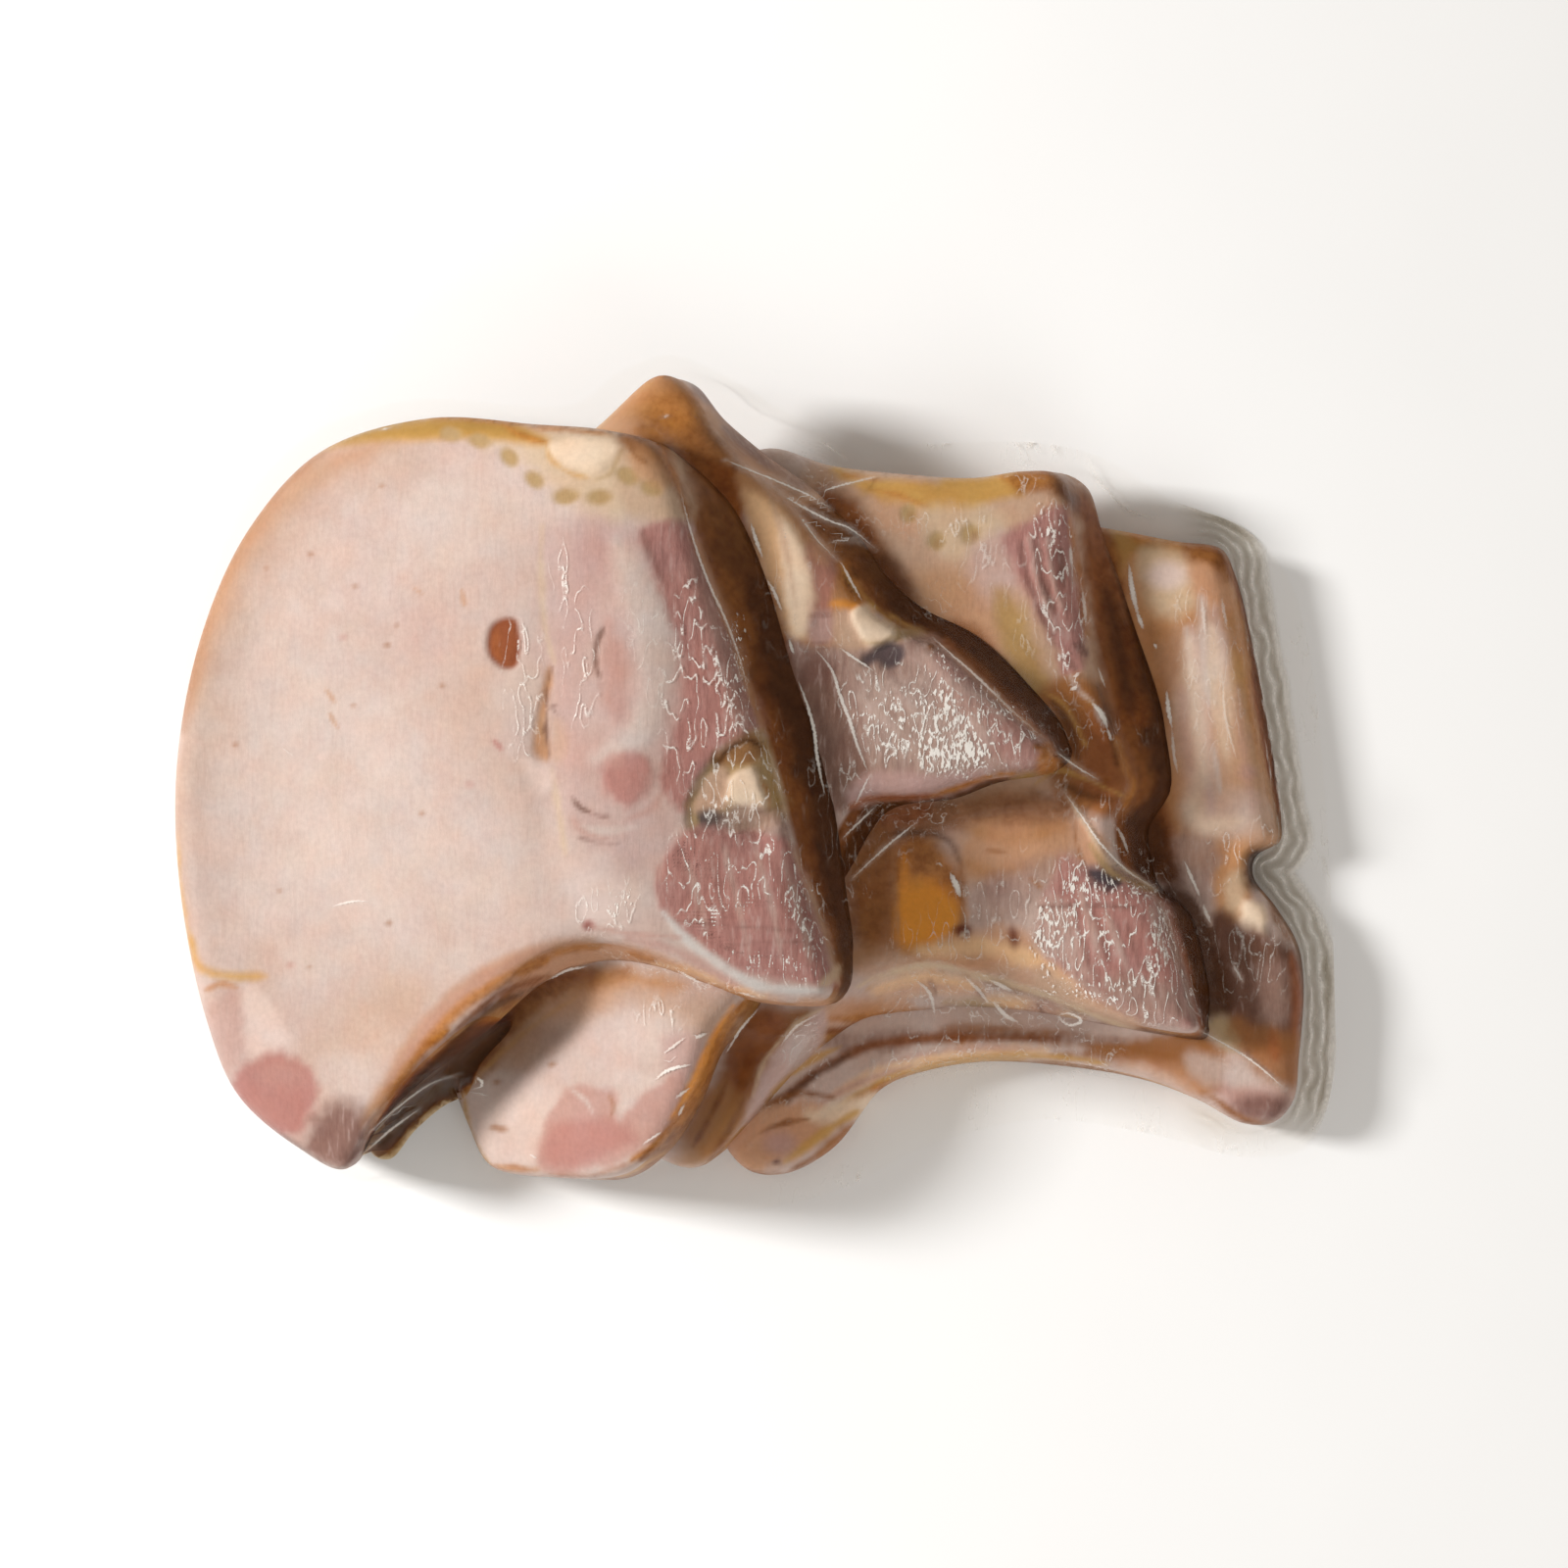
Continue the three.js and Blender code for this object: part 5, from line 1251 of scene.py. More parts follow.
def mark_fourth_loin(meat):
    """The lowest chop: its white fat, its long meat, its smoked right edge and the painted shade down its
    left side.
    """
    meat.patch("warm tan", [(69, 49.1), (90.5, 49.1), (94.7, 41.5), (100, 18.9), (105.6, -15.1),
        (90.5, -18.9), (81.1, -9.4), (73.5, 18.9)], soft=3, ragged=1)
    meat.patch("tan loin", [(81.1, 26.4), (90.5, 30.2), (95.4, 18.9), (100, 0), (101.8, -9.4),
        (88.6, -9.4), (83, 3.8)], soft=4.9, share=0.85, ragged=1)
    meat.patch("olive fat", [(68.6, 49.8), (75.4, 48.7), (84.1, 47.2), (84.9, 44.2), (75.4, 44.2),
        (71.7, 39.6), (68.6, 43.4)], soft=1.9, share=0.75)
    meat.patch("orange smoke", [(73.5, 49.1), (80, 47.5), (84.1, 46), (81.1, 44.9), (75.4, 46.4)],
               soft=1.3, share=0.7)
    meat.patch("brown smoke", [(84.1, 46), (89, 47.2), (93.2, 44.9), (95, 39.6), (92.4, 38.5),
        (88.6, 42.3), (84.5, 43)], soft=1.3)
    meat.patch("cream fat", [(76.2, 45.3), (83.7, 44.5), (87.1, 39.6), (85.6, 34), (80, 32.5),
        (76.2, 37.7)], soft=2.6, share=0.85)
    meat.oval("white fat", (81.1, 40.2), (3.8, 2.6), soft=2.6)
    meat.patch("peach", [(86, 41.9), (91.7, 39.6), (93.5, 34), (88.3, 33.6), (85.6, 37.7)], soft=1.9,
               share=0.8)
    meat.patch("brown tan", [(76.9, 30.2), (82.2, 30.2), (84.1, 20.8), (80.3, 15.1), (77.3, 22.6)],
               soft=3.4, share=0.6)
    meat.strokes("pale loin", [[(87.9, 36.2), (89, 22.6), (90.5, 11.3)], [(86, 28.3), (87.5, 18.9)],
                 [(90.1, 30.2), (91.7, 26.4), (90.5, 20.8)], [(87.5, 5.7), (87.1, -1.9)]], 2.3, soft=1.9,
                 share=0.8)
    meat.stroke("cream fat", [(89, 24.5), (90.5, 13.2), (93.5, 1.9)], 1.1, soft=0.9, share=0.6)
    meat.patch("yellow fat", [(93.2, 26.4), (95.8, 24.2), (97.3, 11.3), (98.1, 0), (94.7, 0),
        (93.9, 13.2)], soft=1.9, share=0.4)
    meat.oval("rose", (96.6, 2.3), (1.9, 1.5), soft=1.5, share=0.7)
    meat.oval("pale loin", (91.7, -5.3), (7.2, 4.5), soft=3.8, share=0.8)
    meat.oval("peach", (90.5, 3.8), (5.7, 11.3), soft=5.7, share=0.6)
    meat.strokes("pink", [[(86, 30.2), (87.9, 11.3), (89.8, -5.7)], [(90.5, 34), (92.4, 18.9)]], 3,
                 soft=2.3, share=0.7)
    meat.strokes("pale loin", [[(87.9, 28.3), (89.4, 15.1)], [(84.9, 30.2), (86, 20.8)],
                 [(90.1, 7.5), (91.7, -1.9)]], 1.1, soft=0.9, share=0.8)
    meat.patch("mauve bone", [(82.2, -9.4), (89.8, -10.6), (92.4, -15.8), (90.5, -22.6), (84.9, -22.6),
        (81.1, -15.1)], soft=3, share=0.8)
    meat.patch("brown tan", [(75.4, 20.8), (80, 18.9), (82.2, 3.8), (83, -9.4), (78.4, -7.5),
        (75.4, 7.5)], soft=2.6, share=0.6)
    # Painted shade: the dark band down the fourth chop's left side, beside the third chop's edge.
    meat.patch("dark smoke and shade", [(63, 56.6), (69.4, 49.1), (72.8, 37.7), (74.7, 26.4), (76.6, 11.3),
        (79.2, 0), (82.2, -9.4), (82.2, -18.9), (73.5, -11.3), (66, 18.9)], soft=1.7)
    meat.patch("brown smoke", [(64.1, 52.8), (69.8, 48.7), (72.4, 39.6), (70.9, 34), (66.4, 43.4)],
               soft=2.6, share=0.6)
    meat.patch("deep brown shade", [(67.5, 30.2), (72.8, 30.2), (75.4, 20.8), (76.6, 3.8), (80.3, -7.5),
        (83.7, -18.9), (75.4, -15.1), (70.9, 3.8)], soft=2.6, share=0.85)
    meat.patch("brown tan", [(76.2, 20.8), (80.3, 18.9), (81.5, 10.2), (78.4, 9.4)], soft=1.7, share=0.6)
    meat.stroke("rust smoke", [(93.5, 42.6), (95.8, 35.5), (97.7, 28.3), (98.8, 18.9), (100.3, 9.4),
        (102.2, 0), (104.1, -9.4)], 2.5, soft=0.9)
    meat.stroke("dark smoke and shade", [(94.7, 41.9), (97.1, 34.7), (98.8, 27.2), (100, 17.7), (101.5, 8.3),
        (103.3, -1.1), (105.2, -9.4)], 1.9, soft=0.9, share=0.9)
    meat.strokes("marrow", [[(85.6, 28.3), (87.1, 13.2), (88.6, 0)], [(89.8, 30.2), (91.7, 18.9),
        (92.8, 5.7)],
                 [(86, 1.9), (87.9, -7.5), (95.4, -7.2)]], 3.4, soft=3, share=0.5)
    meat.strokes("rose", [[(84.1, 18.9), (85.2, 7.5), (86, -1.9)], [(94.7, 18.9), (96.2, 5.7),
        (98.1, -5.7)]],
                 2.3, soft=2.3, share=0.45)
    meat.stroke("orange smoke", [(94.7, 35.5), (96.6, 26.4), (97.3, 15.1), (99.6, 3.8), (101.1, -3.8)],
        0.9,
                soft=0.8, share=0.6)


def mark_fourth_bone(meat):
    """The spinal canal in the notch, and the dark backbone below it."""
    meat.patch("warm tan", [(90.5, -17), (94.7, -14.7), (97.3, -17), (96.6, -26.4), (92.4, -27.5)],
        soft=1.7)
    meat.patch("cream fat", [(92, -18.9), (95.4, -16.6), (96.2, -22.6), (93.5, -25.3)], soft=1.5,
        share=0.7)
    meat.patch("marrow", [(95.8, -22.3), (98.4, -22.6), (100.3, -25.7), (100, -29.1), (97.3, -28.3),
        (95.4, -25.7)],
               soft=0.9, lift=0.8)
    # Painted shade in the hollow of the canal.
    meat.patch("deep brown shade", [(96.9, -13.6), (100, -12.8), (101.8, -15.1), (101.5, -18.9), (98.1, -20),
        (96.6, -17)], soft=1.1, lift=-1.2)
    meat.patch("olive fat", [(100.7, -15.1), (102.6, -12.8), (104.5, -14.3), (103.7, -17),
        (101.5, -17.4)], soft=0.8)
    meat.stroke("brown smoke", [(103, -7.2), (104.5, -11.7), (103.7, -17), (101.5, -20), (102.6, -25.7),
        (105.2, -30.2)], 1.7, soft=0.9, share=0.8)
    meat.patch("brown bone", [(90.5, -24.5), (96.6, -27.2), (101.8, -29.8), (107.5, -32.8),
        (108.3, -49.1), (101.8, -52.8), (93.5, -49.1), (90.5, -37.7)], soft=2.3, share=0.95)
    meat.patch("mauve bone", [(98.8, -35.1), (103.7, -34.7), (104.9, -45.3), (100, -46)], soft=2.6,
        share=0.6)
    # Painted shade beside the bone, in the gap below the third chop's corner.
    meat.patch("deep brown shade", [(80.7, -18.9), (86, -20.8), (90.5, -28.3), (93.5, -43.4), (87.1, -46.4),
        (84.1, -35.8)], soft=2.3, share=0.95)
    meat.stroke("rust smoke", [(105.2, -32.5), (106.4, -39.6), (106, -49.1)], 2.6, soft=1.9, share=0.75)
    meat.strokes("grey bone", [[(84.5, -15.1), (86, -19.6), (87.9, -23.8)], [(88.3, -23.4),
        (89.8, -27.2)],
                 [(93.9, -34.7), (95.8, -38.1)]], 0.7, soft=0.6, share=0.7)
    meat.patch("olive spot", [(87.9, -46.4), (90.5, -44.5), (94.7, -46.8), (95.8, -50.9), (90.5, -50.2)],
               soft=1.5, share=0.8)
    meat.patch("brown tan", [(93.5, -45.3), (101.8, -47.2), (107.5, -49.1), (108.3, -58.5),
        (101.8, -57.7), (95.4, -51.7)], soft=2.6, share=0.9)
    meat.stroke("rust smoke", [(101.5, -47.2), (102.2, -52.8)], 2.3, soft=1.9, share=0.6)
    meat.patch("rose", [(88.3, -56.2), (94.3, -57.4), (101.8, -58.9), (104.9, -60), (101.8, -63.4),
        (94.3, -63), (89.8, -59.2)], soft=1.9, share=0.8)
    meat.oval("dark bone", (99.6, -62.3), (6, 2.6), soft=2.3, share=0.85)
    meat.stroke("brown smoke", [(90.1, -60.4), (95.8, -64.5), (100.7, -66), (105.6, -64.2), (108.3, -60)],
                1.5, soft=1.1, share=0.9)


def mark_fourth_belly(meat):
    """The fourth chop's ribbed belly edge, from the backbone to its tail."""
    meat.patch("brown tan", [(37.7, -47.2), (56.6, -47.2), (75.4, -49.4), (87.9, -47.2), (92.4, -54),
        (88.6, -60.4), (79.2, -54.7), (64.1, -52.8), (41.5, -54.7)], soft=1.9)
    meat.patch("peach", [(71.7, -53.6), (83, -54), (88.6, -58.5), (86.7, -60.4), (77.3, -56.2)],
               soft=2.3, share=0.45)
    meat.patch("pale loin", [(84.5, -52.1), (92.4, -52.8), (97.3, -56.6), (92.4, -58.1), (86.7, -56.2)],
               soft=1.9, share=0.6)
    meat.patch("mauve bone", [(13.2, -49.1), (26.4, -47.2), (41.5, -47.5), (56.6, -48.3), (73.5, -49.4),
        (56.6, -49.8), (37.7, -49.4), (22.6, -52.1)], soft=1.3, share=0.9)
    meat.patch("loin", [(7.5, -65.3), (16.9, -57.7), (26.4, -52.8), (37.7, -50.6), (56.6, -49.8),
        (66, -50.9), (56.6, -52.8), (37.7, -54.3), (26.4, -57.4), (16.9, -62.3), (9, -69.8)], soft=1.3)
    # Painted light: the belly lies in shade and is painted lighter.
    meat.strokes("honey painted light", [[(16.9, -60), (26.4, -55.5), (37.7, -52.8)], [(33.9, -52.8), (45.2, -51.7),
        (58.4, -51.3)]], 2.6, soft=1.5, share=0.7)
    meat.strokes("rose", [[(11.3, -64.2), (20.7, -58.1), (32, -54.3)], [(26.4, -53.6), (41.5, -50.9),
        (56.6, -50.9)]], 1.1, soft=1.1, share=0.7)
    for step in range(16):
        share = step / 15
        place = np.array((24.5, -54.7)) * (1 - share) + np.array((63.7, -50.2)) * share
        bulge = np.array((0, 3.2)) * math.sin(math.pi * share)
        top = place + bulge + (0.6, 1.4)
        meat.stroke("pale loin", [top, place + bulge, place + bulge - (0.2, 1.4)], 0.9, soft=0.8,
                    share=0.4, lift=0.2)
    meat.stroke("dark smoke and shade", [(-4.2, -71.7), (4.5, -63.4), (13.2, -55.8), (22.6, -50.9), (33.9, -49.1),
        (45.2, -48.7), (60.3, -49.1)], 1.9, soft=1.3, share=0.85)
    meat.stroke("deep brown shade", [(-5.7, -74), (3, -65.7), (11.7, -57.4), (20, -52.1)], 1.7, soft=1.3,
        share=0.75)
    meat.stroke("yellow fat", [(8.6, -56.2), (13.5, -52.8), (18.4, -50.6)], 1.1, soft=0.8, share=0.9)
    meat.stroke("yellow fat", [(11.3, -67.9), (18.8, -61.9), (25.6, -57.7), (34.7, -54.7),
        (42.2, -53.2), (52, -52.5), (60.3, -52.6), (69.8, -54)], 1.5, soft=0.9, share=0.9)
    meat.stroke("brown smoke", [(22.6, -60.4), (32, -56.6), (42.2, -54.7), (52.8, -54), (64.1, -54.7),
        (75.4, -57.4)], 0.9, soft=0.8, share=0.8)
    meat.stroke("orange smoke", [(16.9, -64.2), (24.5, -58.9), (32, -56.2)], 1.3, soft=0.9, share=0.9)
    meat.patch("peach", [(-3.8, -66), (3.7, -62.3), (13.2, -61.1), (16.9, -64.2), (13.2, -69.8),
        (5.6, -73.6), (-1.9, -75.5)], soft=1.9)
    meat.patch("peach", [(1.8, -66), (9.4, -64.2), (10.1, -67.9), (3.7, -70.2)], soft=2.3, share=0.6)
    meat.patch("marrow", [(11.7, -63.8), (18.8, -60.4), (27.1, -59.6), (27.9, -61.1), (20.7, -63.8),
        (14.3, -65.3)],
               soft=1.1, share=0.85)
    meat.strokes("yellow fat", [[(7.5, -72.8), (12.4, -69.4), (17.3, -65.7), (21.8, -63)]], 1.9,
        soft=1.1, share=0.9)
    meat.strokes("brown smoke", [[(8.6, -74.7), (14.3, -71.3), (19.2, -67.5), (23.3, -64.2)],
        [(3, -67.2), (7.5, -65.3), (12.4, -64.5)]], 0.9, soft=0.8, share=0.85)
    meat.oval("mauve pink", (6.7, -69.1), (3, 2.3), soft=2.6, share=0.8)
    meat.patch("brown tan", [(15, -69.8), (20, -65.3), (23.3, -66), (18.8, -70.9), (13.2, -73.6)],
        soft=1.5)
    meat.oval("dark bone", (6, -72.8), (0.9, 0.6), soft=0.6)
    meat.stroke("brown smoke", [(-3.8, -73.6), (3, -75.5), (8.6, -75.1)], 1.5, soft=1.1, share=0.9)
    meat.stroke("brown smoke", [(-2.3, -66), (3.7, -61.9), (10.5, -59.6), (16.9, -60.4)], 1.3, soft=1.1,
        share=0.8)


# ---------------------------------------------------------------- the film and the juice under it

# Corners between which the film is stretched straight from one chop to the next.
WEBS = [
    # from the peak of the second chop down to the crown of the third
    [(-8, 73, 24), (4, 57, 33), (16, 45, 36), (14, 62, 19), (40, 50, 24.5), (4, 71, 2), (22, 64, 4)],
    # from the wing of the second chop onto the third
    [(20, 42, 36), (38, 27, 36.5), (48, 17, 36.5), (36, 44, 24.5), (58, 22, 24.5), (24, 50, 24.5)],
    [(57, 5, 34), (46, 16, 36), (52, 3, 34), (70, 10, 24.5), (68, -2, 23), (62, -8, 24)],
    # across the pocket between the top chop and the third
    [(13, -24, 46), (16, -36, 40), (20, -6, 36), (28, -16, 24), (30, -34, 24), (22, -38, 24)],
    # from the third chop's lower corner to the tip of the fourth
    [(85, -40, 23), (87, -47, 20), (97, -44, 12.5), (98, -58, 12), (84, -56, 12)],
]


def web_height(corners, x, y):
    """The height of a skin stretched over some corners, and far below the surface beside them."""
    top = np.full(x.shape, NOTHING)
    for a, b, c in itertools.combinations(np.array(corners, float), 3):
        ab, ac = b - a, c - a
        size = ab[0] * ac[1] - ab[1] * ac[0]
        if abs(size) > 0.01:
            s = ((x - a[0]) * ac[1] - (y - a[1]) * ac[0]) / size
            t = ((y - a[1]) * ab[0] - (x - a[0]) * ab[1]) / size
            inside = (s >= 0) & (t >= 0) & (s + t <= 1)
            top = np.where(inside, np.maximum(top, a[2] + s * ab[2] + t * ac[2]), top)
    return top


class Sheet:
    """The heights of the meat and of the film pulled tight over it, on an even raster."""

    def __init__(self):
        self.xs = np.arange(-FILM_REACH[0], FILM_REACH[0], FILM_CELL)
        self.ys = np.arange(-FILM_REACH[1], FILM_REACH[1], FILM_CELL)
        x, y = np.meshgrid(self.xs, self.ys)
        flat_x, flat_y = x.ravel(), y.ravel()
        skins = [chop.skin(flat_x, flat_y).reshape(x.shape) for chop in CHOPS]
        self.meat = np.maximum.reduce(skins)
        webs = [web_height(corners, x, y) for corners in WEBS]
        under = np.maximum.reduce([self.meat, np.full(x.shape, LIP), *webs])
        pull = np.where(self.meat > 0, PULL_ON_MEAT, PULL_BESIDE)
        self.film = under.copy()
        for _ in range(FILM_ROUNDS):
            padded = np.pad(self.film, 1, mode="edge")
            mean = (padded[2:, 1:-1] + padded[:-2, 1:-1] + padded[1:-1, 2:] + padded[1:-1, :-2]) / 4
            self.film = np.maximum(under, mean - pull * FILM_CELL**2 / 4)
        rise, run = np.gradient(self.film, FILM_CELL)
        off_meat = FILM_GAP * np.minimum(np.sqrt(1 + rise**2 + run**2), 3)
        self.film += np.where(self.film > LIP + 0.1, off_meat, 0)

    def at(self, heights, x, y):
        """The height of a raster over points between its places."""
        i = np.clip((y - self.ys[0]) / FILM_CELL, 0, len(self.ys) - 1.001)
        j = np.clip((x - self.xs[0]) / FILM_CELL, 0, len(self.xs) - 1.001)
        row, column = i.astype(int), j.astype(int)
        s, t = i - row, j - column
        near = heights[row, column] * (1 - t) + heights[row, column + 1] * t
        far = heights[row + 1, column] * (1 - t) + heights[row + 1, column + 1] * t
        return near * (1 - s) + far * s


# Channels of the film's marks; all but the haze are painted highlights, and the haze is partly one.
HAZE, SPARKLE, WIGGLE, ACROSS, WIDE, BRIGHT = range(6)


class Veil(Coat):
    """The marks on the film. Each lies in a channel of its own: whitish haze, partly painted highlight;
    dense painted sparkles; thin painted highlight loops where it is dimpled; and painted glints. A glint
    is kept as the distance across it, its half-width and its brightness, so that it stays sharp."""

    def __init__(self, spots):
        super().__init__(spots, 6)

    # A painted highlight: a thin bright line along given points.
    def glint(self, points, wide, share):
        line = smooth_line(points, 9 * len(points), closed=False)
        rows = self.rows_near(line, GLINT_REACH)
        away, place = nearest(np.column_stack([self.u[rows], self.v[rows]]), line, closed=False)
        taper = np.sqrt(np.sin(math.pi * np.clip(place / (len(line) - 1), 0, 1)))
        bright = share * taper * (np.abs(away) < GLINT_REACH)
        over = bright > self.values[rows, BRIGHT]
        marks = np.column_stack([away, wide / 2 * taper, bright])
        self.values[rows[over], ACROSS:] = marks[over]

    def lay(self, rows, cover, channel, share, lift):
        here = self.values[rows, channel]
        self.values[rows, channel] = np.maximum(here, cover * share)
        self.lift[rows] += lift * cover


def mark_film(veil):
    mark_folds(veil)
    mark_painted_edge_glints(veil)
    mark_painted_loops_and_sparkles(veil)
    # Painted highlight loops scattered over the right-hand chops, where the film shines in small
    # crinkles.
    rows = np.nonzero(veil.u > -6)[0]
    crinkle_glints = smoothstep(mottle(veil.u[rows], veil.v[rows], 8, 41), 0, 1)
    veil.lay(rows, crinkle_glints * smoothstep(veil.u[rows], -6, 20), WIGGLE, 0.45, 0.0)


def mark_folds(veil):
    """Folds stretched from chop to chop: each is raised and whitened, with a painted highlight along it.
    """
    for line, wide, lift, share in [
        ([(-3.6, 62.6), (5.2, 58.7), (12.4, 55.5), (16.9, 52.8)], 7, 0.8, 0.42),
        ([(1.8, 59.2), (9.4, 54.3), (15.8, 50.9), (20.3, 49.1), (25.6, 44.9)], 5, 0.6, 0.4),
        ([(-1.2, 61.5), (7.5, 55.5), (13.5, 47.5), (18.1, 42.6)], 5, 0.5, 0.34),
        ([(12.4, 55.5), (17.5, 57.2), (22.6, 58.5), (26.4, 59.2)], 4, 0.6, 0.4),
        ([(16.2, 46.8), (21.1, 46.8), (24.5, 45.7)], 4, 0.4, 0.25),
        ([(18.6, -10.6), (21.8, -7.5), (25, -4.5)], 3, 0.5, 0.4),
        ([(20.3, -18.5), (26.7, -12.5), (33.2, -7.2)], 4, 0.5, 0.42),
        ([(61.1, -1.1), (64.9, -6.4), (68.3, -11.3), (73.5, -16.6), (79.6, -20.4)], 4, 0.6, 0.45),
        ([(59.6, 6.4), (63.7, 3.4), (68.3, 0.6)], 4, 0.4, 0.35),
        ([(87.1, -47.2), (95.8, -52.1), (100.3, -55.5), (104.1, -58.9)], 4, 0.6, 0.4),
        ([(-73.4, -71.1), (-68, -66.4), (-62.3, -62.3)], 3, 0.4, 0.4),
        ([(-74.4, -69.4), (-68.7, -63.8), (-60.4, -57.7), (-54.8, -55.8)], 3, 0.4, 0.25),
        ([(-79.5, -23.6), (-75.5, -22.6), (-72.3, -22.6)], 2, 0.1, 0.3),
        ([(64.1, 20.8), (56.6, 3.8), (52.8, 0)], 3, 0.2, 0.0),
        ([(66.7, 62.3), (69.8, 56.6), (73.5, 52.8), (79.2, 50.9)], 6, 0.5, 0.25),
        ([(3, 71.7), (7.5, 68.7), (14.3, 66.4), (20.3, 62.3)], 5, 0.4, 0.3),
    ]:
        veil.stroke(HAZE, line, wide / 5.3, soft=0.8, share=0.55 * share, lift=lift)
        veil.glint(line, 0.5, min(1.6 * share, 0.8))


def mark_painted_edge_glints(veil):
    """Painted highlights along edges of the meat where the tight film shines."""
    for line, wide, share in [
        ([(-12.5, 56.6), (-10.2, 47.9), (-7.2, 39.2), (-3.6, 31.3), (-0.8, 23.4), (0.7, 17.7)], 3, 0.6),
        ([(1.1, 50.4), (2.2, 46.8), (3.5, 43.4)], 4, 0.8),
        ([(4.1, 39.6), (5.6, 37), (7.1, 33.2)], 4, 0.7),
        ([(7.3, 49.8), (9, 43.4), (10.5, 37.7), (11.8, 31.3)], 3, 0.7),
        ([(8.4, 27.9), (9.4, 24.9)], 4, 0.7),
        ([(10.1, 20.2), (11.8, 15.7), (13.3, 10.4), (13.9, 5.1), (15.4, -2.3)], 4, 0.85),
        ([(13.5, 26), (16.7, 21.9), (18.3, 17), (20.1, 12.3), (22, 6.4), (23.7, 2.3)], 4, 0.6),
        ([(18.3, 26.2), (21.1, 24.2), (24.9, 21.7)], 3, 0.6),
        ([(35.8, 28.5), (38.8, 25.8), (44.7, 20.6), (51.8, 13.8), (56.9, 9.4)], 3, 0.4),
        ([(21.1, -4.2), (22.6, -1.1), (24.1, 1.9)], 3, 0.5),
        ([(18.3, 43), (20.7, 38.5), (22.6, 35.1)], 3, 0.5),
        ([(73.9, 42.5), (74.7, 36.6), (75.8, 32.1)], 6, 0.75),
        ([(75.4, 33.2), (76.7, 29.8)], 5, 0.7),
        ([(78.8, 27.2), (79.2, 26)], 4, 0.6),
        ([(81.1, 18.1), (81.5, 14.7), (82.2, 10.6)], 5, 0.7),
        ([(82.2, 10.6), (82.6, 5.7), (83.3, 1.9)], 4, 0.4),
        ([(66.7, 15.7), (68.6, 13.6), (69.8, 10.6)], 6, 0.85),
        ([(69.8, 10.6), (70.5, 8.3)], 4, 0.6),
        ([(62.6, 18.1), (64.1, 18.9)], 5, 0.7),
        ([(63, 20.4), (64.5, 21.5)], 4, 0.6),
        ([(64.9, 37.7), (65.4, 34), (65.6, 30.2)], 4, 0.5),
        ([(62.6, 46), (63, 41.5)], 4, 0.5),
        ([(67.9, 22.6), (69.4, 18.5)], 3, 0.4),
        ([(84.5, -14.7), (86, -18.1), (87.7, -21.9)], 4, 0.7),
        ([(88.1, -23), (89, -25.3), (89.8, -27)], 4, 0.6),
        ([(93.9, -34.7), (95, -36.6), (95.8, -38.1)], 3, 0.5),
        ([(92, 20.8), (92.4, 13.2), (94.7, 4.5)], 3, 0.35),
        ([(87.9, 35.8), (88.6, 28.3)], 4, 0.4),
        ([(91.7, 35.8), (92.8, 30.2)], 4, 0.4),
        ([(39.4, -17), (40.7, -19.6), (41.5, -21.9)], 7, 0.9),
        ([(36.9, -15.1), (38.1, -15.8)], 3, 0.4),
        ([(71.3, -7.9), (72.8, -10.6), (73.9, -13.6)], 4, 0.5),
        ([(-51.7, -56.6), (-50.6, -57.4), (-51, -58.9)], 4, 0.8),
        ([(-53.3, -59.2), (-49.1, -60)], 2, 0.4),
        ([(2.8, -43), (-0.8, -47.2), (-3.8, -52.1)], 3, 0.5),
        ([(14.3, -44.2), (9.8, -46.8), (6.7, -50.6)], 3, 0.5),
        ([(-9.9, -49.1), (-7.2, -47.9)], 4, 0.8),
        ([(-17.4, -57), (-14.8, -55.1), (-10.2, -54)], 4, 0.8),
        ([(-13.3, -60.4), (-10.6, -58.5)], 4, 0.7),
        ([(-11.7, -61.5), (-12.9, -64.2)], 4, 0.6),
        ([(-19.7, -69.4), (-15.9, -66.8)], 3, 0.6),
        ([(-15.9, -52.1), (-11.4, -48.7)], 3, 0.6),
        ([(32.8, -37.7), (35.4, -40), (36.6, -44.5)], 4, 0.6),
        ([(42.2, -37), (45.2, -40), (47.1, -42.6)], 4, 0.5),
        ([(47.5, -41.5), (50.1, -44.5), (52.8, -46)], 5, 0.6),
        ([(60, -44.5), (62.6, -44.2), (64.9, -45.7), (62.2, -46.4), (60, -44.5)], 3, 0.7),
        ([(47.1, -37.7), (51.7, -40)], 5, 0.5),
        ([(-41.6, -71.3), (-40, -72.1)], 3, 0.4),
        ([(-37.8, -37.7), (-34, -35.8), (-30.2, -35.1)], 3, 0.6),
        ([(-89.5, 7.2), (-86.8, 5.3)], 2, 0.2),
        ([(-13.3, -35.8), (-8.3, -38.5)], 3, 0.5),
        ([(-1.6, -40), (2.2, -41.1)], 3, 0.4),
    ]:
        veil.glint(line, wide / 5.3, share)


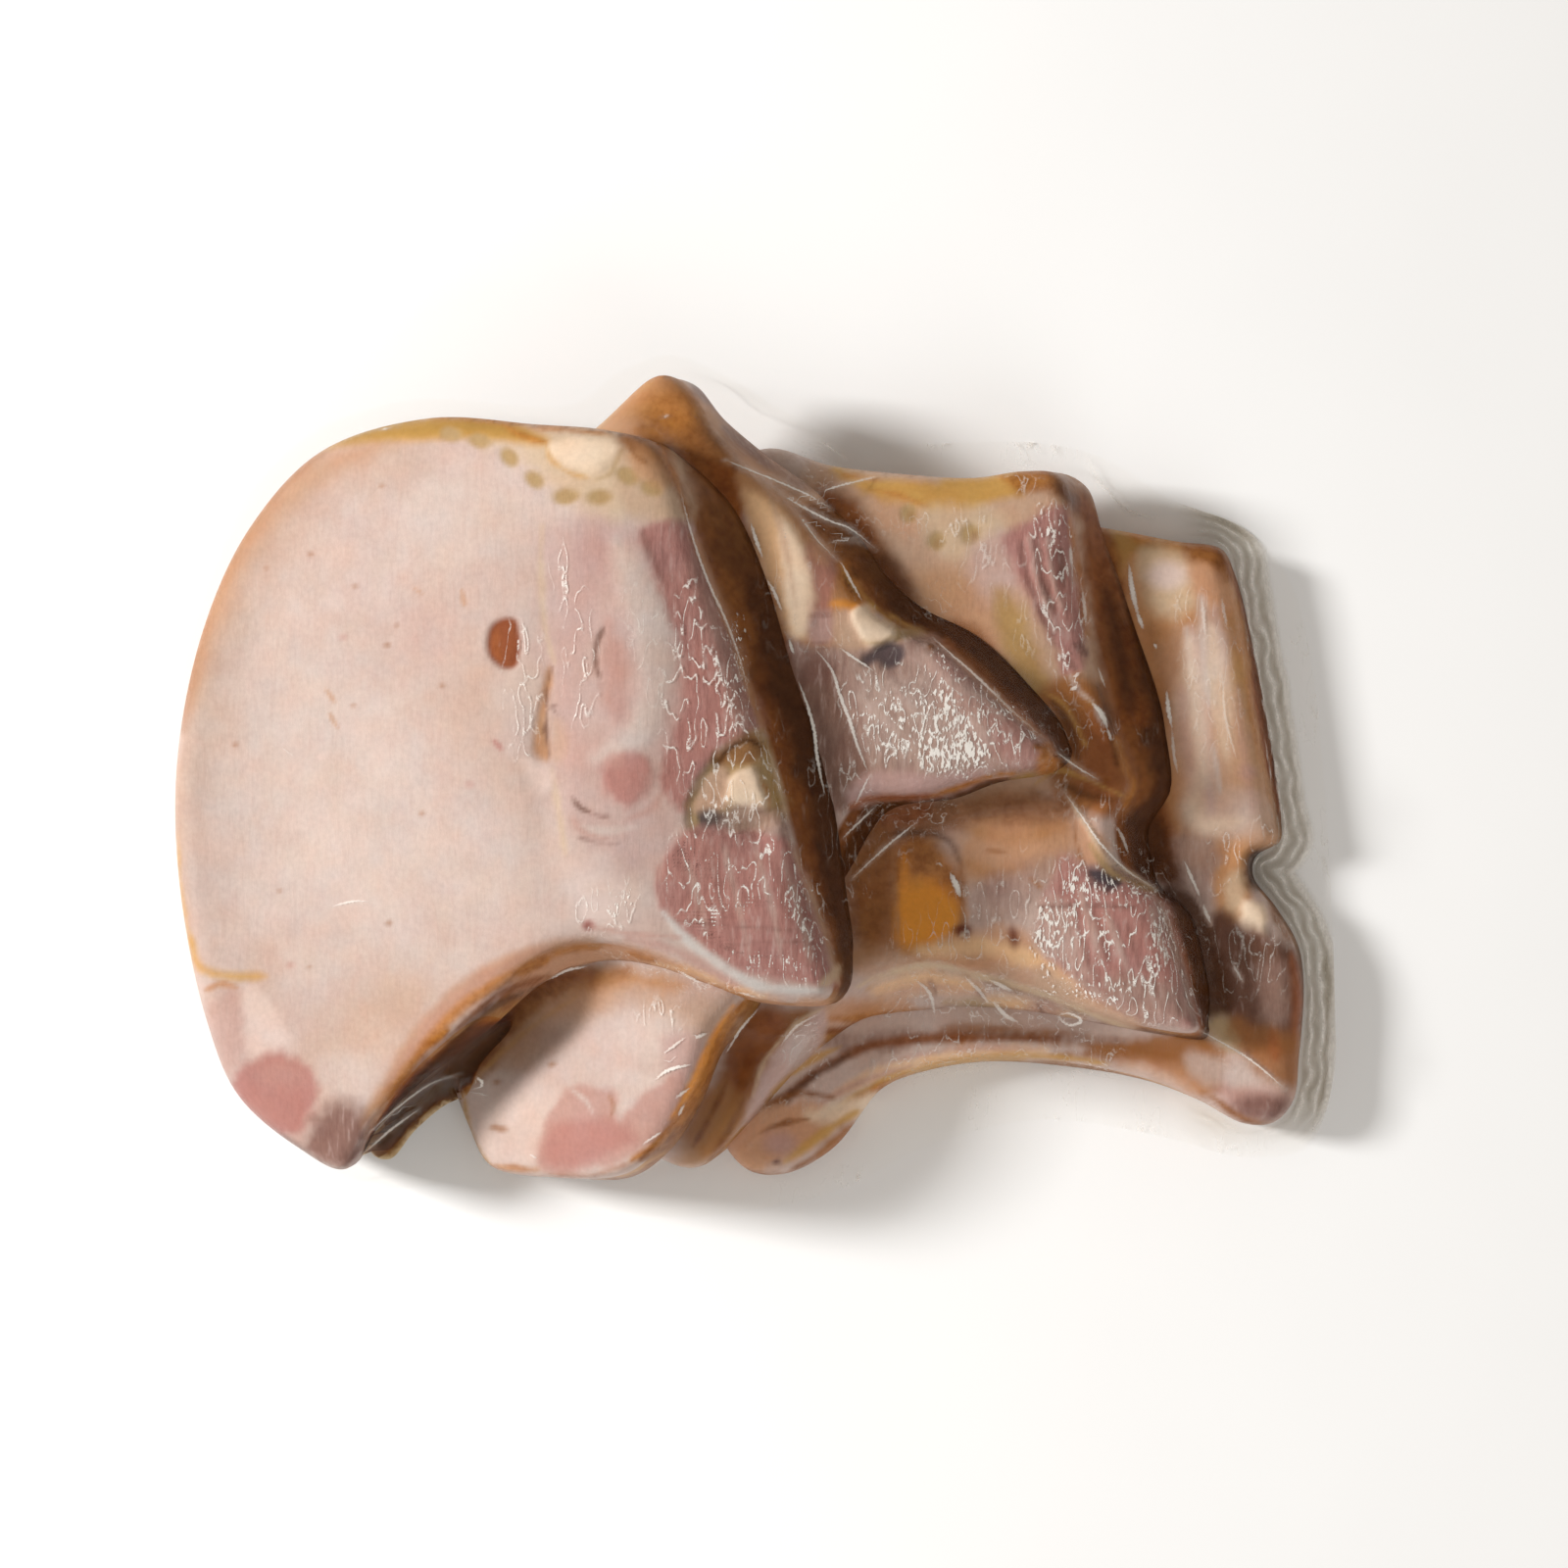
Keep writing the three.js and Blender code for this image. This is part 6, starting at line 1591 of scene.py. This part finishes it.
def mark_painted_loops_and_sparkles(veil):
    """Zones of thin painted highlight loops, where the film is also dimpled, and of dense painted
    sparkles.
    """
    for outline, share in [
        ([(-11.4, 39.6), (-5.7, 35.8), (-1.9, 22.6), (2.2, 10.6), (-3.8, 7.5), (-8.3, 0), (-13.3, 1.9),
            (-15.9, 15.1), (-13.3, 30.2)], 0.85),
        ([(-15.9, -15.1), (-11.4, -9.4), (8.6, -11.3), (16.2, -34), (15, -38.5), (-1.9, -34.7),
            (-13.3, -24.5)], 0.9),
        ([(-36.3, 45.3), (-32.9, 45.3), (-32.1, 37.7), (-29.5, 30.2), (-30.2, 13.2), (-33.3, 11.3),
            (-34.8, 30.2)], 0.75),
        ([(-11.4, -2.3), (-5.7, 4.5), (3.7, 7.5), (7.5, -5.7), (0, -9.4), (-10.2, -8.7)], 0.6),
        ([(-45.3, 30.2), (-40.8, 30.2), (-40.8, 7.5), (-43.4, 3.8), (-45, 11.3)], 0.6),
        ([(-22.7, 37.7), (-17, 37.7), (-16.7, 15.1), (-19.7, 11.3), (-21.6, 22.6)], 0.3),
        ([(18.8, 18.9), (33.9, 22.6), (45.2, 18.9), (56.6, 7.5), (45.2, 2.6), (26.4, 3.8)], 0.9),
        ([(55.8, 52.8), (61.1, 53.6), (63.7, 41.5), (65.2, 28.3), (61.5, 20.8), (56.6, 34)], 0.85),
        ([(56.9, -18.9), (64.1, -15.1), (79.2, -22.6), (86, -45.3), (73.5, -44.2), (58.4, -32.1)], 1.0),
        ([(23.3, -50.2), (37.7, -48.3), (56.6, -47.9), (64.1, -50.2), (52.8, -52.5),
            (26.4, -56.6)], 0.45),
        ([(32, -36.6), (47.1, -37.7), (60.3, -42.3), (56.6, -46), (33.9, -44.5)], 0.4),
        ([(89.8, -9.1), (97.3, -8.7), (98.1, -15.1), (92.4, -18.9), (90.5, -24.5), (89.8, -17)], 0.5),
        ([(-20.4, -42.3), (-12.1, -42.3), (-13.3, -46.8), (-18.9, -47.5)], 0.7),
        ([(9.8, -45.3), (13.5, -45.3), (11.7, -50.9), (7.5, -52.8)], 0.7),
        ([(16.2, -8.7), (22.6, -7.5), (24.5, -15.1), (16.9, -15.1)], 0.25),
        ([(-34.4, -24.5), (-21.6, -18.9), (-20.8, -26.4), (-30.2, -28.3)], 0.55),
        ([(-30.2, -31.3), (0, -38.5), (13.2, -42.3), (-11.4, -38.9)], 0.35),
        ([(85.2, 30.2), (93.5, 30.2), (94.3, 7.5), (88.6, 3.8)], 0.25),
        ([(99.2, -5.7), (102.6, -6.8), (103.3, -13.2), (100.3, -9.4)], 0.7),
    ]:
        veil.patch(WIGGLE, outline, soft=2.6, share=share, ragged=1)
    for centre, radii, share in [
        ((40.7, 8.3), (7.5, 6.4), 0.8),
        ((33.9, 12.1), (11.3, 7.5), 0.45),
        ((43.3, 5.7), (3.8, 2.6), 1.0),
        ((38.1, 14), (2.3, 4.9), 0.8),
        ((47.1, 13.6), (4.9, 2.3), 0.6),
        ((37.3, 20.8), (2.6, 4.2), 0.5),
        ((26.4, 13.6), (4.5, 1.9), 0.5),
        ((58.1, -29.4), (2.5, 5.7), 0.8),
        ((63.7, -21.1), (2.6, 4.9), 0.7),
        ((69, -28.3), (1.9, 6), 0.6),
        ((80, -30.2), (2.3, 6.4), 0.6),
        ((66.4, -39.6), (6.4, 2.3), 0.6),
        ((73.5, -20.8), (4.5, 1.5), 0.6),
        ((9.8, -28.3), (2.3, 8.3), 0.5),
        ((5.6, -33.2), (5.7, 2.3), 0.4),
        ((-1.9, 20.8), (1.9, 9.4), 0.5),
        ((58.8, 49.1), (2.6, 4.2), 0.5),
        ((-23.8, -23.4), (2.3, 2.6), 0.5),
        ((-3.4, -5.3), (2.3, 2.3), 0.5),
    ]:
        veil.oval(SPARKLE, centre, radii, soft=3.8, share=share, ragged=1.2)


def ripple_band(veil, spots):
    """The ripples of the film along the right side, which run beside the lowest chop, with a painted
    highlight along the film's outer edge.
    """
    away, _ = nearest(spots[:, :2], CHOPS[3].rim)
    x, y = spots[:, 0], spots[:, 1]
    right = smoothstep(x, 84, 96) * smoothstep(y, -74, -62)
    beside = right * smoothstep(away, 0.6, 1.8) * (1 - smoothstep(away, 7, 8.5))
    wave = np.sin(2 * math.pi * away / RIPPLE + 1.5 * mottle(x, y, 9, 31))
    veil.lift += beside * RIPPLE_HEIGHT * (1 + wave)
    # Painted highlight: a bright line along the film's outer edge.
    edge = 0.75 * right * np.exp(-(((away - 7.6 + 0.4 * mottle(x, y, 6, 32)) / 0.6) ** 2))
    veil.values[:, HAZE] = np.maximum(veil.values[:, HAZE], edge)
    return np.column_stack([beside, away / BAND_WIDTH, np.zeros(len(x))])


def build_film(sheet):
    bm = bmesh.new()
    trimmed_grid(bm, OUTLINE, FILM_CELL)
    spots = places(bm)
    spots[:, 2] = sheet.at(sheet.film, spots[:, 0], spots[:, 1])
    veil = Veil(spots)
    mark_film(veil)
    ripples = ripple_band(veil, spots)
    inset = -np.minimum(nearest(spots[:, :2], OUTLINE)[0], 0)
    lift = (veil.lift + spots[:, 2] - EDGE) * smoothstep(inset, 0, 3)
    for vert, z in zip(bm.verts, EDGE + lift):
        vert.co.z = z
    edges = [e for e in bm.edges if e.is_boundary]
    for edge in edges:
        edge.smooth = False
    close_underside(bm, edges, np.array((0.0, -2.0)), lambda x, y: np.zeros(len(x)))
    hidden = len(bm.verts) - len(spots)
    film = finished_object("film", bm)
    write_colours(film, "veil", np.vstack([veil.values[:, :3], np.zeros((hidden, 3))]))
    write_colours(film, "glints", np.vstack([veil.values[:, 3:], np.zeros((hidden, 3))]))
    write_colours(film, "ripples", np.vstack([ripples, np.zeros((hidden, 3))]))
    film.data.materials.append(film_finish())


# Puddles of juice that the film holds against the meat: how brown each is, and its outline.
PUDDLES = [
    # The one puddle lies in the gap under the first chop's tail; its brown stands both for juice and for
    # painted shade in that gap.
    (6, [(-74.4, -73.6), (-69.9, -63.4), (-60.4, -52.1), (-49.1, -44.2), (-45.3, -46.4), (-51.7, -54.7),
        (-54.8, -61.1), (-60.4, -64.2), (-66.1, -69.1), (-71, -74.7)]),
]


def build_juice(sheet):
    """Thin bodies of juice between the meat and the film."""
    bm = bmesh.new()
    depth = bm.verts.layers.float.new("depth")
    for brown, outline in PUDDLES:
        puddle = bmesh.new()
        rim = smooth_line(outline, 160)
        trimmed_grid(puddle, rim, JUICE_CELL)
        inner = puddle.verts.layers.float.new("inner")
        rich = puddle.verts.layers.float.new("rich")
        for vert, away in zip(puddle.verts, nearest(places(puddle)[:, :2], rim)[0]):
            vert[inner], vert[rich] = -away, brown
        mesh = bpy.data.meshes.new("puddle")
        puddle.to_mesh(mesh)
        puddle.free()
        bm.from_mesh(mesh)
        bpy.data.meshes.remove(mesh)
    lower = list(bm.verts)
    inner, rich = bm.verts.layers.float["inner"], bm.verts.layers.float["rich"]
    thin = smoothstep(np.array([v[inner] for v in lower]), 0, PUDDLE_FADE)
    made = bmesh.ops.extrude_face_region(bm, geom=list(bm.faces), use_keep_orig=True)["geom"]
    upper = [g for g in made if isinstance(g, bmesh.types.BMVert)]
    for verts, lifted in ((lower, 0.0), (upper, 1.0)):
        x, y = np.array([v.co for v in verts])[:, :2].T
        bottom = np.maximum(sheet.at(sheet.meat, x, y), EDGE) + JUICE_GAP
        deep = np.maximum((sheet.at(sheet.film, x, y) - 2 * JUICE_GAP - bottom) * thin, 0.01)
        for vert, z, thick in zip(verts, bottom + lifted * deep, deep):
            vert.co.z = z
            vert[depth] = thick * vert[rich]
    juice = finished_object("meat_juice", bm)
    juice.data.materials.append(juice_finish())


# ---------------------------------------------------------------- finishes


def new_material(name):
    material = bpy.data.materials.new(name)
    material.use_nodes = True
    material.node_tree.nodes.clear()
    return material, material.node_tree


def add(tree, kind, inputs=(), **settings):
    """A shader node. Each input is a value or another node's output."""
    node = tree.nodes.new("ShaderNode" + kind)
    for key, value in settings.items():
        setattr(node, key, value)
    for key, value in dict(inputs).items():
        if isinstance(value, bpy.types.NodeSocket):
            tree.links.new(value, node.inputs[key])
        else:
            node.inputs[key].default_value = value
    return node


def sum_of(tree, operation, first, second=0.0, third=0.0):
    return add(tree, "Math", {0: first, 1: second, 2: third}, operation=operation).outputs[0]


def mixed(tree, share, first, second, blend="MIX"):
    inputs = {0: share, 6: first, 7: second}
    return add(tree, "Mix", inputs, data_type="RGBA", blend_type=blend).outputs[2]


def ranged(tree, value, low, high, to_low, to_high):
    """A value brought from one range into another, and kept in it."""
    inputs = {0: value, 1: low, 2: high, 3: to_low, 4: to_high}
    return add(tree, "MapRange", inputs).outputs[0]


def noise(tree, place, grain, detail=3.0, stretch=None, turn=0.0, roughness=0.55):
    """Noise with grains of a size in mm, which may be stretched along a turned direction."""
    if stretch:
        inputs = {"Vector": place, "Rotation": (0, 0, math.radians(turn)), "Scale": stretch}
        place = add(tree, "Mapping", inputs, vector_type="POINT").outputs[0]
    inputs = {"Vector": place, "Scale": 1 / (grain * MM), "Detail": detail, "Roughness": roughness}
    return add(tree, "TexNoise", inputs).outputs["Fac"]


def attribute(tree, name):
    return add(tree, "Attribute", attribute_name=name).outputs["Color"]


def three_parts(tree, colour):
    return add(tree, "SeparateColor", {"Color": colour}).outputs


def finish_output(tree, shader):
    add(tree, "OutputMaterial", {"Surface": shader})


def pork_finish():
    """Moist cured meat: fine grain, fibres, sawn bone with streaks, smooth fat and smoked rind."""
    material, tree = new_material("smoked pork")
    place = add(tree, "TexCoord").outputs["Object"]
    bone, fat, smoke = three_parts(tree, attribute(tree, "kind"))[:3]
    grain = noise(tree, place, 1.0, 2)
    blotch = noise(tree, place, 6.0, 2)
    fibre = noise(tree, place, 1.1, 2, stretch=(1.0, 0.22, 1.0), turn=12)
    streak = noise(tree, place, 1.2, 3, stretch=(1.0, 0.24, 1.0), turn=-16)
    wrinkle = noise(tree, place, 2.2, 4, roughness=0.65)

    colour = attribute(tree, "tint")
    colour = mixed(tree, ranged(tree, blotch, 0.35, 0.7, 0, 0.5), colour, (1.0, 0.9, 0.88, 1), "MULTIPLY")
    lean = sum_of(tree, "SUBTRACT", 1.0, sum_of(tree, "MAXIMUM", fat, smoke))
    fibres = sum_of(tree, "MULTIPLY", lean, ranged(tree, fibre, 0.42, 0.68, 0, 0.12))
    colour = mixed(tree, fibres, colour, (0.86, 0.68, 0.64, 1), "MULTIPLY")
    streaks = sum_of(tree, "MULTIPLY", bone, ranged(tree, streak, 0.46, 0.68, 0, 0.34))
    colour = mixed(tree, streaks, colour, (0.5, 0.36, 0.36, 1), "MULTIPLY")
    pale = sum_of(tree, "MULTIPLY", bone, ranged(tree, streak, 0.44, 0.3, 0, 0.32))
    colour = mixed(tree, pale, colour, (0.55, 0.42, 0.38, 1))
    rind = sum_of(tree, "MULTIPLY", smoke, ranged(tree, wrinkle, 0.4, 0.65, 0, 0.6))
    colour = mixed(tree, rind, colour, (0.5, 0.36, 0.26, 1), "MULTIPLY")
    colour = add(tree, "HueSaturation", {"Value": ranged(tree, grain, 0.3, 0.7, 0.955, 1.05),
        "Color": colour})

    relief = sum_of(tree, "MULTIPLY_ADD", fibres, 2.0, sum_of(tree, "MULTIPLY", grain, 0.35))
    relief = sum_of(tree, "MULTIPLY_ADD", streaks, -1.0, relief)
    relief = sum_of(tree, "MULTIPLY_ADD", sum_of(tree, "MULTIPLY", smoke, wrinkle), 1.6, relief)
    bump = add(tree, "Bump", {"Strength": 0.4, "Distance": 0.3 * MM, "Height": relief})
    shader = add(tree, "BsdfPrincipled", {
        "Base Color": colour.outputs[0],
        "Roughness": ranged(tree, wrinkle, 0.3, 0.7, 0.34, 0.52),
        "Specular IOR Level": 0.1,
        "Normal": bump.outputs[0],
    })
    finish_output(tree, shader.outputs[0])
    return material


def film_finish():
    """Clear film: a thin gloss, whitish where it is folded, partly as painted highlight, with painted
    highlights (loops over dimples, sparkles, glints and ripple crests) and painted shade in the ripple
    troughs.
    """
    material, tree = new_material("clear film")
    place = add(tree, "TexCoord").outputs["Object"]
    haze, sparkle, wiggle = three_parts(tree, attribute(tree, "veil"))[:3]
    cloud = noise(tree, place, 2.4, 2)
    dimple = noise(tree, place, 2.3, 1, stretch=(1.0, 0.32, 1.0), turn=-14)
    crumple = noise(tree, place, 0.5, 1)
    streak = noise(tree, place, 0.55, 2, stretch=(1.0, 0.4, 1.0), turn=-14)
    across, half, bright = three_parts(tree, attribute(tree, "glints"))[:3]
    band, far = three_parts(tree, attribute(tree, "ripples"))[:2]
    drift = noise(tree, place, 7.0, 1)
    far = sum_of(tree, "MULTIPLY_ADD", drift, 3.6 / BAND_WIDTH, far)
    wave = sum_of(tree, "SINE", sum_of(tree, "MULTIPLY", far, 2 * math.pi * BAND_WIDTH / RIPPLE))
    wave = sum_of(tree, "MULTIPLY", wave, sum_of(tree, "MULTIPLY", band, ranged(tree, cloud, 0.3, 0.6,
        0.3, 1)))

    folded = sum_of(tree, "MULTIPLY", haze, ranged(tree, cloud, 0.3, 0.65, 0.6, 1.15))
    # Painted highlight: thin bright loops, cut from noise, where the film is dimpled.
    off_line = sum_of(tree, "ABSOLUTE", sum_of(tree, "SUBTRACT", dimple, 0.52))
    off_line = sum_of(tree, "MULTIPLY_ADD", crumple, 0.05, sum_of(tree, "SUBTRACT", off_line, 0.025))
    line = ranged(tree, off_line, 0.01, 0.03, 1, 0)
    line = sum_of(tree, "MULTIPLY", line, ranged(tree, crumple, 0.36, 0.5, 0.1, 0.9))
    line = sum_of(tree, "MULTIPLY", line, sum_of(tree, "MULTIPLY", wiggle, ranged(tree, cloud, 0.36,
        0.48, 0, 1)))
    # Painted highlight: dense sparkles.
    painted_sparkles = ranged(tree, sum_of(tree, "MULTIPLY_ADD", sparkle, 0.22, streak), 0.66, 0.74, 0, 0.85)
    painted_sparkles = sum_of(tree, "MULTIPLY", painted_sparkles, ranged(tree, sparkle, 0.05, 0.3, 0, 1))
    # Painted highlight on the ripple crests.
    ridge = sum_of(tree, "MULTIPLY", ranged(tree, wave, 0.25, 1.0, 0, 0.7), ranged(tree, crumple, 0.3,
        0.6, 0.5, 1))
    # Painted highlight: sharp glints, kept as the distance across them.
    jagged = sum_of(tree, "MULTIPLY_ADD", crumple, 0.5, sum_of(tree, "SUBTRACT", across, 0.25))
    reach = sum_of(tree, "DIVIDE", sum_of(tree, "ABSOLUTE", jagged), sum_of(tree, "MAXIMUM", half, 0.01))
    glint = sum_of(tree, "MULTIPLY", ranged(tree, reach, 0.5, 1.1, 1, 0), bright)
    # How white the film is: its folds, partly painted highlight, and all the painted highlights.
    white = sum_of(tree, "MAXIMUM", sum_of(tree, "MAXIMUM", ridge, folded), sum_of(tree, "MAXIMUM",
        line, painted_sparkles))
    white = sum_of(tree, "MAXIMUM", white, glint)
    white = sum_of(tree, "MINIMUM", white, 0.94)

    relief = sum_of(tree, "MULTIPLY_ADD", wiggle, dimple, sum_of(tree, "MULTIPLY", cloud, 0.4))
    relief = sum_of(tree, "MULTIPLY_ADD", wave, 0.4, relief)
    bump = add(tree, "Bump", {"Strength": 0.4, "Distance": 0.4 * MM, "Height": relief}).outputs[0]
    # Painted shade: the film tinted darker in the ripple troughs.
    shade = mixed(tree, ranged(tree, wave, -0.9, 0.8, 1, 0), (0.97, 0.96, 0.935, 1), (0.68, 0.65,
        0.595, 1))
    tint = mixed(tree, band, (1.0, 0.998, 0.995, 1), shade)
    clear = add(tree, "BsdfTransparent", {"Color": tint})
    gloss = add(tree, "BsdfGlossy", {"Color": (1, 1, 1, 1), "Roughness": 0.12, "Normal": bump})
    # The whitish part of the film, which carries the folds and the painted highlights.
    crease = add(tree, "BsdfPrincipled", {
        "Base Color": mixed(tree, cloud, (0.84, 0.78, 0.7, 1), (1.0, 0.96, 0.9, 1)),
        "Roughness": 0.3,
        "Normal": bump,
    })
    body = add(tree, "MixShader", {0: white, 1: clear.outputs[0], 2: crease.outputs[0]})
    facing = add(tree, "LayerWeight", {"Blend": 0.5, "Normal": bump}).outputs["Facing"]
    sheen = sum_of(tree, "MULTIPLY_ADD", sum_of(tree, "POWER", facing, 4.0), 0.17, 0.005)
    skin = add(tree, "MixShader", {0: sheen, 1: body.outputs[0], 2: gloss.outputs[0]})
    finish_output(tree, skin.outputs[0])
    return material


def juice_finish():
    """Amber juice, browner and less clear where it is deep."""
    material, tree = new_material("meat juice")
    place = add(tree, "TexCoord").outputs["Object"]
    depth = add(tree, "Attribute", attribute_name="depth").outputs["Fac"]
    swirl = noise(tree, place, 5.0, 4)
    deep = ranged(tree, depth, 0.3, 3.0, 0, 1)
    tint = mixed(tree, deep, (0.97, 0.88, 0.72, 1), (0.56, 0.33, 0.16, 1))
    clear = add(tree, "BsdfTransparent", {"Color": tint})
    cloudy = add(tree, "BsdfPrincipled", {
        "Base Color": mixed(tree, ranged(tree, swirl, 0.35, 0.65, 0, 1), (0.22, 0.1, 0.03, 1), (0.12,
            0.045, 0.014, 1)),
        "Roughness": 0.18,
    })
    share = sum_of(tree, "MULTIPLY", deep, ranged(tree, swirl, 0.3, 0.7, 0.16, 0.34))
    shader = add(tree, "MixShader", {0: share, 1: clear.outputs[0], 2: cloudy.outputs[0]})
    finish_output(tree, shader.outputs[0])
    return material


def build_pork():
    finish = pork_finish()
    for chop, marks in zip(CHOPS, (mark_first, mark_second, mark_third, mark_fourth)):
        bm = build_chop(chop)
        meat = Meat(bm, chop)
        marks(meat)
        meat.vary_tones_and_paint_light(PAINTED_LIGHT_SHARES[chop.name])
        for vert, lift in zip(bm.verts, meat.lift):
            vert.co.z = max(vert.co.z + lift, FLOOR_GAP)
        piece = finished_object(chop.name, bm)
        write_colours(piece, "tint", meat.values[:, :3])
        write_colours(piece, "kind", meat.values[:, 3:])
        piece.data.materials.append(finish)


build_pork()
wrap = Sheet()
build_juice(wrap)
build_film(wrap)


# ---------------------------------------------------------------- stage, light and camera


def set_stage():
    bm = bmesh.new()
    bmesh.ops.create_grid(bm, x_segments=1, y_segments=1, size=1.5)
    bmesh.ops.translate(bm, vec=Vector((0, 0, -0.3 * MM)), verts=bm.verts)
    mesh = bpy.data.meshes.new("floor")
    bm.to_mesh(mesh)
    bm.free()
    floor = bpy.data.objects.new("floor", mesh)
    bpy.context.scene.collection.objects.link(floor)
    material, tree = new_material("pale floor")
    place = add(tree, "TexCoord").outputs["Object"]
    cloud = ranged(tree, noise(tree, place, 60, 2), 0.3, 0.7, 0, 1)
    shader = add(tree, "BsdfDiffuse", {"Color": mixed(tree, cloud, (0.985, 0.98, 0.97, 1), (0.97, 0.965,
        0.955, 1))})
    finish_output(tree, shader.outputs[0])
    mesh.materials.append(material)


def area_light(name, place, aim, size, power, colour=(1, 1, 1), mirrored=True):
    data = bpy.data.lights.new(name, "AREA")
    data.size = size
    data.energy = power
    data.color = colour
    lamp = bpy.data.objects.new(name, data)
    lamp.location = place
    lamp.rotation_euler = (Vector(aim) - Vector(place)).to_track_quat("-Z", "Y").to_euler()
    lamp.visible_glossy = mirrored
    bpy.context.scene.collection.objects.link(lamp)


def set_camera():
    data = bpy.data.cameras.new("camera")
    data.sensor_fit = "HORIZONTAL"
    data.angle = 2 * math.atan(PICTURE_WIDTH / 2 / (EYE[2] - LEVEL))
    camera = bpy.data.objects.new("camera", data)
    camera.location = Vector(EYE) * MM
    bpy.context.scene.collection.objects.link(camera)
    bpy.context.scene.camera = camera


set_stage()
area_light("key", (-0.88, 0.2, 0.57), (0, 0, 0), 0.19, 12.9, mirrored=False)
area_light("fill", (0.2, -0.75, 0.6), (0, 0, 0), 0.7, 2.4)
world = bpy.data.worlds.new("studio")
world.use_nodes = True
world.node_tree.nodes["Background"].inputs[0].default_value = (1, 0.95, 0.885, 1)
world.node_tree.nodes["Background"].inputs[1].default_value = 0.37
bpy.context.scene.world = world
bpy.context.scene.view_settings.view_transform = "Standard"
set_camera()
